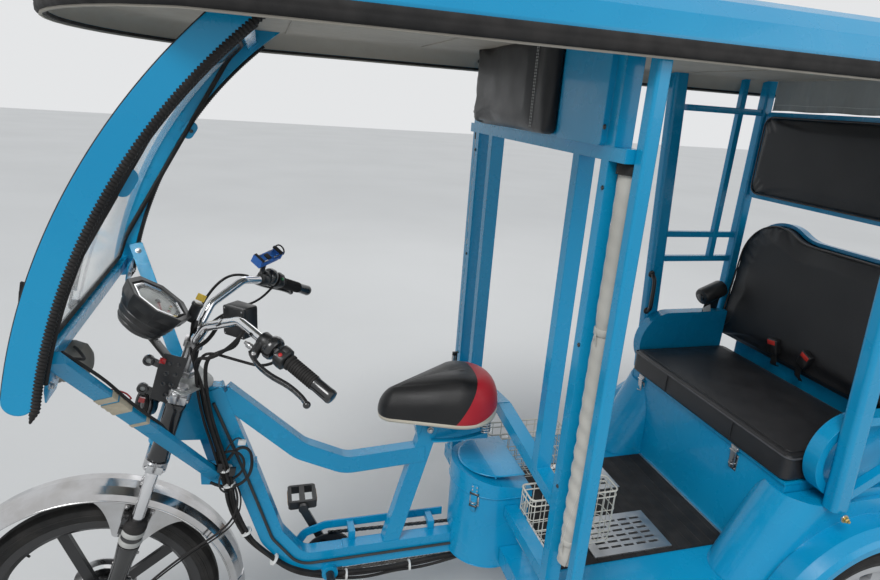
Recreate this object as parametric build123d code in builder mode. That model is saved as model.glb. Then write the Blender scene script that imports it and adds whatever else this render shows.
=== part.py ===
from build123d import *
import os
from math import sin, cos, asin, radians, sqrt, degrees, atan2

# Electric assist passenger cycle rickshaw, millimetres.
# +X is forward, +Y is the rider's left, +Z is up.  The origin lies on the ground
# under the middle of the vehicle, and the front partition stands at X = 0.

os.makedirs("parts", exist_ok=True)

# Overall sizes
HALF_LENGTH = 1495.0
RUNNING_GAP = 0.3          # air between two curved or moving faces
SHEET = 4.0                # body sheet, rounded up to a sound wall

# Front wheel and steering
FRONT_AXLE_X = 1120.0
FRONT_TYRE_R = 305.0
FRONT_TYRE_W = 62.0
FRONT_RIM_R = 262.0
RAKE = 18.9                # steering axis, degrees from upright
FORK_OFFSET = 23.84        # axle ahead of the steering axis
STEM_TOP_Z = 1020.0
STEM_RUN = FORK_OFFSET + (STEM_TOP_Z - FRONT_TYRE_R) * sin(radians(RAKE))
STEM_TOP_X = FRONT_AXLE_X - STEM_RUN / cos(radians(RAKE))
LEG_Y = 76.0
STANCHION_R = 15.0
SLIDER_R = 22.0
SLIDER_H = 310.0
STEERER_R = 17.0
HEAD_TUBE_R = 29.0
HEAD_TOP_W = -95.0         # along the steering axis, from the stem top
HEAD_LENGTH = 168.0
CUP_H = 11.0
CROWN_T = 28.0
CROWN_HALF = 28.0
PINCH_GAP = 3.0
CROWN_SWEEP_R = 68.0
STRUT_FOOT_Y = 17.0
AXLE_R = 7.0
FENDER_AIR = 70.0
FENDER_R = FRONT_TYRE_R + FENDER_AIR
FENDER_HALF_W = 54.0
FENDER_DEPTH = 32.0
FENDER_T = 3.0

# Rear wheels, axle and springs
REAR_AXLE_X = -985.0
REAR_TYRE_R = 270.0
REAR_TYRE_W = 64.0
REAR_RIM_R = 222.0
TRACK_HALF = 500.0
AXLE_TUBE_R = 20.0

# Bicycle frame, a spine of rectangular tube
TUBE_W = 40.0
DOWN_TUBE_H = 66.0
LOWER_TUBE_H = 70.0
UPPER_TUBE_H = 52.0
MAST_H = 50.0
LOWER_TUBE_Z = 335.0
KNEE_X = FRONT_AXLE_X - FENDER_R - 81.0     # the spine turns up behind the fender
KNEE_Z = 440.0
CRANK_X = 500.0
CRANK_Z = 295.0
CRANK_LENGTH = 168.0
CHAINRING_R = 75.0
SPROCKET_R = 48.0
CHAIN_Y = -56.0
CHAIN_T = 8.0
CHAIN_H = 9.0
SADDLE_BASE_Z = 795.0
SADDLE_H = 130.0
SADDLE_REAR_X = 130.0
SADDLE_REAR_R = 112.0
SADDLE_NOSE_X = 322.0
SADDLE_NOSE_R = 42.0

# Floor and chassis
RAIL_TOP_Z = 380.0
RAIL_H = 50.0
RAIL_W = 40.0
RAIL_Y = 400.0
CROSS_H = 22.0
FLOOR_T = 6.0
MAT_T = 4.0
FLOOR_HALF_W = 450.0
FLOOR_Z = RAIL_TOP_Z + FLOOR_T
REAR_BODY_X = -1300.0

# Tool box under the saddle
BOX_REAR_X = -80.0
BOX_R = 125.0
BOX_BOTTOM_Z = 308.0
BOX_TOP_Z = 562.0
BOX_WALL = 3.0
LID_OVERHANG = 4.0
HINGE_R = 4.5
HINGE_LEAF = 3.0

# Partition, posts and roof
POST = 40.0
POST_W = 29.0
POST_A_Y = 273.0
POST_B_Y = 394.0
BEAM_H = 28.0
BRACE_MID_Z = 790.0
BRACE_END_Z = 740.0
MAIN_POST_X = -35.0
MAIN_POST_D = 31.0
MAIN_POST_W = 31.0
MAIN_POST_Y = 481.0
ROOF_RAIL_H = 40.0
ROOF_RAIL_Y = 445.0
ROOF_RAIL_W = 40.0
HEAD_PLATE_T = 20.0
ROOF_HALF_W = 510.0
ROOF_TOP_Z = 1902.0
ROOF_RISE = 127.0          # roof top over its edge
RAIL_DROP = 82.0           # roof top over the rail's foot
HEAD_DROP = 245.0          # rail's foot over the partition beam
WINDOW_DROP = 116.0        # rail's foot over the window's top bar
ROOF_EDGE_Z = ROOF_TOP_Z - ROOF_RISE
ROOF_RAIL_Z = ROOF_TOP_Z - RAIL_DROP
BEAM_Z = ROOF_RAIL_Z - HEAD_DROP
WINDOW_TOP_Z = ROOF_RAIL_Z - WINDOW_DROP
VISOR = 328.3              # roof's front edge ahead of the windscreen, at the roof edge
ROOF_FRONT_R = 600.0
ROOF_REAR_X = -1330.0
ROOF_WALL = 8.0
LINING_T = 5.0

# Windscreen, an arc seen from the side
SCREEN_REACH = 250.8       # windscreen foot ahead of the stem
SCREEN_FOOT_X = STEM_TOP_X + SCREEN_REACH
SCREEN_FOOT_Z = 1136.4
SCREEN_LOW = 11.5
SCREEN_R = 1206.0
SCREEN_X = SCREEN_FOOT_X - SCREEN_R * cos(radians(SCREEN_LOW))
SCREEN_Z = SCREEN_FOOT_Z - SCREEN_R * sin(radians(SCREEN_LOW))
ROOF_FRONT_X = SCREEN_X + sqrt(SCREEN_R ** 2 - (ROOF_EDGE_Z - SCREEN_Z) ** 2) + VISOR
SCREEN_DEPTH = 50.0
SCREEN_Y = 420.0
SCREEN_W = 40.0
GLASS_T = 5.0
GLASS_TOP_Z = ROOF_EDGE_Z + 17.0
GLASS_HIGH = degrees(asin((GLASS_TOP_Z - SCREEN_Z) / SCREEN_R))
ROOF_RAIL_FRONT_X = SCREEN_X + sqrt(SCREEN_R ** 2 - (ROOF_RAIL_Z - SCREEN_Z) ** 2) + 6.0
STRUT_TOP_Y = 404.0
STRUT_TOP_Z = 1200.0

# Passenger bench
BENCH_FRONT_X = -745.0
BENCH_REAR_X = -1235.0
BENCH_HALF_W = 380.0
BENCH_TOP_Z = 690.0
LID_T = 10.0
LID_HINGE_X = -1160.0
LID_REAR_X = LID_HINGE_X + HINGE_R + 1.0
CUSHION_H = 88.0
CUSHION_HALF_W = 386.0
BACK_X = -1150.0
BACK_Z = 815.0
BACK_LEAN = 6.0
BACK_HALF_W = 438.0
BACK_T = 60.0
BACK_HUMP_Y = 290.0
BACK_HUMP_R = BACK_HALF_W - BACK_HUMP_Y
BACK_TOP = 490.0
BACK_DIP = 452.0
BACK_FRAME_T = 14.0
TUB_TOP_Z = 665.0
TUB_OUT_Y = 455.0
NOSE_R = 100.0
NOSE_X = -700.0
NOSE_LEAN = 135.0
ARM_X = -885.0
ARM_Z = 800.0
ARM_R = 125.0
ARM_IN_Y = 396.0
ARM_W = 44.0
ARM_REAR_X = BACK_X + 2.0
SIDE_POST_IN_Y = ARM_IN_Y + ARM_W + 1.0
SIDE_POST_W = 46.0
SIDE_POST_FOOT_X = -840.0
SIDE_POST_TOP_X = -768.0
REAR_POST_X = -1170.0


def save(part, name):
    part.label = name
    export_step(part, "parts/" + name + ".step")
    print(name, len(part.solids()), "solid(s)", round(part.volume / 1000.0), "cm3")


def radial_plane(x, z, angle):
    """Plane through a wheel axis: local x runs along +Y, local y runs outward at the angle."""
    a = radians(angle)
    return Plane(origin=(x, 0, z), x_dir=(0, 1, 0), z_dir=(sin(a), 0, -cos(a)))


def wheel_axis(x, z):
    return Axis((x, 0, z), (0, 1, 0))


def run_plane(start, end, across=(0, 1, 0)):
    """Plane at start whose normal points to end; local x lies along the across direction."""
    run = Vector(*end) - Vector(*start)
    side = Vector(*across)
    side = side - run * (side.dot(run) / run.dot(run))
    return Plane(origin=start, x_dir=side, z_dir=run)


def run_length(start, end):
    return (Vector(*end) - Vector(*start)).length


# Steering frame: local x forward, local y left, local z up along the steering axis
rake = radians(RAKE)
STEER = Plane(origin=(STEM_TOP_X, 0, STEM_TOP_Z), x_dir=(cos(rake), 0, sin(rake)),
              z_dir=(-sin(rake), 0, cos(rake)))


def steer_plane(w):
    return STEER.offset(w)


def steer_local(x, z):
    """Forward offset and height along the steering axis of a point in the middle plane."""
    dx = x - STEM_TOP_X
    dz = z - STEM_TOP_Z
    return dx * cos(rake) + dz * sin(rake), -dx * sin(rake) + dz * cos(rake)


AXLE_U, AXLE_W = steer_local(FRONT_AXLE_X, FRONT_TYRE_R)
HEAD_LOW_W = HEAD_TOP_W - HEAD_LENGTH
UPPER_CROWN_W = HEAD_TOP_W + RUNNING_GAP
LOWER_CROWN_W = HEAD_LOW_W - RUNNING_GAP - CROWN_T

# Spine frame: down tube, bend, lower tube, upper tube, mast, saddle bracket, head tube
down_path = [(STEM_TOP_X - 38, STEM_TOP_Z - 102), (STEM_TOP_X - 126, STEM_TOP_Z - 378), (KNEE_X, KNEE_Z),
             (KNEE_X - 74, LOWER_TUBE_Z), (CRANK_X - 70, LOWER_TUBE_Z)]
upper_path = [(STEM_TOP_X - 70, STEM_TOP_Z - 115), (CRANK_X + 85, SADDLE_BASE_Z - 79),
              (CRANK_X - 42, SADDLE_BASE_Z - 141), (CRANK_X - 275, SADDLE_BASE_Z - 127)]
head_gusset = [(STEM_TOP_X - 72, STEM_TOP_Z - 95), (STEM_TOP_X + 12, STEM_TOP_Z - 82),
               (STEM_TOP_X + 62, STEM_TOP_Z - 238), (STEM_TOP_X - 105, STEM_TOP_Z - 250)]
strut_gusset = [(STEM_TOP_X - 150, STEM_TOP_Z - 330), (STEM_TOP_X - 5, STEM_TOP_Z - 330),
                (STEM_TOP_X - 5, STEM_TOP_Z - 380), (STEM_TOP_X - 150, STEM_TOP_Z - 404)]
FRAME_REAR_X = -85.0
MAST_TOP = (208.0, SADDLE_BASE_Z)
MAST_FOOT = (318.0, LOWER_TUBE_Z + 20)

with BuildPart() as main_frame:
    with BuildSketch(Plane.XZ) as down_sketch:
        with BuildLine():
            FilletPolyline(*down_path, radius=75)
        trace(line_width=DOWN_TUBE_H)
    extrude(amount=TUBE_W / 2, both=True)
    with BuildSketch(Plane.XZ):
        with Locations(((FRAME_REAR_X + down_path[-1][0]) / 2, LOWER_TUBE_Z)):
            Rectangle(down_path[-1][0] - FRAME_REAR_X + 60, LOWER_TUBE_H, align=(Align.CENTER, Align.CENTER))
    extrude(amount=TUBE_W / 2, both=True)
    with BuildSketch(Plane.XZ):
        with BuildLine():
            FilletPolyline(*upper_path, radius=90)
        trace(line_width=UPPER_TUBE_H)
    extrude(amount=TUBE_W / 2 - 1, both=True)
    with BuildSketch(Plane.XZ):
        with BuildLine():
            Line(MAST_FOOT, (MAST_TOP[0], MAST_TOP[1] - 20))
        trace(line_width=MAST_H)
    extrude(amount=TUBE_W / 2 - 2, both=True)
    with BuildSketch(Plane.XZ):
        with BuildLine():
            top = SADDLE_BASE_Z
            Polyline((245, 700), (262, top - 12), (262, top), (40, top), (30, top - 95))
            ThreePointArc((30, top - 95), (120, top - 92), (245, 700))
        make_face()
    extrude(amount=TUBE_W / 2 - 4, both=True)
    with BuildSketch(Plane.XZ):
        Polygon(*head_gusset, align=None)
    extrude(amount=TUBE_W / 2 - 3, both=True)
    with BuildSketch(steer_plane(HEAD_LOW_W)):
        Circle(HEAD_TUBE_R)
    extrude(amount=HEAD_LENGTH)
    for w in (HEAD_LOW_W, HEAD_TOP_W - CUP_H):
        with BuildSketch(steer_plane(w)):
            Circle(HEAD_TUBE_R + 5)
        extrude(amount=CUP_H)
    with BuildSketch(steer_plane(HEAD_LOW_W)):
        Circle(STEERER_R + RUNNING_GAP)
    extrude(amount=HEAD_LENGTH, mode=Mode.SUBTRACT)
    with BuildSketch(Plane.XZ):
        with Locations((CRANK_X, CRANK_Z)):
            Circle(24)
    extrude(amount=36, both=True)
    with BuildSketch(Plane.XZ):
        with Locations((CRANK_X, CRANK_Z)):
            Circle(12 + RUNNING_GAP)
    extrude(amount=40, both=True, mode=Mode.SUBTRACT)
    split(bisect_by=Plane.YZ.offset(FRAME_REAR_X), keep=Keep.TOP)
    with BuildSketch(steer_plane(HEAD_TOP_W)):
        Circle(CROWN_SWEEP_R)
    extrude(amount=60, mode=Mode.SUBTRACT)
    with BuildSketch(steer_plane(HEAD_LOW_W)):
        Circle(CROWN_SWEEP_R)
    extrude(amount=-60, mode=Mode.SUBTRACT)
    with BuildSketch(Plane.XZ):
        Polygon(*strut_gusset, align=None)
    extrude(amount=STRUT_FOOT_Y, both=True)
save(main_frame.part, "main_frame")

# Ladder chassis behind the partition
cross_x = [-105.0, -400.0, -700.0, -1260.0]
with BuildPart() as chassis:
    for side in (-1, 1):
        with BuildSketch(Plane.XY.offset(RAIL_TOP_Z - RAIL_H)):
            with Locations((-(HALF_LENGTH - 40) / 2, side * RAIL_Y)):
                Rectangle(HALF_LENGTH - 40, RAIL_W)
            inner = RAIL_Y + RAIL_W / 2
            outer = MAIN_POST_Y - MAIN_POST_W / 2
            with Locations((-POST / 2, side * (BOX_R + 5 + outer) / 2)):
                Rectangle(POST, outer - BOX_R - 5)
            with Locations((MAIN_POST_X, side * (inner + outer) / 2)):
                Rectangle(MAIN_POST_D, outer - inner)
        extrude(amount=RAIL_H)
    with BuildSketch(Plane.XY.offset(RAIL_TOP_Z - CROSS_H)):
        for x in cross_x:
            with Locations((x, 0)):
                Rectangle(POST, 2 * RAIL_Y)
    extrude(amount=CROSS_H)
    with BuildSketch(Plane.XY.offset(RAIL_TOP_Z - RAIL_H)):
        with Locations((-HALF_LENGTH + 20, 0)):
            RectangleRounded(40, 2 * RAIL_Y + 100, 14)
    extrude(amount=RAIL_H)
save(chassis.part, "rear_chassis")

# Floor plate, notched round the tool box and narrowed beside the wheels
NARROW_X = -600.0
with BuildPart() as floor_plate:
    with BuildSketch(Plane.XY.offset(RAIL_TOP_Z)):
        with Locations((NARROW_X / 2, 0)):
            Rectangle(-NARROW_X, 2 * FLOOR_HALF_W)
        with Locations(((NARROW_X + REAR_BODY_X) / 2, 0)):
            Rectangle(NARROW_X - REAR_BODY_X, 2 * FLOOR_HALF_W)
        with Locations((BOX_REAR_X / 2, 0)):
            Rectangle(-BOX_REAR_X + 2, 2 * BOX_R + 2, mode=Mode.SUBTRACT)
    extrude(amount=FLOOR_T)
save(floor_plate.part, "floor_plate")

with BuildPart() as floor_mat:
    with BuildSketch(Plane.XY.offset(FLOOR_Z)):
        with Locations(((BOX_REAR_X - 50 + BENCH_FRONT_X + 2) / 2, 0)):
            Rectangle(BOX_REAR_X - 50 - BENCH_FRONT_X - 2, 500)
    extrude(amount=MAT_T)
save(floor_mat.part, "floor_mat")

# Two slotted bright foot plates lying on the mat
GRATE_X = -400.0
GRATE_Y = 150.0
with BuildPart() as grates:
    for side in (-1, 1):
        with BuildSketch(Plane.XY.offset(FLOOR_Z + MAT_T)):
            with Locations((GRATE_X, side * GRATE_Y)):
                Rectangle(270, 170)
                with GridLocations(44, 22, 5, 6):
                    Rectangle(34, 9, mode=Mode.SUBTRACT)
        extrude(amount=5)
save(grates.part, "foot_grates")

# Partition: four thin posts, head beam, sloping brace and low bars
with BuildPart() as partition:
    for side in (-1, 1):
        with BuildSketch(Plane.XY.offset(RAIL_TOP_Z + FLOOR_T)):
            with Locations((-POST / 2, side * POST_B_Y)):
                Rectangle(POST, POST_W)
        extrude(amount=BEAM_Z - FLOOR_Z)
        with BuildSketch(Plane.XY.offset(BRACE_END_Z + 5)):
            with Locations((-POST / 2, side * POST_A_Y)):
                Rectangle(POST, POST_W)
        extrude(amount=BEAM_Z - BRACE_END_Z - 5)
        start = (-POST / 2, 0, BRACE_MID_Z)
        end = (-POST / 2, side * POST_B_Y, BRACE_END_Z)
        with BuildSketch(run_plane(start, end, across=(1, 0, 0))):
            Rectangle(POST, POST - 4)
        extrude(amount=run_length(start, end))
        with BuildSketch(Plane.XZ.offset(-side * (BOX_R + 1))):
            with Locations((-POST / 2, 518)):
                Rectangle(POST, 34)
        extrude(amount=-side * (POST_B_Y - BOX_R - 1))
    with BuildSketch(Plane.XY.offset(BEAM_Z)):
        with Locations((-POST / 2, 0)):
            Rectangle(POST, 2 * (MAIN_POST_Y - MAIN_POST_W / 2))
    extrude(amount=BEAM_H)
save(partition.part, "partition_frame")

# Head box above the beam, with its front panel
HEAD_BOX_Z = BEAM_Z + BEAM_H
with BuildPart() as head_box:
    with BuildSketch(Plane.XY.offset(HEAD_BOX_Z)):
        with Locations((-POST / 2, 0)):
            Rectangle(POST, 2 * (ROOF_RAIL_Y - ROOF_RAIL_W / 2) - 8)
    extrude(amount=ROOF_RAIL_Z + ROOF_RAIL_H - HEAD_BOX_Z)
    with BuildSketch(Plane.YZ):
        with Locations((290, (HEAD_BOX_Z + ROOF_RAIL_Z + 30) / 2)):
            RectangleRounded(200, ROOF_RAIL_Z + 30 - HEAD_BOX_Z, 10)
    extrude(amount=14)
save(head_box.part, "partition_head_box")

HEAD_PAD_W = 520.0
HEAD_PAD_T = 42.0
with BuildPart() as head_pad:
    with BuildSketch(Plane.YZ):
        with Locations((-90, (HEAD_BOX_Z + ROOF_RAIL_Z + 30) / 2)):
            RectangleRounded(HEAD_PAD_W, ROOF_RAIL_Z + 26 - HEAD_BOX_Z, 20)
    extrude(amount=HEAD_PAD_T)
    fillet(head_pad.faces().sort_by(Axis.X)[-1].edges(), 12)
save(head_pad.part, "head_pad")

# Cabin side frames: main post, side post, rear post, roof rail and window bars
WINDOW_Z = 1134.0
for side, name in ((1, "left"), (-1, "right")):
    with BuildPart() as side_frame:
        with BuildSketch(Plane.XY.offset(RAIL_TOP_Z - RAIL_H)):
            with Locations((MAIN_POST_X, side * MAIN_POST_Y)):
                RectangleRounded(MAIN_POST_D, MAIN_POST_W, 6)
        extrude(amount=ROOF_RAIL_Z - RAIL_TOP_Z + RAIL_H)
        # head plate that carries the roof rail on the post
        with BuildSketch(Plane.XY.offset(ROOF_RAIL_Z - HEAD_PLATE_T)):
            with Locations((MAIN_POST_X, side * (ROOF_RAIL_Y - ROOF_RAIL_W / 2 + MAIN_POST_Y) / 2)):
                Rectangle(MAIN_POST_D, MAIN_POST_Y - ROOF_RAIL_Y + ROOF_RAIL_W / 2)
        extrude(amount=HEAD_PLATE_T)
        with BuildSketch(Plane.XY.offset(TUB_TOP_Z)):
            with Locations((SIDE_POST_FOOT_X, side * (SIDE_POST_IN_Y + SIDE_POST_W / 2))):
                RectangleRounded(60, SIDE_POST_W, 14)
        rise = ROOF_RAIL_Z - TUB_TOP_Z
        slant = (SIDE_POST_TOP_X - SIDE_POST_FOOT_X, 0, rise)
        extrude(amount=Vector(*slant).length, dir=slant)
        with BuildSketch(Plane.XY.offset(TUB_TOP_Z)):
            with Locations((REAR_POST_X, side * (SIDE_POST_IN_Y + 20))):
                RectangleRounded(POST, POST, 8)
        extrude(amount=rise)
        with BuildSketch(Plane.XZ.offset(-side * (SIDE_POST_IN_Y + 10))):
            for z in (WINDOW_Z, WINDOW_Z + 98, WINDOW_TOP_Z):
                with Locations(((SIDE_POST_FOOT_X + REAR_POST_X) / 2 + 20, z)):
                    Rectangle(SIDE_POST_FOOT_X - REAR_POST_X, 22)
            with Locations((-1058, (WINDOW_Z + ROOF_RAIL_Z) / 2)):
                Rectangle(22, ROOF_RAIL_Z - WINDOW_Z)
        extrude(amount=-side * 20)
        with BuildSketch(Plane.XZ.offset(-side * (SIDE_POST_IN_Y + 8))):
            with BuildLine():
                Line((SIDE_POST_FOOT_X, TUB_TOP_Z + 20), (REAR_POST_X, TUB_TOP_Z + 205))
            trace(line_width=28)
        extrude(amount=-side * 24)
        with BuildSketch(Plane.XY.offset(ROOF_RAIL_Z)):
            with Locations(((ROOF_RAIL_FRONT_X + ROOF_REAR_X + 80) / 2, side * ROOF_RAIL_Y)):
                Rectangle(ROOF_RAIL_FRONT_X - ROOF_REAR_X - 80, ROOF_RAIL_W)
        extrude(amount=ROOF_RAIL_H)
    save(side_frame.part, "cabin_frame_" + name)

# Rolled side curtains beside the main posts
CURTAIN_LOW = POST_B_Y + POST_W / 2
CURTAIN_R = (MAIN_POST_Y - MAIN_POST_W / 2 - CURTAIN_LOW) / 2 - RUNNING_GAP
CURTAIN_FOOT_Z = 600.0
with BuildPart() as curtains:
    for side in (-1, 1):
        with BuildSketch(Plane.XY.offset(CURTAIN_FOOT_Z)):
            with Locations((MAIN_POST_X, side * (CURTAIN_LOW + RUNNING_GAP + CURTAIN_R))):
                Circle(CURTAIN_R)
        extrude(amount=BEAM_Z - RUNNING_GAP - CURTAIN_FOOT_Z)
save(curtains.part, "side_curtains")

# Roof shell, lining, bows and rubber edge
def roof_plan(grow, corner):
    """Roof outline in plan, grown by the given amount, with rounded corners."""
    half = ROOF_HALF_W + grow
    front_y = half - 60
    front_x = ROOF_FRONT_X + grow - (ROOF_FRONT_R - sqrt(ROOF_FRONT_R ** 2 - front_y ** 2))
    side_x = front_x - 90
    rear_x = ROOF_REAR_X - grow
    with BuildSketch() as plan:
        with BuildLine():
            ThreePointArc((front_x, front_y), (ROOF_FRONT_X + grow, 0), (front_x, -front_y))
            Polyline((front_x, -front_y), (side_x, -half), (rear_x, -half),
                     (rear_x, half), (side_x, half), (front_x, front_y))
        make_face()
        fillet(plan.vertices(), corner)
    return plan.sketch


# The roof edge stands upright, then rolls over to the top in a quarter ellipse
ROOF_SKIRT = 32.0
ROOF_CORNER = 60.0
TRIM_H = 26.0
TRIM_T = 9.0
TRIM_LIP = 6.0
ROOF_ROLL = 130.0
roof_turns = [0, 25, 50, 70, 90]


def roof_sections(inset, top_z):
    """Height and plan outline of each section of the roof's outside or inside."""
    levels = [(ROOF_EDGE_Z, -inset)]
    rise = top_z - ROOF_EDGE_Z - ROOF_SKIRT
    for turn in roof_turns:
        lift = rise * sin(radians(turn))
        levels.append((ROOF_EDGE_Z + ROOF_SKIRT + lift, -inset - ROOF_ROLL * (1 - cos(radians(turn)))))
    return levels


with BuildPart() as roof:
    for z, grow in roof_sections(0, ROOF_TOP_Z):
        with BuildSketch(Plane.XY.offset(z)):
            add(roof_plan(grow, ROOF_CORNER))
    loft(ruled=True)
    for z, grow in roof_sections(ROOF_WALL, ROOF_TOP_Z - ROOF_WALL):
        with BuildSketch(Plane.XY.offset(z)):
            add(roof_plan(grow, ROOF_CORNER))
    loft(ruled=True, mode=Mode.SUBTRACT)
save(roof.part, "roof_shell")

with BuildPart() as trim:
    with BuildSketch(Plane.XY.offset(ROOF_EDGE_Z - TRIM_LIP)):
        add(roof_plan(TRIM_T, ROOF_CORNER + TRIM_LIP))
    extrude(amount=TRIM_H)
    with BuildSketch(Plane.XY.offset(ROOF_EDGE_Z)):
        add(roof_plan(RUNNING_GAP, ROOF_CORNER))
    extrude(amount=TRIM_H, mode=Mode.SUBTRACT)
    with BuildSketch(Plane.XY.offset(ROOF_EDGE_Z - TRIM_LIP)):
        add(roof_plan(-ROOF_WALL, ROOF_CORNER - TRIM_LIP))
    extrude(amount=TRIM_H, mode=Mode.SUBTRACT)
save(trim.part, "roof_edge_trim")

LINING_Z = ROOF_RAIL_Z + ROOF_RAIL_H
with BuildPart() as lining:
    with BuildSketch(Plane.XY.offset(LINING_Z)):
        add(roof_plan(-64, 30))
    extrude(amount=LINING_T)
    with BuildSketch(Plane.XY.offset(LINING_Z + LINING_T)):
        for x in (ROOF_RAIL_FRONT_X - 100, 0, -600, REAR_POST_X + 55):
            with Locations((x, 0)):
                Rectangle(30, 2 * (ROOF_HALF_W - ROOF_WALL - ROOF_ROLL - 4))
    extrude(amount=ROOF_TOP_Z - ROOF_WALL - LINING_Z - LINING_T)
save(lining.part, "roof_lining")

# Windscreen pillars and cross bars, glass and struts
def screen_point(angle, radius=SCREEN_R):
    return (SCREEN_X + radius * cos(radians(angle)), SCREEN_Z + radius * sin(radians(angle)))


def screen_band(r_out, r_in, low, high):
    """Part of the windscreen arc, seen from the side."""
    mid = (low + high) / 2
    with BuildSketch(Plane.XZ) as band:
        with BuildLine():
            ThreePointArc(screen_point(low, r_out), screen_point(mid, r_out), screen_point(high, r_out))
            Line(screen_point(high, r_out), screen_point(high, r_in))
            ThreePointArc(screen_point(high, r_in), screen_point(mid, r_in), screen_point(low, r_in))
            Line(screen_point(low, r_in), screen_point(low, r_out))
        make_face()
    return band.sketch_local


SCREEN_HIGH = GLASS_HIGH + 12.0
with BuildPart() as screen_frame:
    for side in (-1, 1):
        with BuildSketch(Plane.XZ.offset(-side * (SCREEN_Y - SCREEN_W / 2))):
            add(screen_band(SCREEN_R, SCREEN_R - SCREEN_DEPTH, SCREEN_LOW, SCREEN_HIGH))
            with Locations(screen_point(SCREEN_LOW, SCREEN_R - SCREEN_DEPTH / 2)):
                Circle(SCREEN_DEPTH / 2)
        extrude(amount=-side * SCREEN_W)
    with BuildSketch(Plane.XZ):
        add(screen_band(SCREEN_R - 8, SCREEN_R - 36, SCREEN_LOW, SCREEN_LOW + 1.6))
        add(screen_band(SCREEN_R - 8, SCREEN_R - 36, GLASS_HIGH, GLASS_HIGH + 1.4))
    extrude(amount=SCREEN_Y - SCREEN_W / 2, both=True)
    split(bisect_by=Plane.XY.offset(ROOF_RAIL_Z), keep=Keep.BOTTOM)
save(screen_frame.part, "windscreen_frame")

GLASS_HALF = SCREEN_Y - SCREEN_W / 2
with BuildPart() as glass:
    with BuildSketch(Plane.XZ):
        add(screen_band(SCREEN_R - 16, SCREEN_R - 16 - GLASS_T, SCREEN_LOW + 1.6, GLASS_HIGH))
    extrude(amount=GLASS_HALF, both=True)
save(glass.part, "windscreen_glass")

strut_top_x = SCREEN_X + sqrt((SCREEN_R - SCREEN_DEPTH) ** 2 - (STRUT_TOP_Z - SCREEN_Z) ** 2)
STRUT_TOP = (strut_top_x, STRUT_TOP_Y, STRUT_TOP_Z)
STRUT_FOOT = (STEM_TOP_X - 52.0, 10.0, STEM_TOP_Z - 370.0)
with BuildPart() as struts:
    for side in (-1, 1):
        a = (STRUT_TOP[0], side * STRUT_TOP[1], STRUT_TOP[2])
        b = (STRUT_FOOT[0], side * STRUT_FOOT[1], STRUT_FOOT[2])
        with BuildSketch(run_plane(a, b, across=(1, 0, 0))):
            Rectangle(36, 14)
        extrude(amount=run_length(a, b))
    with BuildSketch(Plane.XZ):
        Rectangle(4000, 4000)
    extrude(amount=STRUT_FOOT_Y + RUNNING_GAP, both=True, mode=Mode.SUBTRACT)
    for side in (-1, 1):
        with BuildSketch(Plane.XZ.offset(-side * (SCREEN_Y - SCREEN_W / 2 - RUNNING_GAP))):
            Rectangle(4000, 4000)
        extrude(amount=-side * 100, mode=Mode.SUBTRACT)
save(struts.part, "windscreen_struts")

# Wiper arm across the glass, driven from the lower bar
with BuildPart() as wiper:
    with BuildSketch(Plane.XZ):
        add(screen_band(SCREEN_R + 10, SCREEN_R + 4, SCREEN_LOW - 1.0, 30.0))
    extrude(amount=6, both=True)
    with BuildSketch(Plane.XZ):
        add(screen_band(SCREEN_R + 4, SCREEN_R - 8, SCREEN_LOW + 0.2, SCREEN_LOW + 1.4))
    extrude(amount=8, both=True)
save(wiper.part, "wiper")

# Round lamp hung from the lower windscreen bar
LAMP_R = 46.0
LAMP_Y = 150.0
lamp_x, lamp_z = screen_point(SCREEN_LOW, SCREEN_R - 22)
with BuildPart() as lamp:
    # turned profile: x along the lamp from its back, y outward from its axis
    with BuildSketch(Plane(origin=(lamp_x - LAMP_R, LAMP_Y, lamp_z - LAMP_R - 8), x_dir=(1, 0, 0),
                           z_dir=(0, -1, 0))):
        with BuildLine():
            Polyline((0, 0), (0, LAMP_R * 0.45), (LAMP_R * 0.25, LAMP_R * 0.78), (LAMP_R * 0.65, LAMP_R * 0.95),
                     (LAMP_R * 1.1, LAMP_R), (LAMP_R * 1.95, LAMP_R), (LAMP_R * 2, LAMP_R * 0.9),
                     (LAMP_R * 2, 0), close=True)
        make_face()
    revolve(axis=Axis((lamp_x, LAMP_Y, lamp_z - LAMP_R - 8), (1, 0, 0)))
    with BuildSketch(Plane.XZ.offset(-LAMP_Y + 12)):
        with Locations((lamp_x, lamp_z - 12)):
            Rectangle(26, 24)
    extrude(amount=-24)
    split(bisect_by=run_plane((lamp_x, 0, lamp_z), (lamp_x + 10 * sin(radians(SCREEN_LOW)), 0,
                              lamp_z - 10 * cos(radians(SCREEN_LOW)))), keep=Keep.TOP)
save(lamp.part, "front_lamp")

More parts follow.
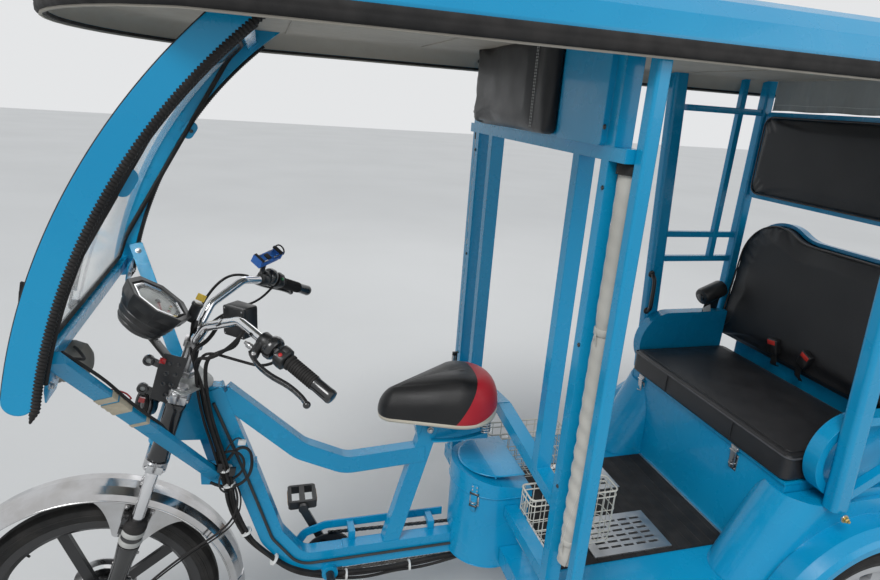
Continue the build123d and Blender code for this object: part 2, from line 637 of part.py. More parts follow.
# Fork: crowns, steerer, stanchions, sliders, axle and bar clamp
BAR_R = 11.0
CLAMP_X = STEM_TOP_X - 12.0
CLAMP_Z = STEM_TOP_Z + 45.0
CLAMP_U, CLAMP_W = steer_local(CLAMP_X, CLAMP_Z)
with BuildPart() as fork:
    for w in (UPPER_CROWN_W, LOWER_CROWN_W):
        with BuildSketch(steer_plane(w)):
            SlotCenterToCenter(2 * LEG_Y, 2 * CROWN_HALF, rotation=90)
        extrude(amount=CROWN_T)
    with BuildSketch(steer_plane(LOWER_CROWN_W)):
        Circle(STEERER_R)
    extrude(amount=UPPER_CROWN_W - LOWER_CROWN_W + 5)
    with BuildSketch(steer_plane(UPPER_CROWN_W)):
        with Locations((CLAMP_U, 0)):
            Circle(18)
    extrude(amount=CLAMP_W - UPPER_CROWN_W - 16)
    with BuildSketch(steer_plane(CLAMP_W - 28)):
        with Locations((CLAMP_U, 0)):
            RectangleRounded(46, 44, 10)
    extrude(amount=28 - BAR_R - RUNNING_GAP)
    for w in (UPPER_CROWN_W, LOWER_CROWN_W):
        with BuildSketch(steer_plane(w)):
            for side in (-1, 1):
                with Locations((0, side * (LEG_Y + CROWN_HALF))):
                    Rectangle(PINCH_GAP, 2 * (CROWN_HALF - STANCHION_R))
        extrude(amount=CROWN_T, mode=Mode.SUBTRACT)
    for side in (-1, 1):
        with BuildSketch(steer_plane(AXLE_W + 20)):
            with Locations((0, side * LEG_Y)):
                Circle(STANCHION_R)
        extrude(amount=UPPER_CROWN_W + CROWN_T + 10 - AXLE_W - 20)
        with BuildSketch(steer_plane(UPPER_CROWN_W + CROWN_T)):
            with Locations((0, side * LEG_Y)):
                RegularPolygon(STANCHION_R + 4, 6)
        extrude(amount=6)
        with BuildSketch(steer_plane(AXLE_W - 22)):
            with Locations((0, side * LEG_Y)):
                Circle(SLIDER_R)
        extrude(amount=SLIDER_H)
        with BuildSketch(steer_plane(AXLE_W - 22)):
            with Locations((AXLE_U / 2, side * LEG_Y)):
                Rectangle(AXLE_U + 36, 26)
        extrude(amount=44)
        for lift in (SLIDER_H - 64, SLIDER_H - 40):
            with BuildSketch(steer_plane(AXLE_W - 22 + lift)):
                with Locations((0, side * LEG_Y)):
                    Circle(SLIDER_R + 4)
            extrude(amount=13)
    with BuildSketch(Plane.XZ):
        with Locations((FRONT_AXLE_X, FRONT_TYRE_R)):
            Circle(AXLE_R)
    extrude(amount=LEG_Y + 26, both=True)
    bridge_low = AXLE_W + sqrt((FENDER_R + RUNNING_GAP) ** 2 - (AXLE_U + 6) ** 2)
    with BuildSketch(steer_plane(bridge_low)):
        with Locations((-10, 0)):
            Rectangle(8, 40)
    extrude(amount=LOWER_CROWN_W - bridge_low + 2)
save(fork.part, "fork")

# Front fender: a rolled band round the tyre with flared ends
with BuildPart() as fender:
    with BuildSketch(radial_plane(FRONT_AXLE_X, FRONT_TYRE_R, 188)):
        with BuildLine():
            edge = FENDER_R - FENDER_DEPTH
            turns = [radians(30 * step) for step in range(7)]
            outside = [(-FENDER_HALF_W * cos(a), edge + FENDER_DEPTH * sin(a)) for a in turns]
            inside = [((FENDER_HALF_W - FENDER_T) * cos(a), edge + (FENDER_DEPTH - FENDER_T) * sin(a))
                      for a in turns]
            Polyline(*outside, *inside, close=True)
        make_face()
    revolve(axis=wheel_axis(FRONT_AXLE_X, FRONT_TYRE_R), revolution_arc=190)
save(fender.part, "front_fender")

# Handlebar, swept back and down to the grips
# half the bar as seen from its clamp: forward, left, up
bar_bends = [(0, 46, 0), (-32, 84, 55), (-110, 156, 95), (-188, 262, 63), (-296, 360, -5)]
BAR_POINTS = [(CLAMP_X + x, y, CLAMP_Z + z) for x, y, z in bar_bends]
with BuildPart() as handlebar:
    mirrored = [(x, -y, z) for x, y, z in reversed(BAR_POINTS)]
    with BuildLine():
        FilletPolyline(*mirrored, *BAR_POINTS, radius=40)
    with BuildSketch(run_plane(mirrored[0], mirrored[1], across=(0, 0, 1))):
        Circle(BAR_R)
    sweep()
save(handlebar.part, "handlebar")

GRIP_R = 16.5
GRIP_LENGTH = 128.0
with BuildPart() as grips:
    for side in (-1, 1):
        end = Vector(BAR_POINTS[4][0], side * BAR_POINTS[4][1], BAR_POINTS[4][2])
        inner = Vector(BAR_POINTS[3][0], side * BAR_POINTS[3][1], BAR_POINTS[3][2])
        tip = end + (end - inner).normalized() * 6
        back = (inner - end).normalized()
        with BuildSketch(Plane(origin=tip, x_dir=(0, 0, 1), z_dir=back)):
            Circle(GRIP_R)
        extrude(amount=GRIP_LENGTH)
        with BuildSketch(Plane(origin=end, x_dir=(0, 0, 1), z_dir=back)):
            Circle(BAR_R + RUNNING_GAP)
        extrude(amount=GRIP_LENGTH + 5, mode=Mode.SUBTRACT)
save(grips.part, "handlebar_grips")

# Switch pods, clamps and brake levers on the bar
with BuildPart() as controls:
    for side in (-1, 1):
        end = Vector(BAR_POINTS[4][0], side * BAR_POINTS[4][1], BAR_POINTS[4][2])
        inner = Vector(BAR_POINTS[3][0], side * BAR_POINTS[3][1], BAR_POINTS[3][2])
        back = (inner - end).normalized()
        start = end + back * (GRIP_LENGTH - 6 + 1)
        pod = Plane(origin=start, x_dir=(1, 0, 0), z_dir=back)
        with BuildSketch(pod):
            RectangleRounded(44, 40, 10)
        extrude(amount=24)
        with BuildSketch(Plane(origin=start, x_dir=(1, 0, 0), z_dir=back)):
            Circle(BAR_R + RUNNING_GAP)
        extrude(amount=30, mode=Mode.SUBTRACT)
        lever_root = start + pod.x_dir * 26 + back * 20
        lever_tip = end + pod.x_dir * 52
        with BuildSketch(Plane(origin=lever_root, x_dir=pod.x_dir, z_dir=lever_tip - lever_root)):
            RectangleRounded(14, 10, 3)
        extrude(amount=(lever_tip - lever_root).length)
save(controls.part, "bar_controls")

# Instrument head in front of the bar, glass toward the rider
POD_R = 78.0
POD_DEPTH = 92.0
HEAD_POD = Plane(origin=(STEM_TOP_X + 125, 0, STEM_TOP_Z + 68), x_dir=(0, 1, 0), z_dir=(-0.62, 0, 0.785))
with BuildPart() as instrument:
    with BuildSketch(Plane(origin=HEAD_POD.origin, x_dir=HEAD_POD.z_dir, z_dir=(0, -1, 0))):
        with BuildLine():
            Polyline((0, 0), (0, POD_R * 0.42), (POD_R * 0.12, POD_R * 0.66), (POD_R * 0.9, POD_R * 0.94),
                     (POD_R * 0.9, POD_R), (POD_DEPTH, POD_R), (POD_DEPTH, 0), close=True)
        make_face()
    revolve(axis=Axis(HEAD_POD.origin, HEAD_POD.z_dir))
    # bracket down to the upper crown
    slant = (58, 0, 116)
    with BuildSketch(steer_plane(UPPER_CROWN_W + CROWN_T)):
        with Locations((24.8, 0)):
            Rectangle(6.4, 44)
    extrude(amount=Vector(*slant).length, dir=slant)
save(instrument.part, "instrument_head")

# Front wheel
HUB_HALF = 44.0
RIM_DEPTH = 32.0
SPOKE_W = 26.0
WEB_T = 16.0
SLOT_H = 24.0
SLOT_L = 46.0
def wheel_rim(x, z, mid_y, rim_r, tyre_w, hub_r, hub_half, bore, spokes, slots=0):
    """Cast wheel: hub, rim ring, and spokes or a slotted web, made round its own axis."""
    with BuildPart() as rim:
        half = tyre_w / 2 - 6
        with BuildSketch(radial_plane(x, z, 90)):
            with BuildLine():
                Polyline((mid_y - half, rim_r), (mid_y - half, rim_r - 20), (mid_y - half + 10, rim_r - RIM_DEPTH),
                         (mid_y + half - 10, rim_r - RIM_DEPTH), (mid_y + half, rim_r - 20), (mid_y + half, rim_r),
                         (mid_y, rim_r - 14), close=True)
            make_face()
            with BuildLine():
                Polyline((mid_y - hub_half, bore), (mid_y - hub_half, hub_r - 8), (mid_y - hub_half + 10, hub_r),
                         (mid_y + hub_half - 10, hub_r), (mid_y + hub_half, hub_r - 8), (mid_y + hub_half, bore),
                         close=True)
            make_face()
        revolve(axis=wheel_axis(x, z))
        with BuildSketch(Plane.XZ.offset(-mid_y)):
            with Locations((x, z)):
                if spokes:
                    with PolarLocations((hub_r + rim_r - 34) / 2, spokes):
                        Rectangle(rim_r - hub_r - 26, SPOKE_W)
                if slots:
                    Circle(rim_r - RIM_DEPTH + 4)
                    Circle(hub_r - 4, mode=Mode.SUBTRACT)
                    with PolarLocations(rim_r - RIM_DEPTH - SLOT_H, slots):
                        Rectangle(SLOT_H, SLOT_L, mode=Mode.SUBTRACT)
        extrude(amount=WEB_T / 2, both=True)
    return rim.part


def tyre_ring(x, z, mid_y, tyre_r, rim_r, tyre_w):
    """Tyre on its rim, rounded over the tread."""
    half = tyre_w / 2
    with BuildPart() as tyre:
        with BuildSketch(radial_plane(x, z, 90)):
            with BuildLine():
                wall = rim_r + 20
                turns = [radians(36 * step) for step in range(6)]
                tread = [(mid_y - half * cos(a), wall + (tyre_r - wall) * sin(a) / sin(turns[2])) for a in turns]
                Polyline((mid_y - half + 6, rim_r + 0.4), *tread, (mid_y + half - 6, rim_r + 0.4),
                         (mid_y, rim_r - 13.6), close=True)
            make_face()
        revolve(axis=wheel_axis(x, z))
    return tyre.part


save(wheel_rim(FRONT_AXLE_X, FRONT_TYRE_R, 0, FRONT_RIM_R, FRONT_TYRE_W, 34, HUB_HALF,
               AXLE_R + RUNNING_GAP, 5), "front_rim")
save(tyre_ring(FRONT_AXLE_X, FRONT_TYRE_R, 0, FRONT_TYRE_R, FRONT_RIM_R, FRONT_TYRE_W), "front_tyre")
for side, name in ((1, "left"), (-1, "right")):
    y = side * TRACK_HALF
    save(wheel_rim(REAR_AXLE_X, REAR_TYRE_R, y, REAR_RIM_R, REAR_TYRE_W, 52, 24,
                   AXLE_R + 5 + RUNNING_GAP, 0, 12), "rear_rim_" + name)
    save(tyre_ring(REAR_AXLE_X, REAR_TYRE_R, y, REAR_TYRE_R, REAR_RIM_R, REAR_TYRE_W), "rear_tyre_" + name)

# Rear axle with motor housing, sprocket, brake drums, and leaf springs
AXLE_TUBE_HALF = TRACK_HALF - 24 - RUNNING_GAP
with BuildPart() as axle:
    with BuildSketch(Plane.XZ):
        with Locations((REAR_AXLE_X, REAR_TYRE_R)):
            Circle(AXLE_TUBE_R)
    extrude(amount=AXLE_TUBE_HALF, both=True)
    with BuildSketch(Plane.XZ):
        with Locations((REAR_AXLE_X, REAR_TYRE_R)):
            Circle(AXLE_R + 5)
    extrude(amount=TRACK_HALF + 24, both=True)
    with BuildSketch(Plane.XZ.offset(-40)):
        with Locations((REAR_AXLE_X, REAR_TYRE_R)):
            Circle(56)
    extrude(amount=-150)
    with BuildSketch(Plane.XZ.offset(-CHAIN_Y - 3)):
        with Locations((REAR_AXLE_X, REAR_TYRE_R)):
            Circle(SPROCKET_R - CHAIN_H / 2 - 0.5)
    extrude(amount=6)
    for side in (-1, 1):
        with BuildSketch(Plane.XZ.offset(-side * (TRACK_HALF - 66))):
            with Locations((REAR_AXLE_X, REAR_TYRE_R)):
                Circle(62)
        extrude(amount=-side * 36)
save(axle.part, "rear_axle")

with BuildPart() as springs:
    for side in (-1, 1):
        with BuildSketch(Plane.XZ.offset(-side * (RAIL_Y - RAIL_W / 2))):
            top = RAIL_TOP_Z - RAIL_H
            seat = REAR_TYRE_R + AXLE_TUBE_R
            for leaf in range(3):
                span = 270 - 70 * leaf
                with BuildLine():
                    drop = 7.0 * leaf
                    lift = (span / 270) ** 2 * (top - RUNNING_GAP - seat - 21)
                    a = (REAR_AXLE_X - span, seat + 21 - drop + lift)
                    m = (REAR_AXLE_X, seat + 21 - drop)
                    b = (REAR_AXLE_X + span, seat + 21 - drop + lift)
                    ThreePointArc(a, m, b)
                    Line(b, (b[0], b[1] - 6.5))
                    ThreePointArc((b[0], b[1] - 6.5), (m[0], m[1] - 6.5), (a[0], a[1] - 6.5))
                    Line((a[0], a[1] - 6.5), a)
                make_face()
            with Locations((REAR_AXLE_X, seat + 9)):
                Rectangle(60, 17)
        extrude(amount=-side * RAIL_W)
save(springs.part, "leaf_springs")

# Crankset: spindle, toothed ring on the right, two arms; the right pedal stands up
CRANK_TILT = 25.0          # right arm, degrees forward of upright
PEDAL_Y = 118.0
ARM_Y = 78.0
ARM_T = 12.0


def crank_end(side):
    """Pedal axle point of one arm; the two arms point opposite ways."""
    a = radians(90 - CRANK_TILT)
    turn = 1 if side < 0 else -1
    return (CRANK_X + turn * CRANK_LENGTH * cos(a), CRANK_Z + turn * CRANK_LENGTH * sin(a))


with BuildPart() as crankset:
    with BuildSketch(Plane.XZ):
        with Locations((CRANK_X, CRANK_Z)):
            Circle(12)
    extrude(amount=ARM_Y + ARM_T, both=True)
    with BuildSketch(Plane.XZ.offset(-CHAIN_Y - 2)):
        with Locations((CRANK_X, CRANK_Z)):
            Circle(CHAINRING_R - CHAIN_H / 2 - 0.6)
            with PolarLocations(CHAINRING_R - 32, 5):
                Circle(13, mode=Mode.SUBTRACT)
    extrude(amount=4)
    for side in (-1, 1):
        px, pz = crank_end(side)
        with BuildSketch(Plane.XZ.offset(-side * ARM_Y)):
            with BuildLine():
                Line((CRANK_X, CRANK_Z), (px, pz))
            trace(line_width=24)
            with Locations((CRANK_X, CRANK_Z)):
                Circle(19)
            with Locations((px, pz)):
                Circle(14)
        extrude(amount=-side * ARM_T)
        with BuildSketch(Plane.XZ.offset(-side * (ARM_Y + ARM_T))):
            with Locations((px, pz)):
                Circle(6)
        extrude(amount=-side * 96)
save(crankset.part, "crankset")

for side, name in ((1, "left"), (-1, "right")):
    px, pz = crank_end(side)
    with BuildPart() as pedal:
        with BuildSketch(Plane.XY.offset(pz)):
            with Locations((px, side * (ARM_Y + ARM_T + 8 + 45))):
                RectangleRounded(86, 88, 10)
                with GridLocations(40, 52, 2, 1):
                    Rectangle(24, 70, mode=Mode.SUBTRACT)
        extrude(amount=13, both=True)
        with BuildSketch(Plane.XZ.offset(-side * (ARM_Y + ARM_T + 4))):
            with Locations((px, pz)):
                Circle(6 + RUNNING_GAP)
        extrude(amount=-side * 120, mode=Mode.SUBTRACT)
    save(pedal.part, "pedal_" + name)

# Chain: one fixed loop from the chainring to the sprocket on the rear axle
chain_run = CRANK_X - REAR_AXLE_X
chain_drop = CRANK_Z - REAR_TYRE_R
chain_slope = atan2(chain_drop, chain_run)
chain_pull = sqrt(chain_run ** 2 + chain_drop ** 2)


def chain_outline(grow):
    """Belt round the ring and the sprocket, grown by the given amount."""
    spread = atan2(CHAINRING_R - SPROCKET_R, chain_pull)
    points = []
    for x, z, r in ((CRANK_X, CRANK_Z, CHAINRING_R + grow), (REAR_AXLE_X, REAR_TYRE_R, SPROCKET_R + grow)):
        up = radians(90) + chain_slope + spread
        low = -radians(90) + chain_slope - spread
        points.append(((x + r * cos(up), z + r * sin(up)), (x + r * cos(low), z + r * sin(low)), x, z, r))
    front, rear = points
    with BuildSketch(Plane.XZ) as belt:
        with BuildLine():
            nose = (front[2] + front[4] * cos(chain_slope), front[3] + front[4] * sin(chain_slope))
            tail = (rear[2] - rear[4] * cos(chain_slope), rear[3] - rear[4] * sin(chain_slope))
            ThreePointArc(front[0], nose, front[1])
            Line(front[1], rear[1])
            ThreePointArc(rear[1], tail, rear[0])
            Line(rear[0], front[0])
        make_face()
    return belt.sketch_local


with BuildPart() as chain:
    with BuildSketch(Plane.XZ.offset(-CHAIN_Y - CHAIN_T / 2)):
        add(chain_outline(CHAIN_H / 2))
        add(chain_outline(-CHAIN_H / 2), mode=Mode.SUBTRACT)
    extrude(amount=CHAIN_T)
save(chain.part, "chain")

# Blue guard bar over the chain, turned down at the front
GUARD_Y = CHAIN_Y - CHAIN_T / 2 - 3
GUARD_Z = LOWER_TUBE_Z + LOWER_TUBE_H / 2 + 22
GUARD_STAYS = (CRANK_X - 320, CRANK_X - 70)
with BuildPart() as chain_guard:
    with BuildSketch(Plane.XZ.offset(-GUARD_Y)):
        with BuildLine():
            FilletPolyline((CRANK_X - 370, GUARD_Z), (CRANK_X + 5, GUARD_Z), (CRANK_X + 68, GUARD_Z - 20),
                           (CRANK_X + 96, GUARD_Z - 62), radius=30)
        trace(line_width=26)
    extrude(amount=5)
    with BuildSketch(Plane.XZ.offset(TUBE_W / 2)):
        for x in GUARD_STAYS:
            with Locations((x, GUARD_Z - 1)):
                Rectangle(20, 18)
    extrude(amount=-GUARD_Y - TUBE_W / 2)
    with BuildSketch(Plane.XY.offset(LOWER_TUBE_Z + LOWER_TUBE_H / 2)):
        for x in GUARD_STAYS:
            with Locations((x, -18)):
                Rectangle(20, 16)
    extrude(amount=GUARD_Z + 8 - LOWER_TUBE_Z - LOWER_TUBE_H / 2)
save(chain_guard.part, "chain_guard")

# Saddle on its base plate
def saddle_plan(grow):
    with BuildSketch() as plan:
        with Locations((SADDLE_REAR_X, 0)):
            Circle(SADDLE_REAR_R + grow)
        with Locations((SADDLE_NOSE_X, 0)):
            Circle(SADDLE_NOSE_R + grow)
        make_hull()
    return plan.sketch


# share of the saddle's height, growth of its outline
saddle_levels = [(0, 0), (0.2, 5), (0.5, 3), (0.75, -8), (0.92, -22), (1.0, -38)]

with BuildPart() as saddle_base:
    with BuildSketch(Plane.XY.offset(SADDLE_BASE_Z)):
        add(saddle_plan(-3))
    extrude(amount=7)
save(saddle_base.part, "saddle_base")
with BuildPart() as saddle:
    for lift, grow in saddle_levels:
        with BuildSketch(Plane.XY.offset(SADDLE_BASE_Z + 7 + lift * SADDLE_H)):
            add(saddle_plan(grow))
    loft(ruled=True)
save(saddle.part, "saddle")

# Tool box behind the mast, D shaped in plan, straddling the spine and the chain
def box_plan(grow):
    with BuildSketch() as plan:
        Circle(BOX_R + grow)
        Rectangle(BOX_R * 2 + 2, BOX_R * 2 + 2, align=(Align.MAX, Align.CENTER), mode=Mode.SUBTRACT)
        with Locations((0, 0)):
            Rectangle(-BOX_REAR_X + grow, 2 * (BOX_R + grow), align=(Align.MAX, Align.CENTER))
    return plan.sketch


HINGE_KNUCKLE = 60.0


def hinge(axis_x, axis_z, places, length, leaf_x, leaf_z):
    """Knuckles on a hinge axis along Y, each with its leaf reaching to the given x."""
    with BuildPart() as knuckles:
        for place in places:
            with BuildSketch(Plane.XZ.offset(-place * (length + RUNNING_GAP) - length / 2)):
                with Locations((axis_x, axis_z)):
                    Circle(HINGE_R)
                with Locations(((axis_x + leaf_x) / 2, leaf_z + HINGE_LEAF / 2)):
                    Rectangle(abs(leaf_x - axis_x), HINGE_LEAF)
            extrude(amount=length)
    return knuckles.part


def box_hinge(places, length, leaf_x, leaf_z):
    return hinge(BOX_REAR_X - LID_OVERHANG - HINGE_R, BOX_TOP_Z, places, length, leaf_x, leaf_z)


with BuildPart() as tool_box:
    with BuildSketch(Plane.XY.offset(BOX_BOTTOM_Z)):
        add(box_plan(0))
    extrude(amount=BOX_TOP_Z - BOX_BOTTOM_Z)
    with BuildSketch(Plane.XY.offset(400)):
        add(box_plan(-BOX_WALL))
    extrude(amount=BOX_TOP_Z - 400, mode=Mode.SUBTRACT)
    with BuildSketch(Plane.YZ.offset(BOX_REAR_X - 5)):
        with Locations(((TUBE_W / 2 + CHAIN_Y - 22) / 2, BOX_BOTTOM_Z)):
            Rectangle(TUBE_W / 2 - CHAIN_Y + 22, 2 * (LOWER_TUBE_Z + LOWER_TUBE_H / 2 + 16 - BOX_BOTTOM_Z))
    extrude(amount=BOX_R - BOX_REAR_X + 10, mode=Mode.SUBTRACT)
    with BuildSketch(Plane.YZ.offset(BOX_REAR_X)):
        with Locations((TUBE_W / 2 - 6, LOWER_TUBE_Z + LOWER_TUBE_H / 2 + 8)):
            Rectangle(12, 16)
    extrude(amount=160)
    add(box_hinge((0,), HINGE_KNUCKLE, BOX_REAR_X + 1, BOX_TOP_Z - HINGE_LEAF - RUNNING_GAP))
save(tool_box.part, "tool_box")

with BuildPart() as tool_lid:
    with BuildSketch(Plane.XY.offset(BOX_TOP_Z)):
        add(box_plan(LID_OVERHANG))
    extrude(amount=70)
    slope_a = (BOX_REAR_X - 10, BOX_TOP_Z + 22)
    slope_b = (BOX_R + 10, BOX_TOP_Z + 62)
    with BuildSketch(Plane.XZ):
        Polygon(slope_a, slope_b, (slope_b[0], BOX_TOP_Z + 120), (slope_a[0], BOX_TOP_Z + 120), align=None)
    extrude(amount=BOX_R + 20, both=True, mode=Mode.SUBTRACT)
    add(box_hinge((-1, 1), HINGE_KNUCKLE, BOX_REAR_X - LID_OVERHANG + 1, BOX_TOP_Z))
save(tool_lid.part, "tool_box_lid")

# Passenger bench: box, lid, cushion
LID_KNUCKLE = 100.0
with BuildPart() as bench_box:
    depth = BENCH_FRONT_X - BENCH_REAR_X
    mid_x = (BENCH_FRONT_X + BENCH_REAR_X) / 2
    with BuildSketch(Plane.XY.offset(FLOOR_Z)):
        with Locations((mid_x, 0)):
            Rectangle(depth, 2 * BENCH_HALF_W)
            Rectangle(depth - 2 * SHEET, 2 * (BENCH_HALF_W - SHEET), mode=Mode.SUBTRACT)
    extrude(amount=BENCH_TOP_Z - FLOOR_Z)
    with BuildSketch(Plane.XY.offset(BENCH_TOP_Z - 5)):
        with Locations((BENCH_REAR_X, 0)):
            Rectangle(LID_HINGE_X - HINGE_R - 1 - BENCH_REAR_X, 2 * BENCH_HALF_W, align=(Align.MIN, Align.CENTER))
    extrude(amount=5)
    add(hinge(LID_HINGE_X, BENCH_TOP_Z, (-2, 0, 2), LID_KNUCKLE, LID_HINGE_X - HINGE_R - 2,
              BENCH_TOP_Z - HINGE_LEAF - RUNNING_GAP))
save(bench_box.part, "bench_box")

BATTERY_L = 340.0
BATTERY_W = 620.0
BATTERY_H = 210.0
with BuildPart() as battery:
    with BuildSketch(Plane.XY.offset(FLOOR_Z)):
        with Locations((mid_x + 20, 0)):
            RectangleRounded(BATTERY_L, BATTERY_W, 12)
    extrude(amount=BATTERY_H)
save(battery.part, "battery_pack")

with BuildPart() as bench_lid:
    with BuildSketch(Plane.XY.offset(BENCH_TOP_Z)):
        with Locations(((BENCH_FRONT_X + 6 + LID_REAR_X) / 2, 0)):
            Rectangle(BENCH_FRONT_X + 6 - LID_REAR_X, 2 * BENCH_HALF_W + 4)
    extrude(amount=LID_T)
    add(hinge(LID_HINGE_X, BENCH_TOP_Z, (-1, 1), LID_KNUCKLE, LID_REAR_X + 2, BENCH_TOP_Z))
save(bench_lid.part, "bench_lid")

with BuildPart() as cushion:
    with BuildSketch(Plane.XY.offset(BENCH_TOP_Z + LID_T)):
        with Locations(((BENCH_FRONT_X + 20 + LID_HINGE_X + 8) / 2, 0)):
            RectangleRounded(BENCH_FRONT_X + 12 - LID_HINGE_X, 2 * CUSHION_HALF_W, 25)
    extrude(amount=CUSHION_H)
    fillet(cushion.faces().sort_by(Axis.Z)[-1].edges(), 18)
save(cushion.part, "bench_cushion")

# Backrest, leaning back, with a hump behind each shoulder
lean = radians(BACK_LEAN)
BACK = Plane(origin=(BACK_X, 0, BACK_Z), x_dir=(0, 1, 0), z_dir=(cos(lean), 0, sin(lean)))


def back_outline(grow, low):
    """Backrest outline in its own plane: two humps joined by a dip, all in tangent arcs."""
    hump_z = BACK_TOP - BACK_HUMP_R
    hump_r = BACK_HUMP_R + grow
    dip_r = 200.0 - grow
    dip = BACK_DIP + grow
    rise = dip + dip_r - hump_z
    reach = sqrt((hump_r + dip_r) ** 2 - rise ** 2)
    dip_y = BACK_HUMP_Y - reach
    share = hump_r / (hump_r + dip_r)
    join = (BACK_HUMP_Y - reach * share, hump_z + rise * share)
    half = BACK_HUMP_Y + hump_r
    join_angle = atan2(join[1] - hump_z, join[0] - BACK_HUMP_Y) / 2
    hump_mid = (BACK_HUMP_Y + hump_r * cos(join_angle), hump_z + hump_r * sin(join_angle))
    dip_angle = (atan2(join[1] - dip - dip_r, join[0] - dip_y) - radians(90)) / 2
    dip_mid = (dip_y + dip_r * cos(dip_angle), dip + dip_r + dip_r * sin(dip_angle))
    with BuildSketch() as back:
        with BuildLine():
            Line((-half, low), (half, low))
            Line((half, low), (half, hump_z))
            ThreePointArc((half, hump_z), hump_mid, join)
            ThreePointArc(join, dip_mid, (dip_y, dip))
            Line((dip_y, dip), (-dip_y, dip))
            ThreePointArc((-dip_y, dip), (-dip_mid[0], dip_mid[1]), (-join[0], join[1]))
            ThreePointArc((-join[0], join[1]), (-hump_mid[0], hump_mid[1]), (-half, hump_z))
            Line((-half, hump_z), (-half, low))
        make_face()
    return back.sketch


with BuildPart() as back_pad:
    with BuildSketch(BACK):
        add(back_outline(0, 0))
    extrude(amount=-BACK_T)
save(back_pad.part, "backrest_pad")

with BuildPart() as back_frame:
    with BuildSketch(BACK.offset(-BACK_T)):
        add(back_outline(13, 0))
    extrude(amount=-BACK_FRAME_T)
    with BuildSketch(BACK.offset(-BACK_T + 22)):
        add(back_outline(13, 40))
        add(back_outline(1, -60), mode=Mode.SUBTRACT)
    extrude(amount=-22)
    foot_x = BENCH_REAR_X
    with BuildSketch(Plane.XY.offset(BENCH_TOP_Z)):
        with Locations((foot_x, 0)):
            Rectangle(22, 2 * BENCH_HALF_W, align=(Align.MIN, Align.CENTER))
    extrude(amount=BACK_Z - BENCH_TOP_Z)
save(back_frame.part, "backrest_frame")

# Side armrests: D shaped shells, dished on the outside
for side, name in ((1, "left"), (-1, "right")):
    with BuildPart() as armrest:
        with BuildSketch(Plane.XZ.offset(-side * ARM_IN_Y)):
            with Locations((ARM_X, ARM_Z)):
                Circle(ARM_R)
            with Locations(((ARM_X + ARM_REAR_X) / 2, (ARM_Z + ARM_R + TUB_TOP_Z) / 2)):
                Rectangle(ARM_X - ARM_REAR_X, ARM_Z + ARM_R - TUB_TOP_Z)
        extrude(amount=-side * ARM_W)
        with BuildSketch(Plane.XZ.offset(-side * (ARM_IN_Y + 10))):
            with Locations((ARM_X, ARM_Z)):
                Circle(ARM_R - 26)
            with Locations(((ARM_X + ARM_REAR_X) / 2 + 13, (ARM_Z + ARM_R + TUB_TOP_Z) / 2)):
                Rectangle(ARM_X - ARM_REAR_X - 26, ARM_Z + ARM_R - TUB_TOP_Z - 52)
        extrude(amount=-side * ARM_W, mode=Mode.SUBTRACT)
    save(armrest.part, "armrest_" + name)

# Rear body sides: rounded leaning nose, tub wall, and fender over the wheel
REAR_FENDER_R = REAR_TYRE_R + 75.0
REAR_LIP_R = REAR_TYRE_R + 30.0
FENDER_OUT_Y = TRACK_HALF + 48.0
for side, name in ((1, "left"), (-1, "right")):
    with BuildPart() as tub:
        with BuildSketch(Plane.XY.offset(FLOOR_Z)):
            with Locations((NOSE_X, side * (TUB_OUT_Y - NOSE_R))):
                Circle(NOSE_R)
            with Locations((NOSE_X, side * (TUB_OUT_Y - NOSE_R))):
                Rectangle(300, 2 * NOSE_R, align=(Align.MAX, Align.CENTER))
        slant = (-NOSE_LEAN, 0, TUB_TOP_Z - FLOOR_Z)
        extrude(amount=Vector(*slant).length, dir=slant)
        with BuildSketch(Plane.XZ.offset(-side * (BENCH_HALF_W + 3))):
            Polygon((NOSE_X - 60, FLOOR_Z), (NOSE_X - NOSE_LEAN, TUB_TOP_Z),
                    (REAR_BODY_X, TUB_TOP_Z), (REAR_BODY_X, FLOOR_Z), align=None)
        extrude(amount=-side * (TUB_OUT_Y - BENCH_HALF_W - 3))
        with BuildSketch(Plane.XY.offset(FLOOR_Z - 1)):
            with Locations((BENCH_FRONT_X + RUNNING_GAP, 0)):
                Rectangle(700, 2 * (BENCH_HALF_W + 3), align=(Align.MAX, Align.CENTER))
        extrude(amount=TUB_TOP_Z - FLOOR_Z + 2, mode=Mode.SUBTRACT)
        with BuildSketch(radial_plane(REAR_AXLE_X, REAR_TYRE_R, 190)):
            with BuildLine():
                out = FENDER_OUT_Y
                rad = 40.0
                Polyline((side * TUB_OUT_Y, REAR_FENDER_R - SHEET), (side * TUB_OUT_Y, REAR_FENDER_R),
                         (side * (out - rad), REAR_FENDER_R))
                Line((side * (out - rad), REAR_FENDER_R), (side * (out - 10), REAR_FENDER_R - 12))
                Polyline((side * (out - 10), REAR_FENDER_R - 12), (side * out, REAR_FENDER_R - 26),
                         (side * out, REAR_LIP_R), (side * (out - SHEET), REAR_LIP_R),
                         (side * (out - SHEET), REAR_FENDER_R - 28), (side * (out - 14), REAR_FENDER_R - 16),
                         (side * (out - rad), REAR_FENDER_R - SHEET), (side * TUB_OUT_Y, REAR_FENDER_R - SHEET))
            make_face()
        revolve(axis=wheel_axis(REAR_AXLE_X, REAR_TYRE_R), revolution_arc=210)
    save(tub.part, "rear_body_" + name)

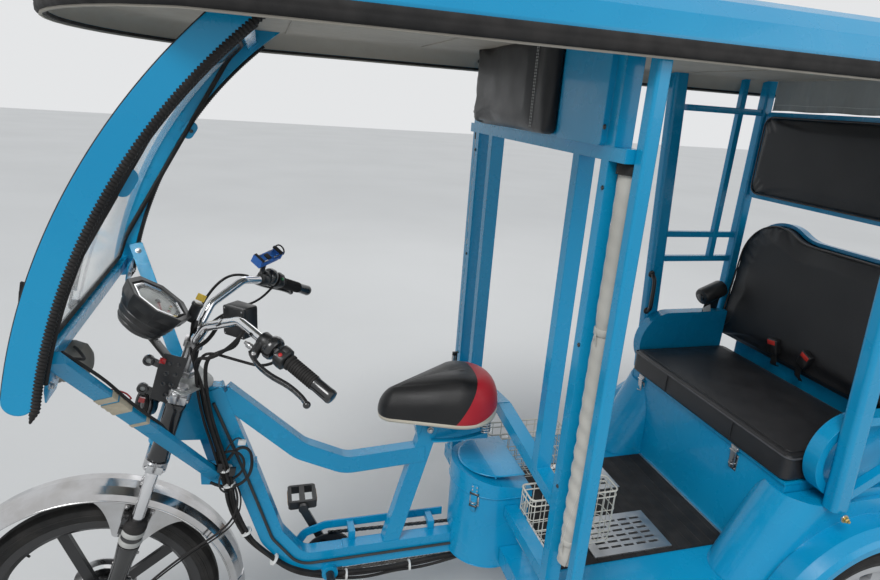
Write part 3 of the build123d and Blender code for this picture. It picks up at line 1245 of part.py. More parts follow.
# Upper rear board in its frame, and the folded curtain above it
BOARD_DROP = 271.0         # rail's foot over the board's middle
BOARD_Z = ROOF_RAIL_Z - BOARD_DROP
BOARD_H = 320.0
BOARD_TOP_Z = BOARD_Z + BOARD_H / 2 + 3
with BuildPart() as board:
    with BuildSketch(Plane.YZ.offset(REAR_POST_X - 8)):
        with Locations((0, BOARD_Z)):
            RectangleRounded(2 * (SIDE_POST_IN_Y - RUNNING_GAP), BOARD_H, 30)
    extrude(amount=16)
save(board.part, "rear_board_frame")
with BuildPart() as board_pad:
    with BuildSketch(Plane.YZ.offset(REAR_POST_X + 8)):
        with Locations((0, BOARD_Z)):
            RectangleRounded(2 * SIDE_POST_IN_Y - 34, BOARD_H - 32, 34)
    extrude(amount=14)
save(board_pad.part, "rear_board_pad")
with BuildPart() as curtain:
    with BuildSketch(Plane.YZ.offset(REAR_POST_X - 8)):
        with Locations((0, (BOARD_TOP_Z + ROOF_RAIL_Z + 30) / 2)):
            RectangleRounded(2 * (ROOF_RAIL_Y - ROOF_RAIL_W / 2 - RUNNING_GAP), ROOF_RAIL_Z + 30 - BOARD_TOP_Z, 10)
    extrude(amount=14)
save(curtain.part, "rear_curtain")

# Rear panel closing the body behind the bench, with two tail lamps
with BuildPart() as rear_panel:
    with BuildSketch(Plane.YZ.offset(REAR_BODY_X + 40)):
        with Locations((0, (FLOOR_Z + TUB_TOP_Z) / 2)):
            Rectangle(2 * BENCH_HALF_W, TUB_TOP_Z - FLOOR_Z)
    extrude(amount=-SHEET * 2)
save(rear_panel.part, "rear_panel")
TAIL_LAMP_W = 56.0
TAIL_LAMP_H = 120.0
with BuildPart() as tail_lamps:
    for side in (-1, 1):
        with BuildSketch(Plane.YZ.offset(REAR_BODY_X)):
            with Locations((side * (TUB_OUT_Y - 36), TUB_TOP_Z - 105)):
                RectangleRounded(TAIL_LAMP_W, TAIL_LAMP_H, 10)
        extrude(amount=-22)
save(tail_lamps.part, "tail_lamps")

# Wire baskets hung behind the partition
WIRE = 3.0
BASKET_L = 282.0
BASKET_W = 80.0
BASKET_H = 182.0
BASKET_Y = BOX_R + 10.0
BASKET_Z = 430.0
with BuildPart() as baskets:
    for side in (-1, 1):
        x0, x1 = -POST - RUNNING_GAP - BASKET_L, -POST - RUNNING_GAP
        y0, y1 = side * BASKET_Y, side * (BASKET_Y + BASKET_W)
        z0, z1 = BASKET_Z, BASKET_Z + BASKET_H
        for z in (z0, (z0 + z1) / 2, z1):
            with BuildSketch(Plane.XY.offset(z - WIRE / 2)):
                with Locations(((x0 + x1) / 2, (y0 + y1) / 2)):
                    Rectangle(x1 - x0, abs(y1 - y0))
                    Rectangle(x1 - x0 - 2 * WIRE, abs(y1 - y0) - 2 * WIRE, mode=Mode.SUBTRACT)
            extrude(amount=WIRE)
        with BuildSketch(Plane.XY.offset(z0)):
            with Locations(((x0 + x1) / 2, (y0 + y1) / 2)):
                with GridLocations((x1 - x0 - WIRE) / 6, abs(y1 - y0) - WIRE, 7, 2):
                    Rectangle(WIRE, WIRE)
                with GridLocations(x1 - x0 - WIRE, (abs(y1 - y0) - WIRE) / 3, 2, 4):
                    Rectangle(WIRE, WIRE)
        extrude(amount=z1 - z0)
        with BuildSketch(Plane.XY.offset(z0 - WIRE / 2)):
            with Locations(((x0 + x1) / 2, (y0 + y1) / 2)):
                with GridLocations((x1 - x0 - WIRE) / 6, 1, 7, 1):
                    Rectangle(WIRE, abs(y1 - y0))
        extrude(amount=WIRE)
save(baskets.part, "wire_baskets")

# Wiring loom clipped along the left face of the spine, from the head tube into the tool box
LOOM_R = 4.0
LOOM_Y = TUBE_W / 2 + LOOM_R + RUNNING_GAP
loom_end = sqrt(BOX_R ** 2 - (LOOM_Y - LOOM_R) ** 2) + RUNNING_GAP
loom_path = [(down_path[0][0] - 9, down_path[0][1] - 33), *down_path[1:4], (loom_end, LOWER_TUBE_Z)]
loom_line = [(x, LOOM_Y, z) for x, z in loom_path]
with BuildPart() as loom:
    with BuildLine():
        FilletPolyline(*loom_line, radius=75)
    with BuildSketch(run_plane(loom_line[0], loom_line[1])):
        Circle(LOOM_R)
    sweep()
save(loom.part, "cable_loom")
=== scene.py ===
import math

import bmesh
import bpy
from mathutils import Matrix, Vector


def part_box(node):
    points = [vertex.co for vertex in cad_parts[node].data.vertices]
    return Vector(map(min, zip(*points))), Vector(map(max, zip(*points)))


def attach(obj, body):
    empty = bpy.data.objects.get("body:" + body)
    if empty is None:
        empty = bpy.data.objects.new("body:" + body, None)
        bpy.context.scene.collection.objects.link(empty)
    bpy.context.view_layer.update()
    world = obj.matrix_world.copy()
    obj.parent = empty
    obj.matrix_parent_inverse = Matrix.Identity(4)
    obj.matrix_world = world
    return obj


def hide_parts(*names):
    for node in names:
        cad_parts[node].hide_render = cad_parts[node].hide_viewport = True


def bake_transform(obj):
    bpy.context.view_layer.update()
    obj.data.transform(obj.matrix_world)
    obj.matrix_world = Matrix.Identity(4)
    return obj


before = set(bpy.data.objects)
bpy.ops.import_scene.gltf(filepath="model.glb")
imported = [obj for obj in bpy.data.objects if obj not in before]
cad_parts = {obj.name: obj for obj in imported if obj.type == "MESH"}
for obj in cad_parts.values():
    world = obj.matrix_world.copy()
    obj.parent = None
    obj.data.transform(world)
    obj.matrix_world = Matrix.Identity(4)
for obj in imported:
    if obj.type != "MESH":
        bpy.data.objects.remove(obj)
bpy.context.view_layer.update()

LEFT = Vector((0, 1, 0))
UP = Vector((0, 0, 1))

# The photograph's camera: place in metres, angles in degrees, focal length and width in pixels
CAMERA_PLACE = (0.67, 1.50, 1.67)
CAMERA_YAW = 17.06
CAMERA_PITCH = 17.61
CAMERA_ROLL = 4.165
FOCAL_PX = 600.0
PHOTO_WIDTH_PX = 880.0
SENSOR_MM = 36.0

# Colours, linear
SKY_BLUE = (0.000, 0.246, 0.468)
SKY_BLUE_WORN = (0.003, 0.275, 0.502)
BLACK = (0.012, 0.012, 0.013)
SOFT_BLACK = (0.022, 0.021, 0.021)
LEATHER_BLACK = (0.0125, 0.0125, 0.0135)
LEATHER_BROWN = (0.021, 0.0205, 0.0215)
RUBBER = (0.011, 0.0105, 0.0105)
RUBBER_DUST = (0.024, 0.022, 0.021)
STEEL = (0.52, 0.52, 0.53)
CHROME = (0.78, 0.78, 0.79)
ALLOY = (0.62, 0.63, 0.64)
CREAM = (0.60, 0.55, 0.45)
LINING = (0.36, 0.33, 0.28)
CURTAIN_GREY = (0.33, 0.34, 0.33)
RED = (0.42, 0.012, 0.022)


# Materials

def link(tree, source, target):
    """Joins an output to an input."""
    tree.links.new(source, target)


def add_node(tree, kind, **inputs):
    """A node with some of its inputs set by name."""
    made = tree.nodes.new(kind)
    for key, value in inputs.items():
        made.inputs[key.replace("_", " ")].default_value = value
    return made


def maths(tree, operation, first, second=0.0):
    """One step of arithmetic; a number or a socket in each place."""
    step = tree.nodes.new("ShaderNodeMath")
    step.operation = operation
    for socket, value in zip(step.inputs, (first, second)):
        if isinstance(value, (int, float)):
            socket.default_value = value
        else:
            link(tree, value, socket)
    return step.outputs["Value"]


def noise_value(tree, scale, detail=3.0, stretch=(1, 1, 1)):
    """Noise in the object's own coordinates, which are the vehicle's."""
    where = add_node(tree, "ShaderNodeTexCoord")
    fit = add_node(tree, "ShaderNodeMapping")
    fit.inputs["Scale"].default_value = stretch
    pattern = add_node(tree, "ShaderNodeTexNoise", Scale=scale, Detail=detail)
    link(tree, where.outputs["Object"], fit.inputs["Vector"])
    link(tree, fit.outputs["Vector"], pattern.inputs["Vector"])
    return pattern.outputs["Fac"]


def spread(tree, value, low, high, from_low=0.3, from_high=0.7):
    """The value mapped to a range."""
    fit = add_node(tree, "ShaderNodeMapRange")
    for key, number in (("From Min", from_low), ("From Max", from_high), ("To Min", low), ("To Max", high)):
        fit.inputs[key].default_value = number
    link(tree, value, fit.inputs["Value"])
    return fit.outputs["Result"]


def mixed(tree, share, first, second):
    """Two colours or sockets mixed by a share."""
    mix = tree.nodes.new("ShaderNodeMix")
    mix.data_type = "RGBA"
    link(tree, share, mix.inputs["Factor"])
    for socket, value in ((mix.inputs[6], first), (mix.inputs[7], second)):
        if hasattr(value, "links"):
            link(tree, value, socket)
        else:
            socket.default_value = (*value, 1.0)
    return mix.outputs[2]


def surface(name, base, second, patch=9.0, rough=(0.3, 0.42), rough_scale=30.0, metallic=0.0, coat=0.0,
            bump_scale=0.0, bump_height=0.0, edge=0.0, sheen=0.0, specular=0.5, patch_range=(0.35, 0.7)):
    """A finish with patches of a second colour, uneven gloss, a fine bump and softened edges."""
    made = bpy.data.materials.new(name)
    made.use_nodes = True
    tree = made.node_tree
    shader = tree.nodes["Principled BSDF"]
    share = spread(tree, noise_value(tree, patch, 5.0), 0.0, 1.0, *patch_range)
    link(tree, mixed(tree, share, base, second), shader.inputs["Base Color"])
    link(tree, spread(tree, noise_value(tree, rough_scale, 4.0), *rough), shader.inputs["Roughness"])
    shader.inputs["Metallic"].default_value = metallic
    shader.inputs["Coat Weight"].default_value = coat
    shader.inputs["Coat Roughness"].default_value = 0.06
    shader.inputs["Sheen Weight"].default_value = sheen
    shader.inputs["Specular IOR Level"].default_value = specular
    normal = None
    if edge:
        bevel = add_node(tree, "ShaderNodeBevel", Radius=edge)
        bevel.samples = 4
        normal = bevel.outputs["Normal"]
    if bump_scale:
        bump = add_node(tree, "ShaderNodeBump", Strength=1.0, Distance=bump_height)
        link(tree, noise_value(tree, bump_scale, 2.0), bump.inputs["Height"])
        if normal:
            link(tree, normal, bump.inputs["Normal"])
        normal = bump.outputs["Normal"]
    if normal:
        link(tree, normal, shader.inputs["Normal"])
    return made


def raised(made, height, strength, distance):
    """The finish with its surface raised by the height."""
    tree = made.node_tree
    bump = add_node(tree, "ShaderNodeBump", Strength=strength, Distance=distance)
    link(tree, height, bump.inputs["Height"])
    link(tree, bump.outputs["Normal"], tree.nodes["Principled BSDF"].inputs["Normal"])
    return made


def leather(name, base, second, grain=420.0, height=0.00035):
    """Leatherette: a cell grain, soft gloss and wear patches."""
    made = surface(name, base, second, patch=7.0, rough=(0.28, 0.44), rough_scale=14.0, sheen=0.02,
                   specular=0.38)
    tree = made.node_tree
    where = add_node(tree, "ShaderNodeTexCoord")
    cells = add_node(tree, "ShaderNodeTexVoronoi", Scale=grain)
    cells.feature = "DISTANCE_TO_EDGE"
    link(tree, where.outputs["Object"], cells.inputs["Vector"])
    return raised(made, spread(tree, cells.outputs["Distance"], 0.0, 1.0, 0.0, 0.25), 0.5, height)


def woven(name, base, second, threads=900.0, height=0.0002):
    """Coated cloth with a fine square weave."""
    made = surface(name, base, second, patch=5.0, rough=(0.55, 0.75), sheen=0.2)
    tree = made.node_tree
    where = add_node(tree, "ShaderNodeTexCoord")
    waves = []
    for axis in ("X", "Z"):
        wave = add_node(tree, "ShaderNodeTexWave", Scale=threads / math.tau)
        wave.bands_direction = axis
        link(tree, where.outputs["Object"], wave.inputs["Vector"])
        waves.append(wave.outputs["Fac"])
    return raised(made, maths(tree, "ADD", *waves), 0.4, height)


# Wheel centre, and the radii where the tyre's side ribs and its tread begin
FRONT_WHEEL = (1.120, 0.305, 0.262, 0.296)
REAR_WHEEL = (-0.985, 0.270, 0.222, 0.261)
TREAD_BLOCKS = 88.0
TREAD_LANE = 0.015
TREAD_DEPTH = 0.0022
WALL_RING = 0.0042


def tyre_rubber(name, wheel):
    """Black rubber with fine rings on the wall and blocks and grooves on the tread."""
    centre_x, centre_z, wall, tread = wheel
    made = surface(name, (0.010, 0.0098, 0.0098), (0.026, 0.024, 0.022), patch=12.0,
                   rough=(0.6, 0.8), specular=0.3)
    tree = made.node_tree

    def step(operation, first, second=0.0):
        return maths(tree, operation, first, second)

    place = add_node(tree, "ShaderNodeSeparateXYZ")
    link(tree, add_node(tree, "ShaderNodeTexCoord").outputs["Object"], place.inputs["Vector"])
    x = step("SUBTRACT", place.outputs["X"], centre_x)
    z = step("SUBTRACT", place.outputs["Z"], centre_z)
    radius = step("SQRT", step("ADD", step("MULTIPLY", x, x), step("MULTIPLY", z, z)))
    on_wall = step("MULTIPLY", step("GREATER_THAN", radius, wall + 0.012),
                   step("LESS_THAN", radius, tread - 0.008))
    rings = step("MULTIPLY", step("SINE", step("MULTIPLY", radius, math.tau / WALL_RING)), on_wall)
    blocks = step("SINE", step("MULTIPLY", step("ARCTAN2", z, x), TREAD_BLOCKS))
    lanes = step("SINE", step("MULTIPLY", place.outputs["Y"], math.tau / TREAD_LANE))
    cut = step("MINIMUM", step("GREATER_THAN", blocks, -0.72), step("GREATER_THAN", lanes, -0.80))
    on_tread = step("GREATER_THAN", radius, tread)
    height = step("ADD", step("MULTIPLY", rings, 0.25), step("MULTIPLY", cut, on_tread))
    return raised(made, height, 1.0, TREAD_DEPTH)


def clear_glass(name, tint, rough=0.02):
    """Thin clear glazing."""
    made = bpy.data.materials.new(name)
    made.use_nodes = True
    tree = made.node_tree
    shader = tree.nodes["Principled BSDF"]
    shader.inputs["Base Color"].default_value = (*tint, 1.0)
    shader.inputs["Transmission Weight"].default_value = 1.0
    shader.inputs["IOR"].default_value = 1.05
    shader.inputs["Alpha"].default_value = 0.35
    link(tree, spread(tree, noise_value(tree, 6.0), rough, rough + 0.05), shader.inputs["Roughness"])
    return made


# Every finish on the vehicle, by a plain name
FINISHES = {
    "blue": surface("blue_paint", SKY_BLUE, SKY_BLUE_WORN, patch=3.0, rough=(0.22, 0.34),
                    rough_scale=12.0, coat=0.25, bump_scale=90.0, bump_height=0.00012, edge=0.003,
                    specular=0.35),
    "black": surface("black_paint", BLACK, SOFT_BLACK, rough=(0.28, 0.42), coat=0.2, edge=0.0015),
    "plastic": surface("black_plastic", SOFT_BLACK, (0.035, 0.034, 0.033), rough=(0.42, 0.58),
                       bump_scale=600.0, bump_height=0.00012, edge=0.0015),
    "rubber": surface("rubber", RUBBER, RUBBER_DUST, patch=20.0, rough=(0.62, 0.8), bump_scale=300.0,
                      bump_height=0.0002, specular=0.3),
    "tyre": tyre_rubber("front_tyre_rubber", FRONT_WHEEL),
    "tyre_rear": tyre_rubber("rear_tyre_rubber", REAR_WHEEL),
    "steel": surface("steel", STEEL, (0.40, 0.39, 0.38), rough=(0.22, 0.4), metallic=1.0, edge=0.001),
    "chrome": surface("chrome", CHROME, (0.70, 0.70, 0.71), rough=(0.06, 0.16), rough_scale=9.0,
                      metallic=1.0),
    "stainless": surface("stainless", (0.60, 0.60, 0.61), (0.47, 0.46, 0.45), patch=14.0,
                         rough=(0.10, 0.22), rough_scale=16.0, metallic=1.0, bump_scale=7.0,
                         bump_height=0.004),
    "alloy": surface("bright_alloy", ALLOY, (0.48, 0.48, 0.48), rough=(0.3, 0.5), metallic=1.0, edge=0.001),
    "grey_rim": surface("grey_rim", (0.45, 0.46, 0.47), (0.36, 0.37, 0.38), rough=(0.35, 0.5),
                        metallic=0.4, edge=0.0015),
    "leather": leather("leatherette", LEATHER_BLACK, LEATHER_BROWN),
    "vinyl_red": leather("vinyl_red", RED, (0.36, 0.010, 0.018)),
    "vinyl_black": leather("vinyl_black", (0.0055, 0.0055, 0.0062), (0.011, 0.0105, 0.0105)),
    "lining": surface("roof_lining", LINING, (0.30, 0.275, 0.235), patch=4.0, rough=(0.6, 0.8),
                      bump_scale=120.0, bump_height=0.0006),
    "curtain": woven("grey_curtain", CURTAIN_GREY, (0.27, 0.28, 0.27)),
    "cream_cloth": woven("cream_cloth", (0.44, 0.425, 0.385), (0.33, 0.32, 0.285)),
    "cream": surface("cream_plastic", CREAM, (0.50, 0.44, 0.35), rough=(0.4, 0.55)),
    "cream_wire": surface("cream_wire", (0.62, 0.60, 0.53), (0.50, 0.47, 0.40), patch=40.0,
                          rough=(0.35, 0.5)),
    "glass": clear_glass("clear_glass", (0.93, 0.97, 0.96)),
    "red_lamp": surface("red_lamp", (0.35, 0.01, 0.01), (0.28, 0.008, 0.008), rough=(0.08, 0.16), coat=0.6),
    "brass": surface("brass", (0.62, 0.47, 0.20), (0.52, 0.38, 0.15), rough=(0.25, 0.4), metallic=1.0),
    "cast_grey": surface("cast_grey", (0.40, 0.41, 0.40), (0.33, 0.34, 0.33), patch=30.0,
                         rough=(0.45, 0.6), metallic=0.35, bump_scale=400.0, bump_height=0.0002,
                         edge=0.001),
    "seal_grey": surface("seal_grey", (0.42, 0.42, 0.40), (0.33, 0.33, 0.31), patch=30.0,
                         rough=(0.45, 0.6)),
    "chain_steel": surface("chain_steel", (0.16, 0.15, 0.14), (0.08, 0.075, 0.07), patch=60.0,
                           rough=(0.3, 0.45), metallic=1.0),
    "lamp_grey": surface("lamp_grey", (0.135, 0.130, 0.112), (0.175, 0.165, 0.145), patch=25.0,
                         rough=(0.5, 0.7), bump_scale=200.0, bump_height=0.0002),
    "buckle_red": surface("buckle_red", (0.60, 0.035, 0.025), (0.50, 0.028, 0.020), rough=(0.3, 0.45)),
    "white_tag": surface("white_tag", (0.70, 0.70, 0.68), (0.60, 0.60, 0.58), rough=(0.4, 0.6)),
    "tape": surface("tape", (0.52, 0.46, 0.34), (0.44, 0.38, 0.28), patch=60.0, rough=(0.55, 0.7),
                    bump_scale=220.0, bump_height=0.0003),
    "red_wire": surface("red_wire", (0.45, 0.02, 0.02), (0.35, 0.015, 0.015), rough=(0.35, 0.5)),
    "piping": surface("grey_piping", (0.060, 0.060, 0.064), (0.040, 0.040, 0.043), patch=40.0,
                      rough=(0.4, 0.55)),
    "piping_dark": surface("dark_piping", (0.05, 0.042, 0.038), (0.035, 0.03, 0.028), patch=40.0,
                           rough=(0.4, 0.55)),
    "plastic_dark": surface("dark_plastic", (0.010, 0.010, 0.011), (0.020, 0.020, 0.020), patch=30.0,
                            rough=(0.30, 0.46), bump_scale=700.0, bump_height=0.0001, edge=0.001),
    "gloss_black": surface("gloss_black", (0.014, 0.014, 0.015), (0.024, 0.024, 0.024),
                           rough=(0.12, 0.24), coat=0.4),
    "dial": surface("dial_face", (0.030, 0.034, 0.030), (0.045, 0.048, 0.042), rough=(0.5, 0.6)),
    "green_lens": surface("green_lens", (0.02, 0.22, 0.06), (0.015, 0.17, 0.05), rough=(0.1, 0.2),
                          coat=0.5),
    "amber_lens": surface("amber_lens", (0.55, 0.22, 0.02), (0.45, 0.18, 0.015), rough=(0.1, 0.2),
                          coat=0.5),
    "amber_plastic": surface("amber_plastic", (0.60, 0.42, 0.05), (0.50, 0.34, 0.04), rough=(0.35, 0.5)),
    "blue_plastic": surface("blue_plastic", (0.028, 0.150, 0.520), (0.022, 0.120, 0.430),
                            rough=(0.3, 0.45), edge=0.001),
}

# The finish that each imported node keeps
NODE_FINISH = {"blue": ["main_frame", "rear_chassis", "floor_plate", "partition_frame", "partition_head_box",
                        "cabin_frame_left", "cabin_frame_right", "roof_shell", "windscreen_frame",
                        "windscreen_struts", "chain_guard", "tool_box", "tool_box_lid", "bench_box",
                        "bench_lid", "backrest_frame", "armrest_left", "armrest_right", "rear_body_left",
                        "rear_body_right", "rear_board_frame", "rear_panel"],
               "black": ["wiper", "rear_axle", "leaf_springs", "crankset", "front_rim"],
               "plastic": ["cable_loom", "bar_controls", "instrument_head", "pedal_left", "pedal_right",
                           "battery_pack"], "rubber": ["floor_mat", "roof_edge_trim", "handlebar_grips"],
               "tyre": ["front_tyre"], "tyre_rear": ["rear_tyre_left", "rear_tyre_right"],
               "steel": ["fork", "chain"], "chrome": ["handlebar"], "stainless": ["front_fender"],
               "alloy": ["foot_grates"], "grey_rim": ["rear_rim_left", "rear_rim_right"],
               "leather": ["head_pad", "bench_cushion", "backrest_pad", "rear_board_pad"],
               "vinyl_black": ["saddle"], "lining": ["roof_lining"], "curtain": ["rear_curtain"],
               "cream_cloth": ["side_curtains"], "cream": ["saddle_base"], "cream_wire": ["wire_baskets"],
               "glass": ["windscreen_glass"], "red_lamp": ["tail_lamps"], "lamp_grey": ["front_lamp"], }


def finish_nodes():
    """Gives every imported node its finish."""
    for finish, names in NODE_FINISH.items():
        for name in names:
            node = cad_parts.get(name)
            if node is None:
                continue
            node.data.materials.clear()
            node.data.materials.append(FINISHES[finish])


finish_nodes()


# Camera, floor and light

FLOOR_REACH = 30.0
SUN_PLACE = (3.0, 3.2, 5.0)
SUN_SPREAD_DEG = 24.0


def placed(name, data):
    """A new object of the scene with the given data."""
    made = bpy.data.objects.new(name, data)
    bpy.context.scene.collection.objects.link(made)
    return made


def make_camera():
    """Camera at the photograph's place and angle."""
    yaw, pitch, roll = (math.radians(a) for a in (CAMERA_YAW, CAMERA_PITCH, CAMERA_ROLL))
    level = Vector((-math.sin(yaw), -math.cos(yaw), 0))
    forward = level * math.cos(pitch) - UP * math.sin(pitch)
    flat_right = level.cross(UP)
    flat_up = flat_right.cross(forward)
    right = flat_right * math.cos(roll) + flat_up * math.sin(roll)
    up = flat_up * math.cos(roll) - flat_right * math.sin(roll)
    data = bpy.data.cameras.new("photo_camera")
    data.sensor_width = SENSOR_MM
    data.lens = SENSOR_MM * FOCAL_PX / PHOTO_WIDTH_PX
    data.clip_start = 0.01
    camera = placed("photo_camera", data)
    turn = Matrix((right, up, -forward)).transposed()
    camera.matrix_world = Matrix.Translation(CAMERA_PLACE) @ turn.to_4x4()
    bpy.context.scene.camera = camera


def lamp(name, kind, place, target, **settings):
    """A lamp of the given kind, aimed at a point."""
    data = bpy.data.lights.new(name, kind)
    for setting, value in settings.items():
        setattr(data, setting, value)
    made = placed(name, data)
    made.location = place
    made.rotation_euler = (Vector(target) - Vector(place)).to_track_quat("-Z", "Y").to_euler()


def pale_background(tree, colour, lit_colour):
    """The pale colour for camera, glossy and transmission rays, and the other for light on the object."""
    path = tree.nodes.new("ShaderNodeLightPath")
    total = path.outputs["Is Camera Ray"]
    for other in ("Is Glossy Ray", "Is Transmission Ray"):
        total = maths(tree, "MAXIMUM", total, path.outputs[other])
    return mixed(tree, total, lit_colour, colour)


def make_stage():
    """Plain pale floor and soft daylight."""
    mesh = bpy.data.meshes.new("floor")
    corners = [(x * FLOOR_REACH, y * FLOOR_REACH, 0) for x, y in ((-1, -1), (1, -1), (1, 1), (-1, 1))]
    mesh.from_pydata(corners, [], [(0, 1, 2, 3)])
    floor = placed("floor", mesh)
    pale = surface("pale_floor", (0.58, 0.58, 0.57), (0.55, 0.55, 0.54), patch=0.6, rough=(0.75, 0.85))
    mesh.materials.append(pale)
    world = bpy.data.worlds.new("daylight")
    world.use_nodes = True
    bpy.context.scene.world = world
    tree = world.node_tree
    sky = tree.nodes["Background"]
    link(tree, pale_background(tree, (0.78, 0.79, 0.80), (0.50, 0.53, 0.57)), sky.inputs["Color"])
    sky.inputs["Strength"].default_value = 1.0
    lamp("key", "AREA", SUN_PLACE, (0, 0, 0.6), size=3.0, energy=34)
    lamp("fill", "AREA", (-3.5, 4.0, 3.0), (-0.4, 0, 0.7), size=3.0, energy=36)
    lamp("back", "AREA", (-1.0, -5.0, 4.0), (0, 0, 0.8), size=3.5, energy=34)
    lamp("daylight", "SUN", SUN_PLACE, (0, 0, 0), angle=math.radians(SUN_SPREAD_DEG), energy=1.75)
    bpy.context.scene.view_settings.view_transform = "Standard"


make_camera()
make_stage()


# Mesh building

STEERED = "steering"
FRAME = "frame"
SIDE_NAME = {1: "left", -1: "right"}
CORNERS = ((1, 1), (-1, 1), (-1, -1), (1, -1))


def upright(angle):
    """Direction in the vehicle's middle plane, turned up from straight ahead; angle in radians."""
    return Vector((math.cos(angle), 0, math.sin(angle)))


def across(direction, hint=(0, 0, 1)):
    """Two directions square to the given one, the second of them nearest the hint."""
    along = Vector(direction).normalized()
    side = Vector(hint).cross(along)
    if side.length < 1e-4:
        side = Vector((1, 0, 0)).cross(along)
    side.normalize()
    return side, along.cross(side)


def rounded(points, steps=6, loop=False):
    """A smooth line through the points."""
    found = [Vector(p) for p in points]
    count = len(found)
    line = []
    for i in range(count if loop else count - 1):
        before = found[i - 1] if loop or i else found[i]
        start, end = found[i], found[(i + 1) % count]
        after = found[(i + 2) % count] if loop or i + 2 < count else end
        for step in range(steps):
            t = step / steps
            line.append(0.5 * (2 * start + (end - before) * t
                               + (2 * before - 5 * start + 4 * end - after) * t ** 2
                               + (3 * start - before - 3 * end + after) * t ** 3))
    if not loop:
        line.append(found[-1])
    return line


def ring_path(centre, right, up, half_right, half_up, corner, steps=5):
    """Rounded rectangle in the plane of two directions, as a closed line."""
    centre, right, up = Vector(centre), Vector(right), Vector(up)
    line = []
    for turn, (a, b) in enumerate(CORNERS):
        for step in range(steps + 1):
            angle = math.radians(90 * (turn + step / steps))
            line.append(centre + right * (a * (half_right - corner) + corner * math.cos(angle))
                        + up * (b * (half_up - corner) + corner * math.sin(angle)))
    return line


class Shape:
    """A mesh gathered from simple forms, made into one piece at the end."""

    def __init__(self):
        self.mesh = bmesh.new()
        self.finishes = []

    def slot(self, finish):
        """Number of the finish among those of this piece."""
        if finish not in self.finishes:
            self.finishes.append(finish)
        return self.finishes.index(finish)

    def rings(self, rings, finish, close=True, cap=True, loop=False):
        """Faces from ring to ring; close joins the ends of each, cap fills the first and last."""
        slot = self.slot(finish)
        rows = [[self.mesh.verts.new(p) for p in ring] for ring in rings]
        count = len(rows[0])
        pairs = list(zip(rows, rows[1:]))
        if loop:
            pairs.append((rows[-1], rows[0]))
        for first, second in pairs:
            for i in range(count if close else count - 1):
                j = (i + 1) % count
                self.mesh.faces.new((first[i], first[j], second[j], second[i])).material_index = slot
        if cap and close and not loop:
            self.mesh.faces.new(rows[0][::-1]).material_index = slot
            self.mesh.faces.new(rows[-1]).material_index = slot

    def tube(self, path, radius, finish, sides=10, loop=False):
        """Round bar along a line; radius is a number or a function of the share of its length."""
        points = [Vector(p) for p in path]
        count = len(points)
        side = None
        rings = []
        for i, point in enumerate(points):
            ahead = points[(i + 1) % count] if loop or i + 1 < count else point
            back = points[i - 1] if loop or i else point
            along = (ahead - back).normalized()
            if side is None:
                side, up = across(along)
            side = (side - along * side.dot(along)).normalized()
            up = along.cross(side)
            size = radius(i / (count - 1)) if callable(radius) else radius
            rings.append([point + (side * math.cos(a) + up * math.sin(a)) * size
                          for a in (math.tau * k / sides for k in range(sides))])
        self.rings(rings, finish, loop=loop)

    def turned(self, origin, axis, profile, finish, sides=24, hint=(0, 0, 1)):
        """Turned form from places along the axis and their radii."""
        origin, along = Vector(origin), Vector(axis).normalized()
        side, up = across(along, hint)
        self.rings([[origin + along * place + (side * math.cos(a) + up * math.sin(a)) * max(size, 1e-5)
                     for a in (math.tau * (k + 0.5) / sides for k in range(sides))]
                    for place, size in profile], finish)

    def block(self, centre, size, finish, axes=((1, 0, 0), (0, 1, 0), (0, 0, 1))):
        """Box with its own axes."""
        centre = Vector(centre)
        x, y, z = (Vector(axis).normalized() * length / 2 for axis, length in zip(axes, size))
        rings = [[centre + z * k + x * a + y * b for a, b in CORNERS] for k in (-1, 1)]
        self.rings(rings, finish)

    def plate(self, outline, depth, finish):
        """Plate of an outline in space, thickened by the given vector."""
        depth = Vector(depth)
        self.rings([[Vector(p) + depth * k for p in outline] for k in (0, 1)], finish)

    def strap(self, path, width, thick, finish):
        """Flat band along a line; width is the vector across it."""
        half = Vector(width) / 2
        points = [Vector(p) for p in path]
        rings = []
        for i, point in enumerate(points):
            along = points[min(i + 1, len(points) - 1)] - points[max(i - 1, 0)]
            up = along.cross(half).normalized() * thick / 2
            rings.append([point + half + up, point - half + up, point - half - up, point + half - up])
        self.rings(rings, finish)

    def drum(self, place, axis, radius, long, finish, sides=24):
        """Plain round disc or bar."""
        self.turned(place, axis, ((0, radius), (long, radius)), finish, sides)

    def bolt(self, place, axis, size, finish):
        """Hexagon head on its washer; size is the radius of the washer."""
        self.turned(place, axis, ((0, size), (size * 0.22, size), (size * 0.22, size * 0.8)), finish, 20)
        self.turned(place, axis, ((0, size * 0.76), (size * 0.8, size * 0.76), (size * 0.95, size * 0.6)),
                    finish, 6)

    def screw(self, place, axis, size, finish):
        """Low round head."""
        self.turned(place, axis, ((0, size), (size * 0.35, size * 0.92), (size * 0.6, size * 0.55),
                                  (size * 0.5, size * 0.2)), finish, 14)

    def done(self, name, body, bevel=0.0, smooth=40, replaces=()):
        """Makes the piece and gives it to its body."""
        bmesh.ops.recalc_face_normals(self.mesh, faces=self.mesh.faces)
        mesh = bpy.data.meshes.new(name)
        self.mesh.to_mesh(mesh)
        self.mesh.free()
        for finish in self.finishes:
            mesh.materials.append(FINISHES[finish])
        piece = placed(name, mesh)
        mesh.polygons.foreach_set("use_smooth", [True] * len(mesh.polygons))
        if bevel:
            edges = piece.modifiers.new("edges", "BEVEL")
            edges.width = bevel
            edges.segments = 2
            edges.angle_limit = math.radians(smooth)
            edges.use_clamp_overlap = True
        else:
            mesh.set_sharp_from_angle(angle=math.radians(smooth))
        if body:
            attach(piece, body)
        if replaces:
            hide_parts(*replaces)
        return piece


# Soft goods

VOXEL = 0.006
SIM_FRAMES = 20


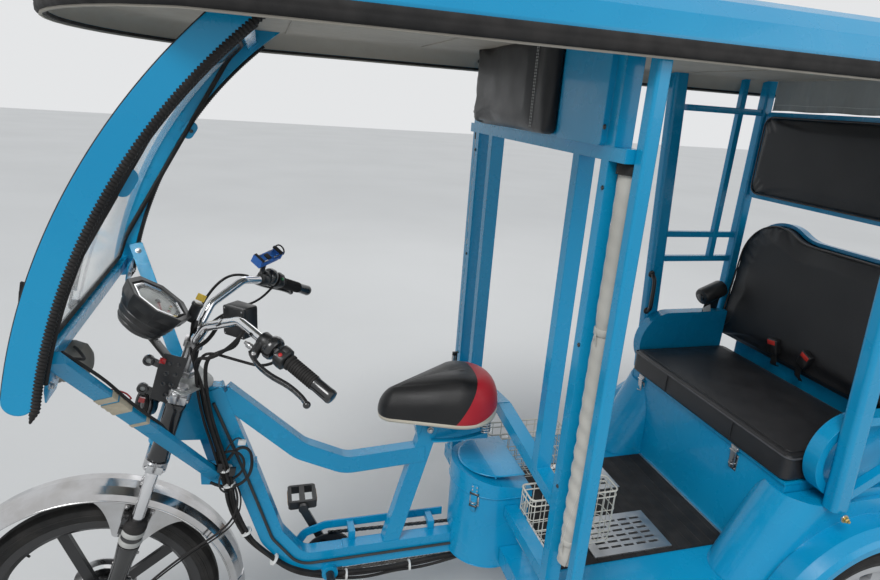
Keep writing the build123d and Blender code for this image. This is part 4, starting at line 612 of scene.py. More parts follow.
def soft_copy(name, node, shrink):
    """Evenly meshed copy of a packed soft node, a little smaller than it."""
    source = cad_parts[node]
    mesh = source.data.copy()
    mesh.name = name
    low, high = (Vector(corner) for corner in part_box(node))
    middle = (low + high) / 2
    for vertex in mesh.vertices:
        for axis in range(3):
            half = (high[axis] - low[axis]) / 2
            vertex.co[axis] = middle[axis] + (vertex.co[axis] - middle[axis]) * (half - shrink) / half
    piece = placed(name, mesh)
    even = piece.modifiers.new("even", "REMESH")
    even.mode = "VOXEL"
    even.voxel_size = VOXEL
    even.use_smooth_shade = True
    bake(piece)
    return piece


def bake(piece):
    """Applies what the piece's modifiers do."""
    made = bpy.data.meshes.new_from_object(piece.evaluated_get(bpy.context.evaluated_depsgraph_get()))
    made.name = piece.name
    piece.modifiers.clear()
    piece.data = made


def swell(piece, held, pressure, most):
    """Blows the pad up with the cloth solver; held(point) says how firmly a point stays."""
    group = piece.vertex_groups.new(name="held")
    for vertex in piece.data.vertices:
        share = held(vertex.co)
        if share > 0:
            group.add([vertex.index], share, "REPLACE")
    start = [vertex.co.copy() for vertex in piece.data.vertices]
    cloth = piece.modifiers.new("cloth", "CLOTH")
    cloth.settings.vertex_group_mass = "held"
    cloth.settings.use_pressure = True
    cloth.settings.uniform_pressure_force = pressure
    cloth.settings.effector_weights.gravity = 0
    cloth.settings.quality = 4
    cloth.point_cache.frame_start = 1
    cloth.point_cache.frame_end = SIM_FRAMES
    for step in range(1, SIM_FRAMES + 1):
        bpy.context.scene.frame_set(step)
    bake(piece)
    for vertex, place in zip(piece.data.vertices, start):
        move = vertex.co - place
        if move.length > most:
            vertex.co = place + move * (most / move.length)
    bpy.context.scene.frame_set(1)
    piece.vertex_groups.clear()


def soft_finish(piece, finish, body, fill, *nodes):
    """Finish, body and stand-in of a pad."""
    piece.data.materials.clear()
    piece.data.materials.append(FINISHES[finish])
    piece.data.polygons.foreach_set("use_smooth", [True] * len(piece.data.polygons))
    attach(piece, body)
    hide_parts(*nodes)


CUSHION_SEAMS = (0.165, -0.165)


def make_bench_cushion():
    """Seat cushion with a piped edge, sewn into a boxed front with two upright seams."""
    low, high = (Vector(c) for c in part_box("bench_cushion"))
    middle = (low + high) / 2
    pipe_z = high.z - 0.012
    piece = soft_copy("bench_cushion_soft", "bench_cushion", 0.004)

    def held(point):
        edge = max(abs(point.y) - (high.y - 0.012), abs(point.x - middle.x) - ((high.x - low.x) / 2 - 0.012))
        if point.z < low.z + 0.012:
            return 1.0
        if edge > 0 and abs(point.z - pipe_z) < 0.006:
            return 0.95
        return 0.0

    swell(piece, held, 4.0, 0.013)
    soft_finish(piece, "leather", "seat_lid", 0.7, "bench_cushion")
    trim = Shape()
    half_x = (high.x - low.x) / 2 - 0.003
    half_y = (high.y - low.y) / 2 - 0.003
    edge = ring_path((middle.x, 0, pipe_z), (1, 0, 0), (0, 1, 0), half_x, half_y, 0.024)
    trim.tube(edge, 0.0030, "piping", 8, loop=True)
    inner = ring_path((middle.x, 0, high.z - 0.001), (1, 0, 0), (0, 1, 0), half_x - 0.020,
                      half_y - 0.020, 0.018)
    trim.tube(inner, 0.0012, "leather", 6, loop=True)
    for y in CUSHION_SEAMS:
        trim.tube([(high.x - 0.003, y, low.z + 0.008), (high.x - 0.001, y, middle.z - 0.006),
                   (high.x - 0.002, y, pipe_z - 0.004)], 0.0016, "leather", 6)
    trim.done("bench_cushion_piping", "seat_lid")


BACK_LEAN_DEG = 6.0
BACK_ORIGIN = Vector((-1.150, 0, 0.815))


def back_axes():
    """Origin, sideways, upward and forward directions of the leaning backrest."""
    lean = math.radians(BACK_LEAN_DEG)
    return BACK_ORIGIN, LEFT, upright(lean + math.pi / 2), upright(lean)


# the backrest's outline: half width, the humps' middle, their top, and the dip between them
BACK_HALF = 0.438
HUMP_Y = 0.290
BACK_TOP = 0.490
BACK_DIP = 0.452
DIP_R = 0.200


def back_outline(grow, low):
    """Edge of the backrest in its own plane, as the solid draws it: sideways and upward places."""
    hump_r = BACK_HALF - HUMP_Y
    hump_z = BACK_TOP - hump_r
    big = hump_r + grow
    dip_r = DIP_R - grow
    dip = BACK_DIP + grow
    rise = dip + dip_r - hump_z
    reach = math.sqrt((big + dip_r) ** 2 - rise ** 2)
    dip_y = HUMP_Y - reach
    join = math.atan2(rise, -reach)
    half = [(HUMP_Y + big, low), (HUMP_Y + big, (low + hump_z) / 2)]
    half += [(HUMP_Y + big * math.cos(join * k / 14), hump_z + big * math.sin(join * k / 14))
             for k in range(15)]
    start = join - math.pi
    half += [(dip_y + dip_r * math.cos(start + (-math.pi / 2 - start) * k / 6),
              dip + dip_r + dip_r * math.sin(start + (-math.pi / 2 - start) * k / 6)) for k in range(1, 7)]
    return half + [(-y, z) for y, z in reversed(half)]


def make_backrest():
    """Backrest pad with a crowned front, piped along its humps."""
    origin, side, up, forward = back_axes()
    outline = back_outline(0.0, 0.0)
    piece = soft_copy("backrest_soft", "backrest_pad", 0.003)

    def held(point):
        depth = (point - origin).dot(forward)
        if depth < -0.028:
            return 1.0
        y, z = abs(point.y), (point - origin).dot(up)
        reach = min(math.hypot(y - abs(a), z - b) for a, b in outline)
        if reach < 0.014 and depth < -0.006:
            return 0.9
        return 0.0

    swell(piece, held, 4.0, 0.016)
    soft_finish(piece, "leather", FRAME, 0.7, "backrest_pad")
    trim = Shape()
    line = [origin + side * y + up * z - forward * 0.004 for y, z in back_outline(-0.004, 0.01)]
    trim.tube(line, 0.0032, "piping_dark", 8)
    trim.done("backrest_piping", FRAME)


def make_head_pad():
    """Pad on the beam ahead of the passengers, with one white stitched seam."""
    low, high = (Vector(c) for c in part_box("head_pad"))
    piece = soft_copy("head_pad_soft", "head_pad", 0.003)
    seam_y = high.y - 0.062

    def held(point):
        if point.x < low.x + 0.012:
            return 1.0
        if point.x > high.x - 0.012 and abs(point.y - seam_y) < 0.004:
            return 0.9
        return 0.0

    swell(piece, held, 4.0, 0.010)
    soft_finish(piece, "leather", FRAME, 0.75, "head_pad")
    trim = Shape()
    stitches = 30
    run = high.z - low.z - 0.03
    for row in (-0.004, 0.004):
        for k in range(stitches):
            z = low.z + 0.015 + run * (k + 0.5) / stitches
            trim.tube([(high.x + 0.0035, seam_y + row, z - run / stitches * 0.32),
                       (high.x + 0.0045, seam_y + row, z),
                       (high.x + 0.0035, seam_y + row, z + run / stitches * 0.32)], 0.0006, "white_tag", 5)
    trim.done("head_pad_stitches", FRAME)


def make_rear_board():
    """Padded board across the back, above the passengers' heads."""
    low, high = (Vector(c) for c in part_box("rear_board_pad"))
    piece = soft_copy("rear_board_soft", "rear_board_pad", 0.002)

    def held(point):
        return 1.0 if point.x < low.x + 0.006 else 0.0

    swell(piece, held, 4.0, 0.008)
    soft_finish(piece, "leather", FRAME, 0.75, "rear_board_pad")
    trim = Shape()
    middle = (low + high) / 2
    edge = ring_path((high.x - 0.003, middle.y, middle.z), (0, 1, 0), (0, 0, 1),
                     (high.y - low.y) / 2 - 0.002, (high.z - low.z) / 2 - 0.002, 0.034)
    trim.tube(edge, 0.0030, "piping_dark", 8, loop=True)
    trim.done("rear_board_piping", FRAME)


# the saddle's two circles in plan: place along the vehicle and radius
SADDLE_REAR = (0.130, 0.112)
SADDLE_NOSE = (0.322, 0.042)
# places in the middle plane that the red band's front edge and the cream shell's top edge pass through
RED_EDGE = (0.113, 0.900)
RED_SLOPE = 0.6
CREAM_EDGE = (0.020, 0.836)
CREAM_SLOPE = 0.30


# share of the height, growth of the outline, and how far it has closed towards the middle
SADDLE_MOST_IN = -0.036
SADDLE_LEVELS = ((0.0, 0.000, 0), (0.10, 0.004, 0), (0.22, 0.0045, 0), (0.36, 0.003, 0), (0.50, 0.000, 0),
                 (0.62, -0.005, 0), (0.73, -0.012, 0), (0.82, -0.021, 0), (0.90, -0.034, 0),
                 (0.95, SADDLE_MOST_IN, 0.14), (0.98, SADDLE_MOST_IN, 0.34), (0.995, SADDLE_MOST_IN, 0.60),
                 (1.0, SADDLE_MOST_IN, 0.92))


def saddle_ring(grow, z, steps=72):
    """Outline of the saddle at a height: two circles and their outer tangents, wider at the rear."""
    (rear_x, rear_r), (nose_x, nose_r) = SADDLE_REAR, SADDLE_NOSE
    tilt = math.asin((rear_r - nose_r) / (nose_x - rear_x))
    ring = []
    for k in range(steps):
        a = math.tau * k / steps
        if abs((a + math.pi) % math.tau - math.pi) < math.pi / 2 - tilt:
            x, r = nose_x, nose_r + grow
        else:
            x, r = rear_x, rear_r + grow
        ring.append(Vector((x + r * math.cos(a), r * math.sin(a), z)))
    return ring


def make_saddle():
    """Saddle: black vinyl top, red band round the rear, cream shell below."""
    low, high = (Vector(c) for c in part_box("saddle"))
    height = high.z - low.z
    rear_x, tip_x = SADDLE_REAR[0], sum(SADDLE_NOSE)
    shape = Shape()
    rings = []
    for lift, grow, closing in (tuple(v) for v in rounded(SADDLE_LEVELS, 3)):
        ring = saddle_ring(max(grow, SADDLE_MOST_IN), low.z + lift * height, 96)
        for point in ring:
            point.x += (rear_x + 0.045 - point.x) * closing
            point.y *= 1 - closing
            ahead = (point.x - rear_x) / (tip_x - rear_x)
            point.z -= max(ahead, 0.0) ** 1.6 * 0.050 * lift
            point.z -= 0.004 * lift * max(0.0, 1 - abs(point.y) / 0.03) * (1 if 0 < ahead < 0.8 else 0)
        rings.append(ring)
    shape.rings(rings, "vinyl_black")
    mesh = shape.mesh
    red, cream = shape.slot("vinyl_red"), shape.slot("cream")
    for place, normal in (((RED_EDGE[0], 0, RED_EDGE[1]), (1, 0, RED_SLOPE)),
                          ((CREAM_EDGE[0], 0, CREAM_EDGE[1]), (CREAM_SLOPE, 0, 1))):
        bmesh.ops.bisect_plane(mesh, geom=mesh.verts[:] + mesh.edges[:] + mesh.faces[:], plane_co=place,
                               plane_no=normal)
    for face in mesh.faces:
        centre = face.calc_center_median()
        if (centre.x - RED_EDGE[0]) + RED_SLOPE * (centre.z - RED_EDGE[1]) < 0:
            face.material_index = red
        if CREAM_SLOPE * (centre.x - CREAM_EDGE[0]) + centre.z - CREAM_EDGE[1] < 0:
            face.material_index = cream
    piece = shape.done("saddle_cover", FRAME, smooth=60)
    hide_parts("saddle")


def make_saddle_shell():
    """Cream plastic shell with a rolled lip under the saddle cover."""
    low, high = (Vector(c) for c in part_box("saddle_base"))
    shape = Shape()
    shape.rings([saddle_ring(grow, z)
                 for grow, z in ((-0.020, low.z), (-0.006, low.z), (0.001, low.z + 0.002),
                                 (0.0035, high.z + 0.002), (0.003, high.z + 0.007),
                                 (-0.001, high.z + 0.0085))], "cream")
    shape.done("saddle_shell", FRAME, smooth=60, replaces=("saddle_base",))


make_bench_cushion()
make_backrest()
make_head_pad()
make_rear_board()
make_saddle()
make_saddle_shell()


# Roof: rubber edge and headlining

ROOF_FRONT = 1.073
ROOF_REAR = -1.330
ROOF_HALF = 0.510
ROOF_EDGE = 1.775
FRONT_RADIUS = 0.600
ROOF_CORNER = 0.060


def round_corners(points, radii, steps=6):
    """Closed outline with an arc of its own radius at each point."""
    count = len(points)
    line = []
    for i, (point, radius) in enumerate(zip(points, radii)):
        here = Vector(point)
        before = (Vector(points[i - 1]) - here).normalized()
        after = (Vector(points[(i + 1) % count]) - here).normalized()
        angle = before.angle(after)
        if radius <= 0 or angle > math.radians(179):
            line.append(here)
            continue
        start, end = here + before * radius / math.tan(angle / 2), here + after * radius / math.tan(angle / 2)
        centre = here + (before + after).normalized() * radius / math.sin(angle / 2)
        for step in range(steps + 1):
            share = (start - centre).lerp(end - centre, step / steps)
            line.append(centre + share.normalized() * radius)
    return line


def evenly(path, spacing, loop=True):
    """The same line with points at an even spacing."""
    points = [Vector(p) for p in path]
    if loop:
        points.append(points[0])
    runs = [(b - a).length for a, b in zip(points, points[1:])]
    total = sum(runs)
    count = max(int(round(total / spacing)), 4)
    line, walked, k = [], 0.0, 0
    for step in range(count + (0 if loop else 1)):
        target = total * step / count
        while k < len(runs) - 1 and walked + runs[k] < target:
            walked += runs[k]
            k += 1
        line.append(points[k].lerp(points[k + 1], (target - walked) / runs[k] if runs[k] else 0.0))
    return line


def roof_ring(grow, z, corner=ROOF_CORNER, arc_steps=14):
    """Edge of the roof in plan, grown by an amount, at a height."""
    half = ROOF_HALF + grow
    front_y = half - 0.060
    centre_x = ROOF_FRONT + grow - FRONT_RADIUS
    turn = math.asin(front_y / FRONT_RADIUS)
    front = [(centre_x + FRONT_RADIUS * math.cos(a), FRONT_RADIUS * math.sin(a), z)
             for a in (-turn + 2 * turn * k / arc_steps for k in range(arc_steps + 1))]
    side_x = front[0][0] - 0.090
    rear_x = ROOF_REAR - grow
    points = front + [(side_x, half, z), (rear_x, half, z), (rear_x, -half, z), (side_x, -half, z)]
    radii = [corner] + [0.0] * (len(front) - 2) + [corner] * 5
    return round_corners(points, radii)


# outward and upward places of the rubber edge and of its pale lip
EDGE_SECTION = ((0.0004, 0.0255), (0.0050, 0.0262), (0.0088, 0.0235), (0.0094, 0.0150), (0.0086, 0.0120),
                (0.0094, 0.0090), (0.0090, -0.0010), (0.0060, -0.0055), (-0.0020, -0.0060),
                (-0.0085, -0.0060), (-0.0088, 0.0010))
LIP_SECTION = ((0.0030, -0.0058), (0.0034, -0.0090), (0.0014, -0.0100), (-0.0016, -0.0098),
               (-0.0020, -0.0058))


def make_roof_edge():
    """Rubber edge with a notched top line and a pale lip below."""
    shape = Shape()
    base = evenly(roof_ring(0.0, ROOF_EDGE), 0.0045)
    count = len(base)
    outward = [(base[(i + 1) % count] - base[i - 1]).normalized().cross(UP) for i in range(count)]
    rings = []
    for k, (out, up) in enumerate(EDGE_SECTION):
        notch = 0.0011 if k in (1, 2) else 0.0
        rings.append([p + o * (out - (notch if i % 2 else 0.0)) + UP * up
                      for i, (p, o) in enumerate(zip(base, outward))])
    shape.rings(rings, "rubber", cap=False)
    lip = [[p + o * out + UP * up for p, o in zip(base, outward)]
           for out, up in LIP_SECTION]
    shape.rings(lip, "lining", cap=False)
    shape.done("roof_rubber_edge", FRAME, smooth=60, replaces=("roof_edge_trim",))


HEADLINING_Z = 1.8185
# growth of the roof's outline and height of each ring, from the rubber edge inwards
HEADLINING_LEVELS = ((-0.0090, 1.7765), (-0.0110, 1.7880), (-0.0160, 1.7990), (-0.0260, 1.8090),
                     (-0.0420, 1.8155), (-0.0600, HEADLINING_Z), (-0.1500, HEADLINING_Z - 0.0005),
                     (-0.2600, HEADLINING_Z - 0.001), (-0.3600, HEADLINING_Z - 0.001),
                     (-0.4200, HEADLINING_Z - 0.001))
HEADLINING_SEAMS = (0.60, 0.20, -0.30, -0.75, -1.10)


def make_headlining():
    """Cloth skin stretched under the roof rails and turned down to the rubber edge."""
    shape = Shape()
    rings = [evenly(roof_ring(grow, z, corner=max(0.012, ROOF_CORNER + grow)), 0.02)
             for grow, z in HEADLINING_LEVELS]
    count = len(rings[0])
    rings = [evenly(ring, sum((b - a).length for a, b in zip(ring, ring[1:] + ring[:1])) / count)
             for ring in rings]
    fewest = min(len(ring) for ring in rings)
    rings = [ring[:fewest] for ring in rings]
    shape.rings(rings, "lining", cap=False)
    shape.mesh.faces.new([shape.mesh.verts.new(p) for p in rings[-1]]).material_index = shape.slot("lining")
    for x in HEADLINING_SEAMS:
        seam = [(x, y, HEADLINING_Z - drop) for y, drop in ((-0.40, 0.0015), (0, 0.0022), (0.40, 0.0015))]
        shape.tube(seam, 0.0022, "lining", 6)
    shape.done("roof_headlining", FRAME, smooth=60)


# Windscreen: its arc in degrees and metres, then rubber, seal, tabs and wiper

SCREEN_R = 1.206
SCREEN_DEPTH = 0.050
SCREEN_LOW = 11.5
SCREEN_TOP = 50.0
GLASS_TOP = 47.9
SCREEN_CENTRE = Vector((-0.0810, 0, 0.8960))
PILLAR_Y = 0.420
PILLAR_HALF = 0.020


def screen_point(angle, radius, y):
    """Point of the windscreen's arc, seen from the side."""
    return SCREEN_CENTRE + upright(math.radians(angle)) * radius + LEFT * y


def screen_line(low, high, radius, y, steps):
    """Line along the windscreen's arc, from one angle to another."""
    return [screen_point(low + (high - low) * k / steps, radius, y) for k in range(steps + 1)]


def make_pillar_rubber(side):
    """Ribbed rubber on the pillar's rear edge and a thin one on its front edge."""
    outer = side * (PILLAR_Y + PILLAR_HALF)
    rear_r = SCREEN_R - SCREEN_DEPTH
    shape = Shape()
    line = screen_line(SCREEN_TOP, SCREEN_LOW, rear_r, outer - side * 0.006, 60)
    down = (line[-1] - line[-2]).normalized()
    line += [line[-1] + down * 0.012, line[-1] + down * 0.026 + Vector((0.002, 0, 0)),
             line[-1] + down * 0.040 + Vector((0.005, 0, 0))]
    ribs = evenly(line, 0.0034, loop=False)
    last = len(ribs) - 1

    def ribbed(share):
        """Radius of the rubber: a rib at every second place, and a taper to its foot."""
        return (0.0080 + 0.0011 * math.cos(share * last * math.pi)) * min(1.0, 0.22 + (1 - share) * last / 9)

    shape.tube(ribs, ribbed, "rubber", 10)
    shape.tube(screen_line(SCREEN_LOW, SCREEN_TOP, SCREEN_R - 0.0005, outer - side * 0.003, 50),
               0.0026, "rubber", 8)
    shape.tube(screen_line(SCREEN_LOW + 1, SCREEN_TOP - 1, rear_r - 0.004,
                           side * (PILLAR_Y - PILLAR_HALF + 0.003), 50), 0.0045, "rubber", 8)
    shape.done("pillar_rubber_" + SIDE_NAME[side], FRAME, smooth=60)


def make_glass_seal():
    """Black seal round the glass, rounded at its corners."""
    shape = Shape()
    half = PILLAR_Y - PILLAR_HALF - 0.004
    radius = SCREEN_R - 0.0185
    corner, low, high = 0.05, SCREEN_LOW + 2.0, GLASS_TOP - 0.3
    turn = math.degrees(corner / radius)
    line = []
    for centre_y, centre_a, start in ((half - corner, low + turn, -90), (half - corner, high - turn, 0),
                                      (-half + corner, high - turn, 90), (-half + corner, low + turn, 180)):
        for k in range(7):
            a = math.radians(start + 15 * k)
            line.append(screen_point(centre_a + turn * math.sin(a), radius, centre_y + corner * math.cos(a)))
    shape.tube(evenly(line, 0.02), 0.0065, "rubber", 8, loop=True)
    shape.done("glass_seal", FRAME, smooth=60)


def make_pillar_tabs():
    """Blue tab with a screw on each pillar."""
    tabs = Shape()
    for side, angle in ((1, 32.0), (-1, 34.0)):
        centre = screen_point(angle, SCREEN_R - SCREEN_DEPTH - 0.010,
                              side * (PILLAR_Y - PILLAR_HALF - 0.002))
        out, along = upright(math.radians(angle)), upright(math.radians(angle + 90))
        ring = ring_path(centre, out, along, 0.017, 0.026, 0.015)
        tabs.plate(ring, (0, -side * 0.003, 0), "blue")
        tabs.screw(centre - out * 0.006 - LEFT * side * 0.003, (0, -side, 0), 0.0055, "black")
    tabs.done("pillar_tabs", FRAME, bevel=0.0008)


WIPER_LOW = SCREEN_LOW + 0.8
WIPER_ARM_SWEEP = 8.0
BLADE_LOW = 14.0
BLADE_SWEEP = 7.5


def make_wiper():
    """Two wiper arms, each with its blade, spindle and nut."""
    shape = Shape()
    for y, lean in ((0.0, 0.0), (0.30, 0.10)):
        foot = screen_point(WIPER_LOW, SCREEN_R + 0.006, y)
        out = upright(math.radians(WIPER_LOW))
        shape.turned(foot - out * 0.014, out, ((0, 0.013), (0.014, 0.013), (0.020, 0.010), (0.022, 0.003)),
                     "plastic", 18)
        shape.bolt(foot + out * 0.004, out, 0.006, "steel")
        arm = [screen_point(WIPER_LOW + WIPER_ARM_SWEEP * k / 8, SCREEN_R + 0.011, y + lean * k / 8)
               for k in range(9)]
        shape.strap(arm, (0, 0.011, 0), 0.004, "black")
        blade = [screen_point(BLADE_LOW + BLADE_SWEEP * k / 12, SCREEN_R + 0.006,
                              y + lean * (0.35 + 0.9 * k / 12)) for k in range(13)]
        shape.strap(blade, (0, 0.007, 0), 0.008, "rubber")
    shape.done("wiper_arms", FRAME, bevel=0.0006, replaces=("wiper",))


# Lamp on the windscreen's lower bar

def make_front_lamp():
    """Round lamp: ribbed grey body, steel clamp band and a clear faceted lens."""
    low, high = (Vector(c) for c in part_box("front_lamp"))
    y, r = (low.y + high.y) / 2, (high.y - low.y) / 2
    z = low.z + r
    shape = Shape()
    back, front = low.x, high.x
    long = front - back
    shape.turned((back, y, z), (1, 0, 0),
                 ((0, r * 0.25), (0.002, r * 0.45), (long * 0.13, r * 0.78), (long * 0.16, r * 0.80),
                  (long * 0.33, r * 0.93), (long * 0.36, r * 0.96), (long * 0.60, r * 0.985),
                  (long * 0.62, r * 0.955), (long * 0.66, r * 0.955), (long * 0.68, r * 0.995),
                  (long * 0.97, r * 0.995), (long * 0.99, r * 0.94), (long * 0.97, r * 0.86)),
                 "lamp_grey", 40)
    shape.turned((back + long * 0.955, y, z), (1, 0, 0),
                 ((0, r * 0.86), (0.002, r * 0.80), (0.0040, r * 0.5), (0.0045, r * 0.2)), "glass", 32)
    shape.turned((back + long * 0.90, y, z), (1, 0, 0),
                 ((0, r * 0.84), (0.0015, r * 0.83), (0.0005, r * 0.6), (-0.008, r * 0.25)), "chrome", 32)
    shape.turned((back + long * 0.70, y, z), (1, 0, 0),
                 ((0, r * 0.9), (0, r * 1.02), (0.006, r * 1.02), (0.006, r * 0.9)), "steel", 36)
    shape.strap([(back + long * 0.5, y, z + r * 0.95), (back + long * 0.5, y, high.z - 0.004),
                 (back + long * 0.5 + 0.014, y, high.z)], (0, 0.024, 0), 0.004, "steel")
    shape.bolt((back + long * 0.5 + 0.002, y + 0.012, z + r + 0.012), (0, 1, 0), 0.007, "steel")
    shape.done("lamp_body", FRAME, smooth=40, replaces=("front_lamp",))


# Instrument head

HEAD_ORIGIN = Vector((0.975, 0.0, 1.088))
HEAD_AXIS = Vector((-0.62, 0, 0.785)).normalized()
HEAD_R = 0.078
HEAD_DEPTH = 0.092


# turned forms of the instrument head, in shares of its depth and radius
BEZEL = ((0.93, 0.84), (0.99, 0.865), (1.03, 0.85), (1.04, 0.80), (1.00, 0.76), (0.94, 0.755))
HOOD = ((0.62, 0.93), (0.80, 1.04), (1.05, 1.10), (1.08, 1.08), (1.05, 0.93), (0.95, 0.90))
DIAL = ((0.94, 0.78), (0.945, 0.5), (0.95, 0))
DIAL_RING = ((0.952, 0.62), (0.956, 0.62), (0.956, 0.58), (0.952, 0.58))
LENS = ((1.005, 0.775), (1.03, 0.74), (1.055, 0.55), (1.065, 0.3), (1.068, 0))


def add_head_ring(shape, shares, finish, sides, hint=(0, 0, 1)):
    """Turned form of the instrument head."""
    profile = [(HEAD_DEPTH * place, HEAD_R * size) for place, size in shares]
    shape.turned(HEAD_ORIGIN, HEAD_AXIS, profile, finish, sides, hint)


def make_instrument_head():
    """Ridged housing, silver bezel, hood and a plain dial with its marks, needle and lamps."""
    shape = Shape()
    r, d = HEAD_R, HEAD_DEPTH
    shape.turned(HEAD_ORIGIN, HEAD_AXIS,
                 ((0.000, r * 0.20), (0.001, r * 0.42), (0.010, r * 0.66), (0.020, r * 0.745),
                  (0.022, r * 0.735), (0.034, r * 0.82), (0.036, r * 0.81), (0.050, r * 0.885),
                  (0.052, r * 0.875), (d * 0.78, r * 0.94), (d * 0.80, r * 0.99), (d * 0.97, r),
                  (d, r * 0.975), (d, r * 0.86), (d * 0.93, r * 0.84)), "plastic_dark", 48)
    add_head_ring(shape, BEZEL, "chrome", 8, hint=(0.38, 0.92, 0))
    add_head_ring(shape, HOOD, "plastic_dark", 8, hint=(0.38, 0.92, 0))
    add_head_ring(shape, DIAL, "dial", 40)
    add_head_ring(shape, DIAL_RING, "white_tag", 40)
    face = HEAD_ORIGIN + HEAD_AXIS * d * 0.957
    side, up = across(HEAD_AXIS)
    for k in range(13):
        a = math.radians(-30 + 240 * k / 12)
        out = side * math.cos(a) + up * math.sin(a)
        shape.block(face + out * r * 0.54, (0.0014, r * 0.075, 0.0008), "white_tag",
                    axes=(out.cross(HEAD_AXIS), out, HEAD_AXIS))
    needle = side * math.cos(math.radians(205)) + up * math.sin(math.radians(205))
    shape.block(face + needle * r * 0.22, (0.0024, r * 0.5, 0.0012), "red_wire",
                axes=(needle.cross(HEAD_AXIS), needle, HEAD_AXIS))
    shape.turned(face, HEAD_AXIS, ((0, r * 0.09), (0.003, r * 0.08), (0.0035, 0)), "plastic_dark", 16)
    for k, finish in enumerate(("red_lamp", "green_lens", "amber_lens")):
        place = face - up * r * 0.42 + side * (k - 1) * r * 0.2
        shape.turned(place, HEAD_AXIS, ((0, r * 0.05), (0.0012, r * 0.045), (0.0016, 0)), finish, 12)
    for k in range(4):
        a = math.radians(45 + 90 * k)
        shape.screw(HEAD_ORIGIN + HEAD_AXIS * d + (side * math.cos(a) + up * math.sin(a)) * r * 0.925,
                    HEAD_AXIS, 0.0028, "steel")
    piece = shape.done("instrument_details", STEERED, smooth=30)
    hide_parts("instrument_head")


def make_instrument_lens():
    """Domed clear lens over the dial."""
    lens = Shape()
    add_head_ring(lens, LENS, "glass", 40)
    lens.done("instrument_lens", STEERED, smooth=60)


def make_instrument_bracket():
    """Strap from the stem to the housing, with its two bolts."""
    bracket = Shape()
    low_point = HEAD_ORIGIN + Vector((-0.018, 0, 0.006))
    foot = Vector((0.885, 0, 0.978))
    bracket.strap([foot, foot + Vector((0.010, 0, 0.012)), low_point], (0, 0.044, 0), 0.006, "black")
    for y in (-0.014, 0.014):
        bracket.bolt(low_point + Vector((-0.030, y, -0.034)), (-0.85, 0, 0.5), 0.006, "steel")
    bracket.done("instrument_bracket", STEERED, bevel=0.0008)


def make_key_switch():
    """Key switch with its key, on a strap below the instrument head."""
    key = Shape()
    place, axis = Vector((0.842, -0.034, 1.120)), Vector((-0.45, 0, 0.89)).normalized()
    key.turned(place, axis, ((-0.030, 0.013), (0.012, 0.013), (0.014, 0.0145), (0.020, 0.0145),
                             (0.022, 0.010)), "plastic_dark", 24)
    key.turned(place, axis, ((0.021, 0.010), (0.024, 0.0095), (0.0245, 0.003)), "steel", 20)
    key.block(place + axis * 0.037, (0.022, 0.003, 0.018), "amber_plastic",
              axes=(LEFT.cross(axis), (0, 1, 0), axis))
    key.strap([Vector((0.842, -0.034, 1.094)), Vector((0.846, -0.028, 1.072)),
               Vector((0.846, -0.014, 1.058))], (0.016, 0, 0.006), 0.004, "black")
    key.done("key_switch", STEERED, bevel=0.0006)


# Handlebar: grips, levers, switch pods, clamps

# the near half of the bar, from its last bend to its end
BAR_BEND, BAR_END = (0.650, 0.262, 1.128), (0.542, 0.360, 1.060)
GRIP_LONG = 0.128
GRIP_RINGS = 11


def bar_end(side):
    """Bar's end point and the direction back toward the middle."""
    end, inner = (Vector((x, side * y, z)) for x, y, z in (BAR_END, BAR_BEND))
    return end, (inner - end).normalized()


def make_grip(side):
    """Rubber grip with rings, and its smooth shiny outer end."""
    end, back = bar_end(side)
    tip = end - back * 0.006
    shape = Shape()
    shape.turned(tip, back, ((0.000, 0.010), (0.002, 0.0145), (0.006, 0.0162), (0.014, 0.0158),
                             (0.046, 0.0152), (0.050, 0.0160), (0.052, 0.0160)), "gloss_black", 28)
    profile = [(0.052, 0.0150)]
    pitch = (GRIP_LONG - 0.063) / GRIP_RINGS
    for k in range(GRIP_RINGS):
        start = 0.053 + pitch * k
        profile += [(start, 0.0148), (start + pitch * 0.18, 0.0166), (start + pitch * 0.62, 0.0166),
                    (start + pitch * 0.80, 0.0148)]
    profile += [(GRIP_LONG - 0.009, 0.0150), (GRIP_LONG - 0.007, 0.0180), (GRIP_LONG - 0.002, 0.0182),
                (GRIP_LONG, 0.0160)]
    shape.turned(tip, back, profile, "rubber", 28)
    return shape.done("grip_" + SIDE_NAME[side], STEERED, smooth=35)


def grip_axes(side):
    """Grip's inner end, and the directions back along the bar, ahead of it and up from it."""
    end, back = bar_end(side)
    ahead = (Vector((1, 0, 0)) - back * back.x).normalized()
    up = back.cross(ahead) * side
    return end + back * (GRIP_LONG - 0.005), back, ahead, up if up.z > 0 else -up


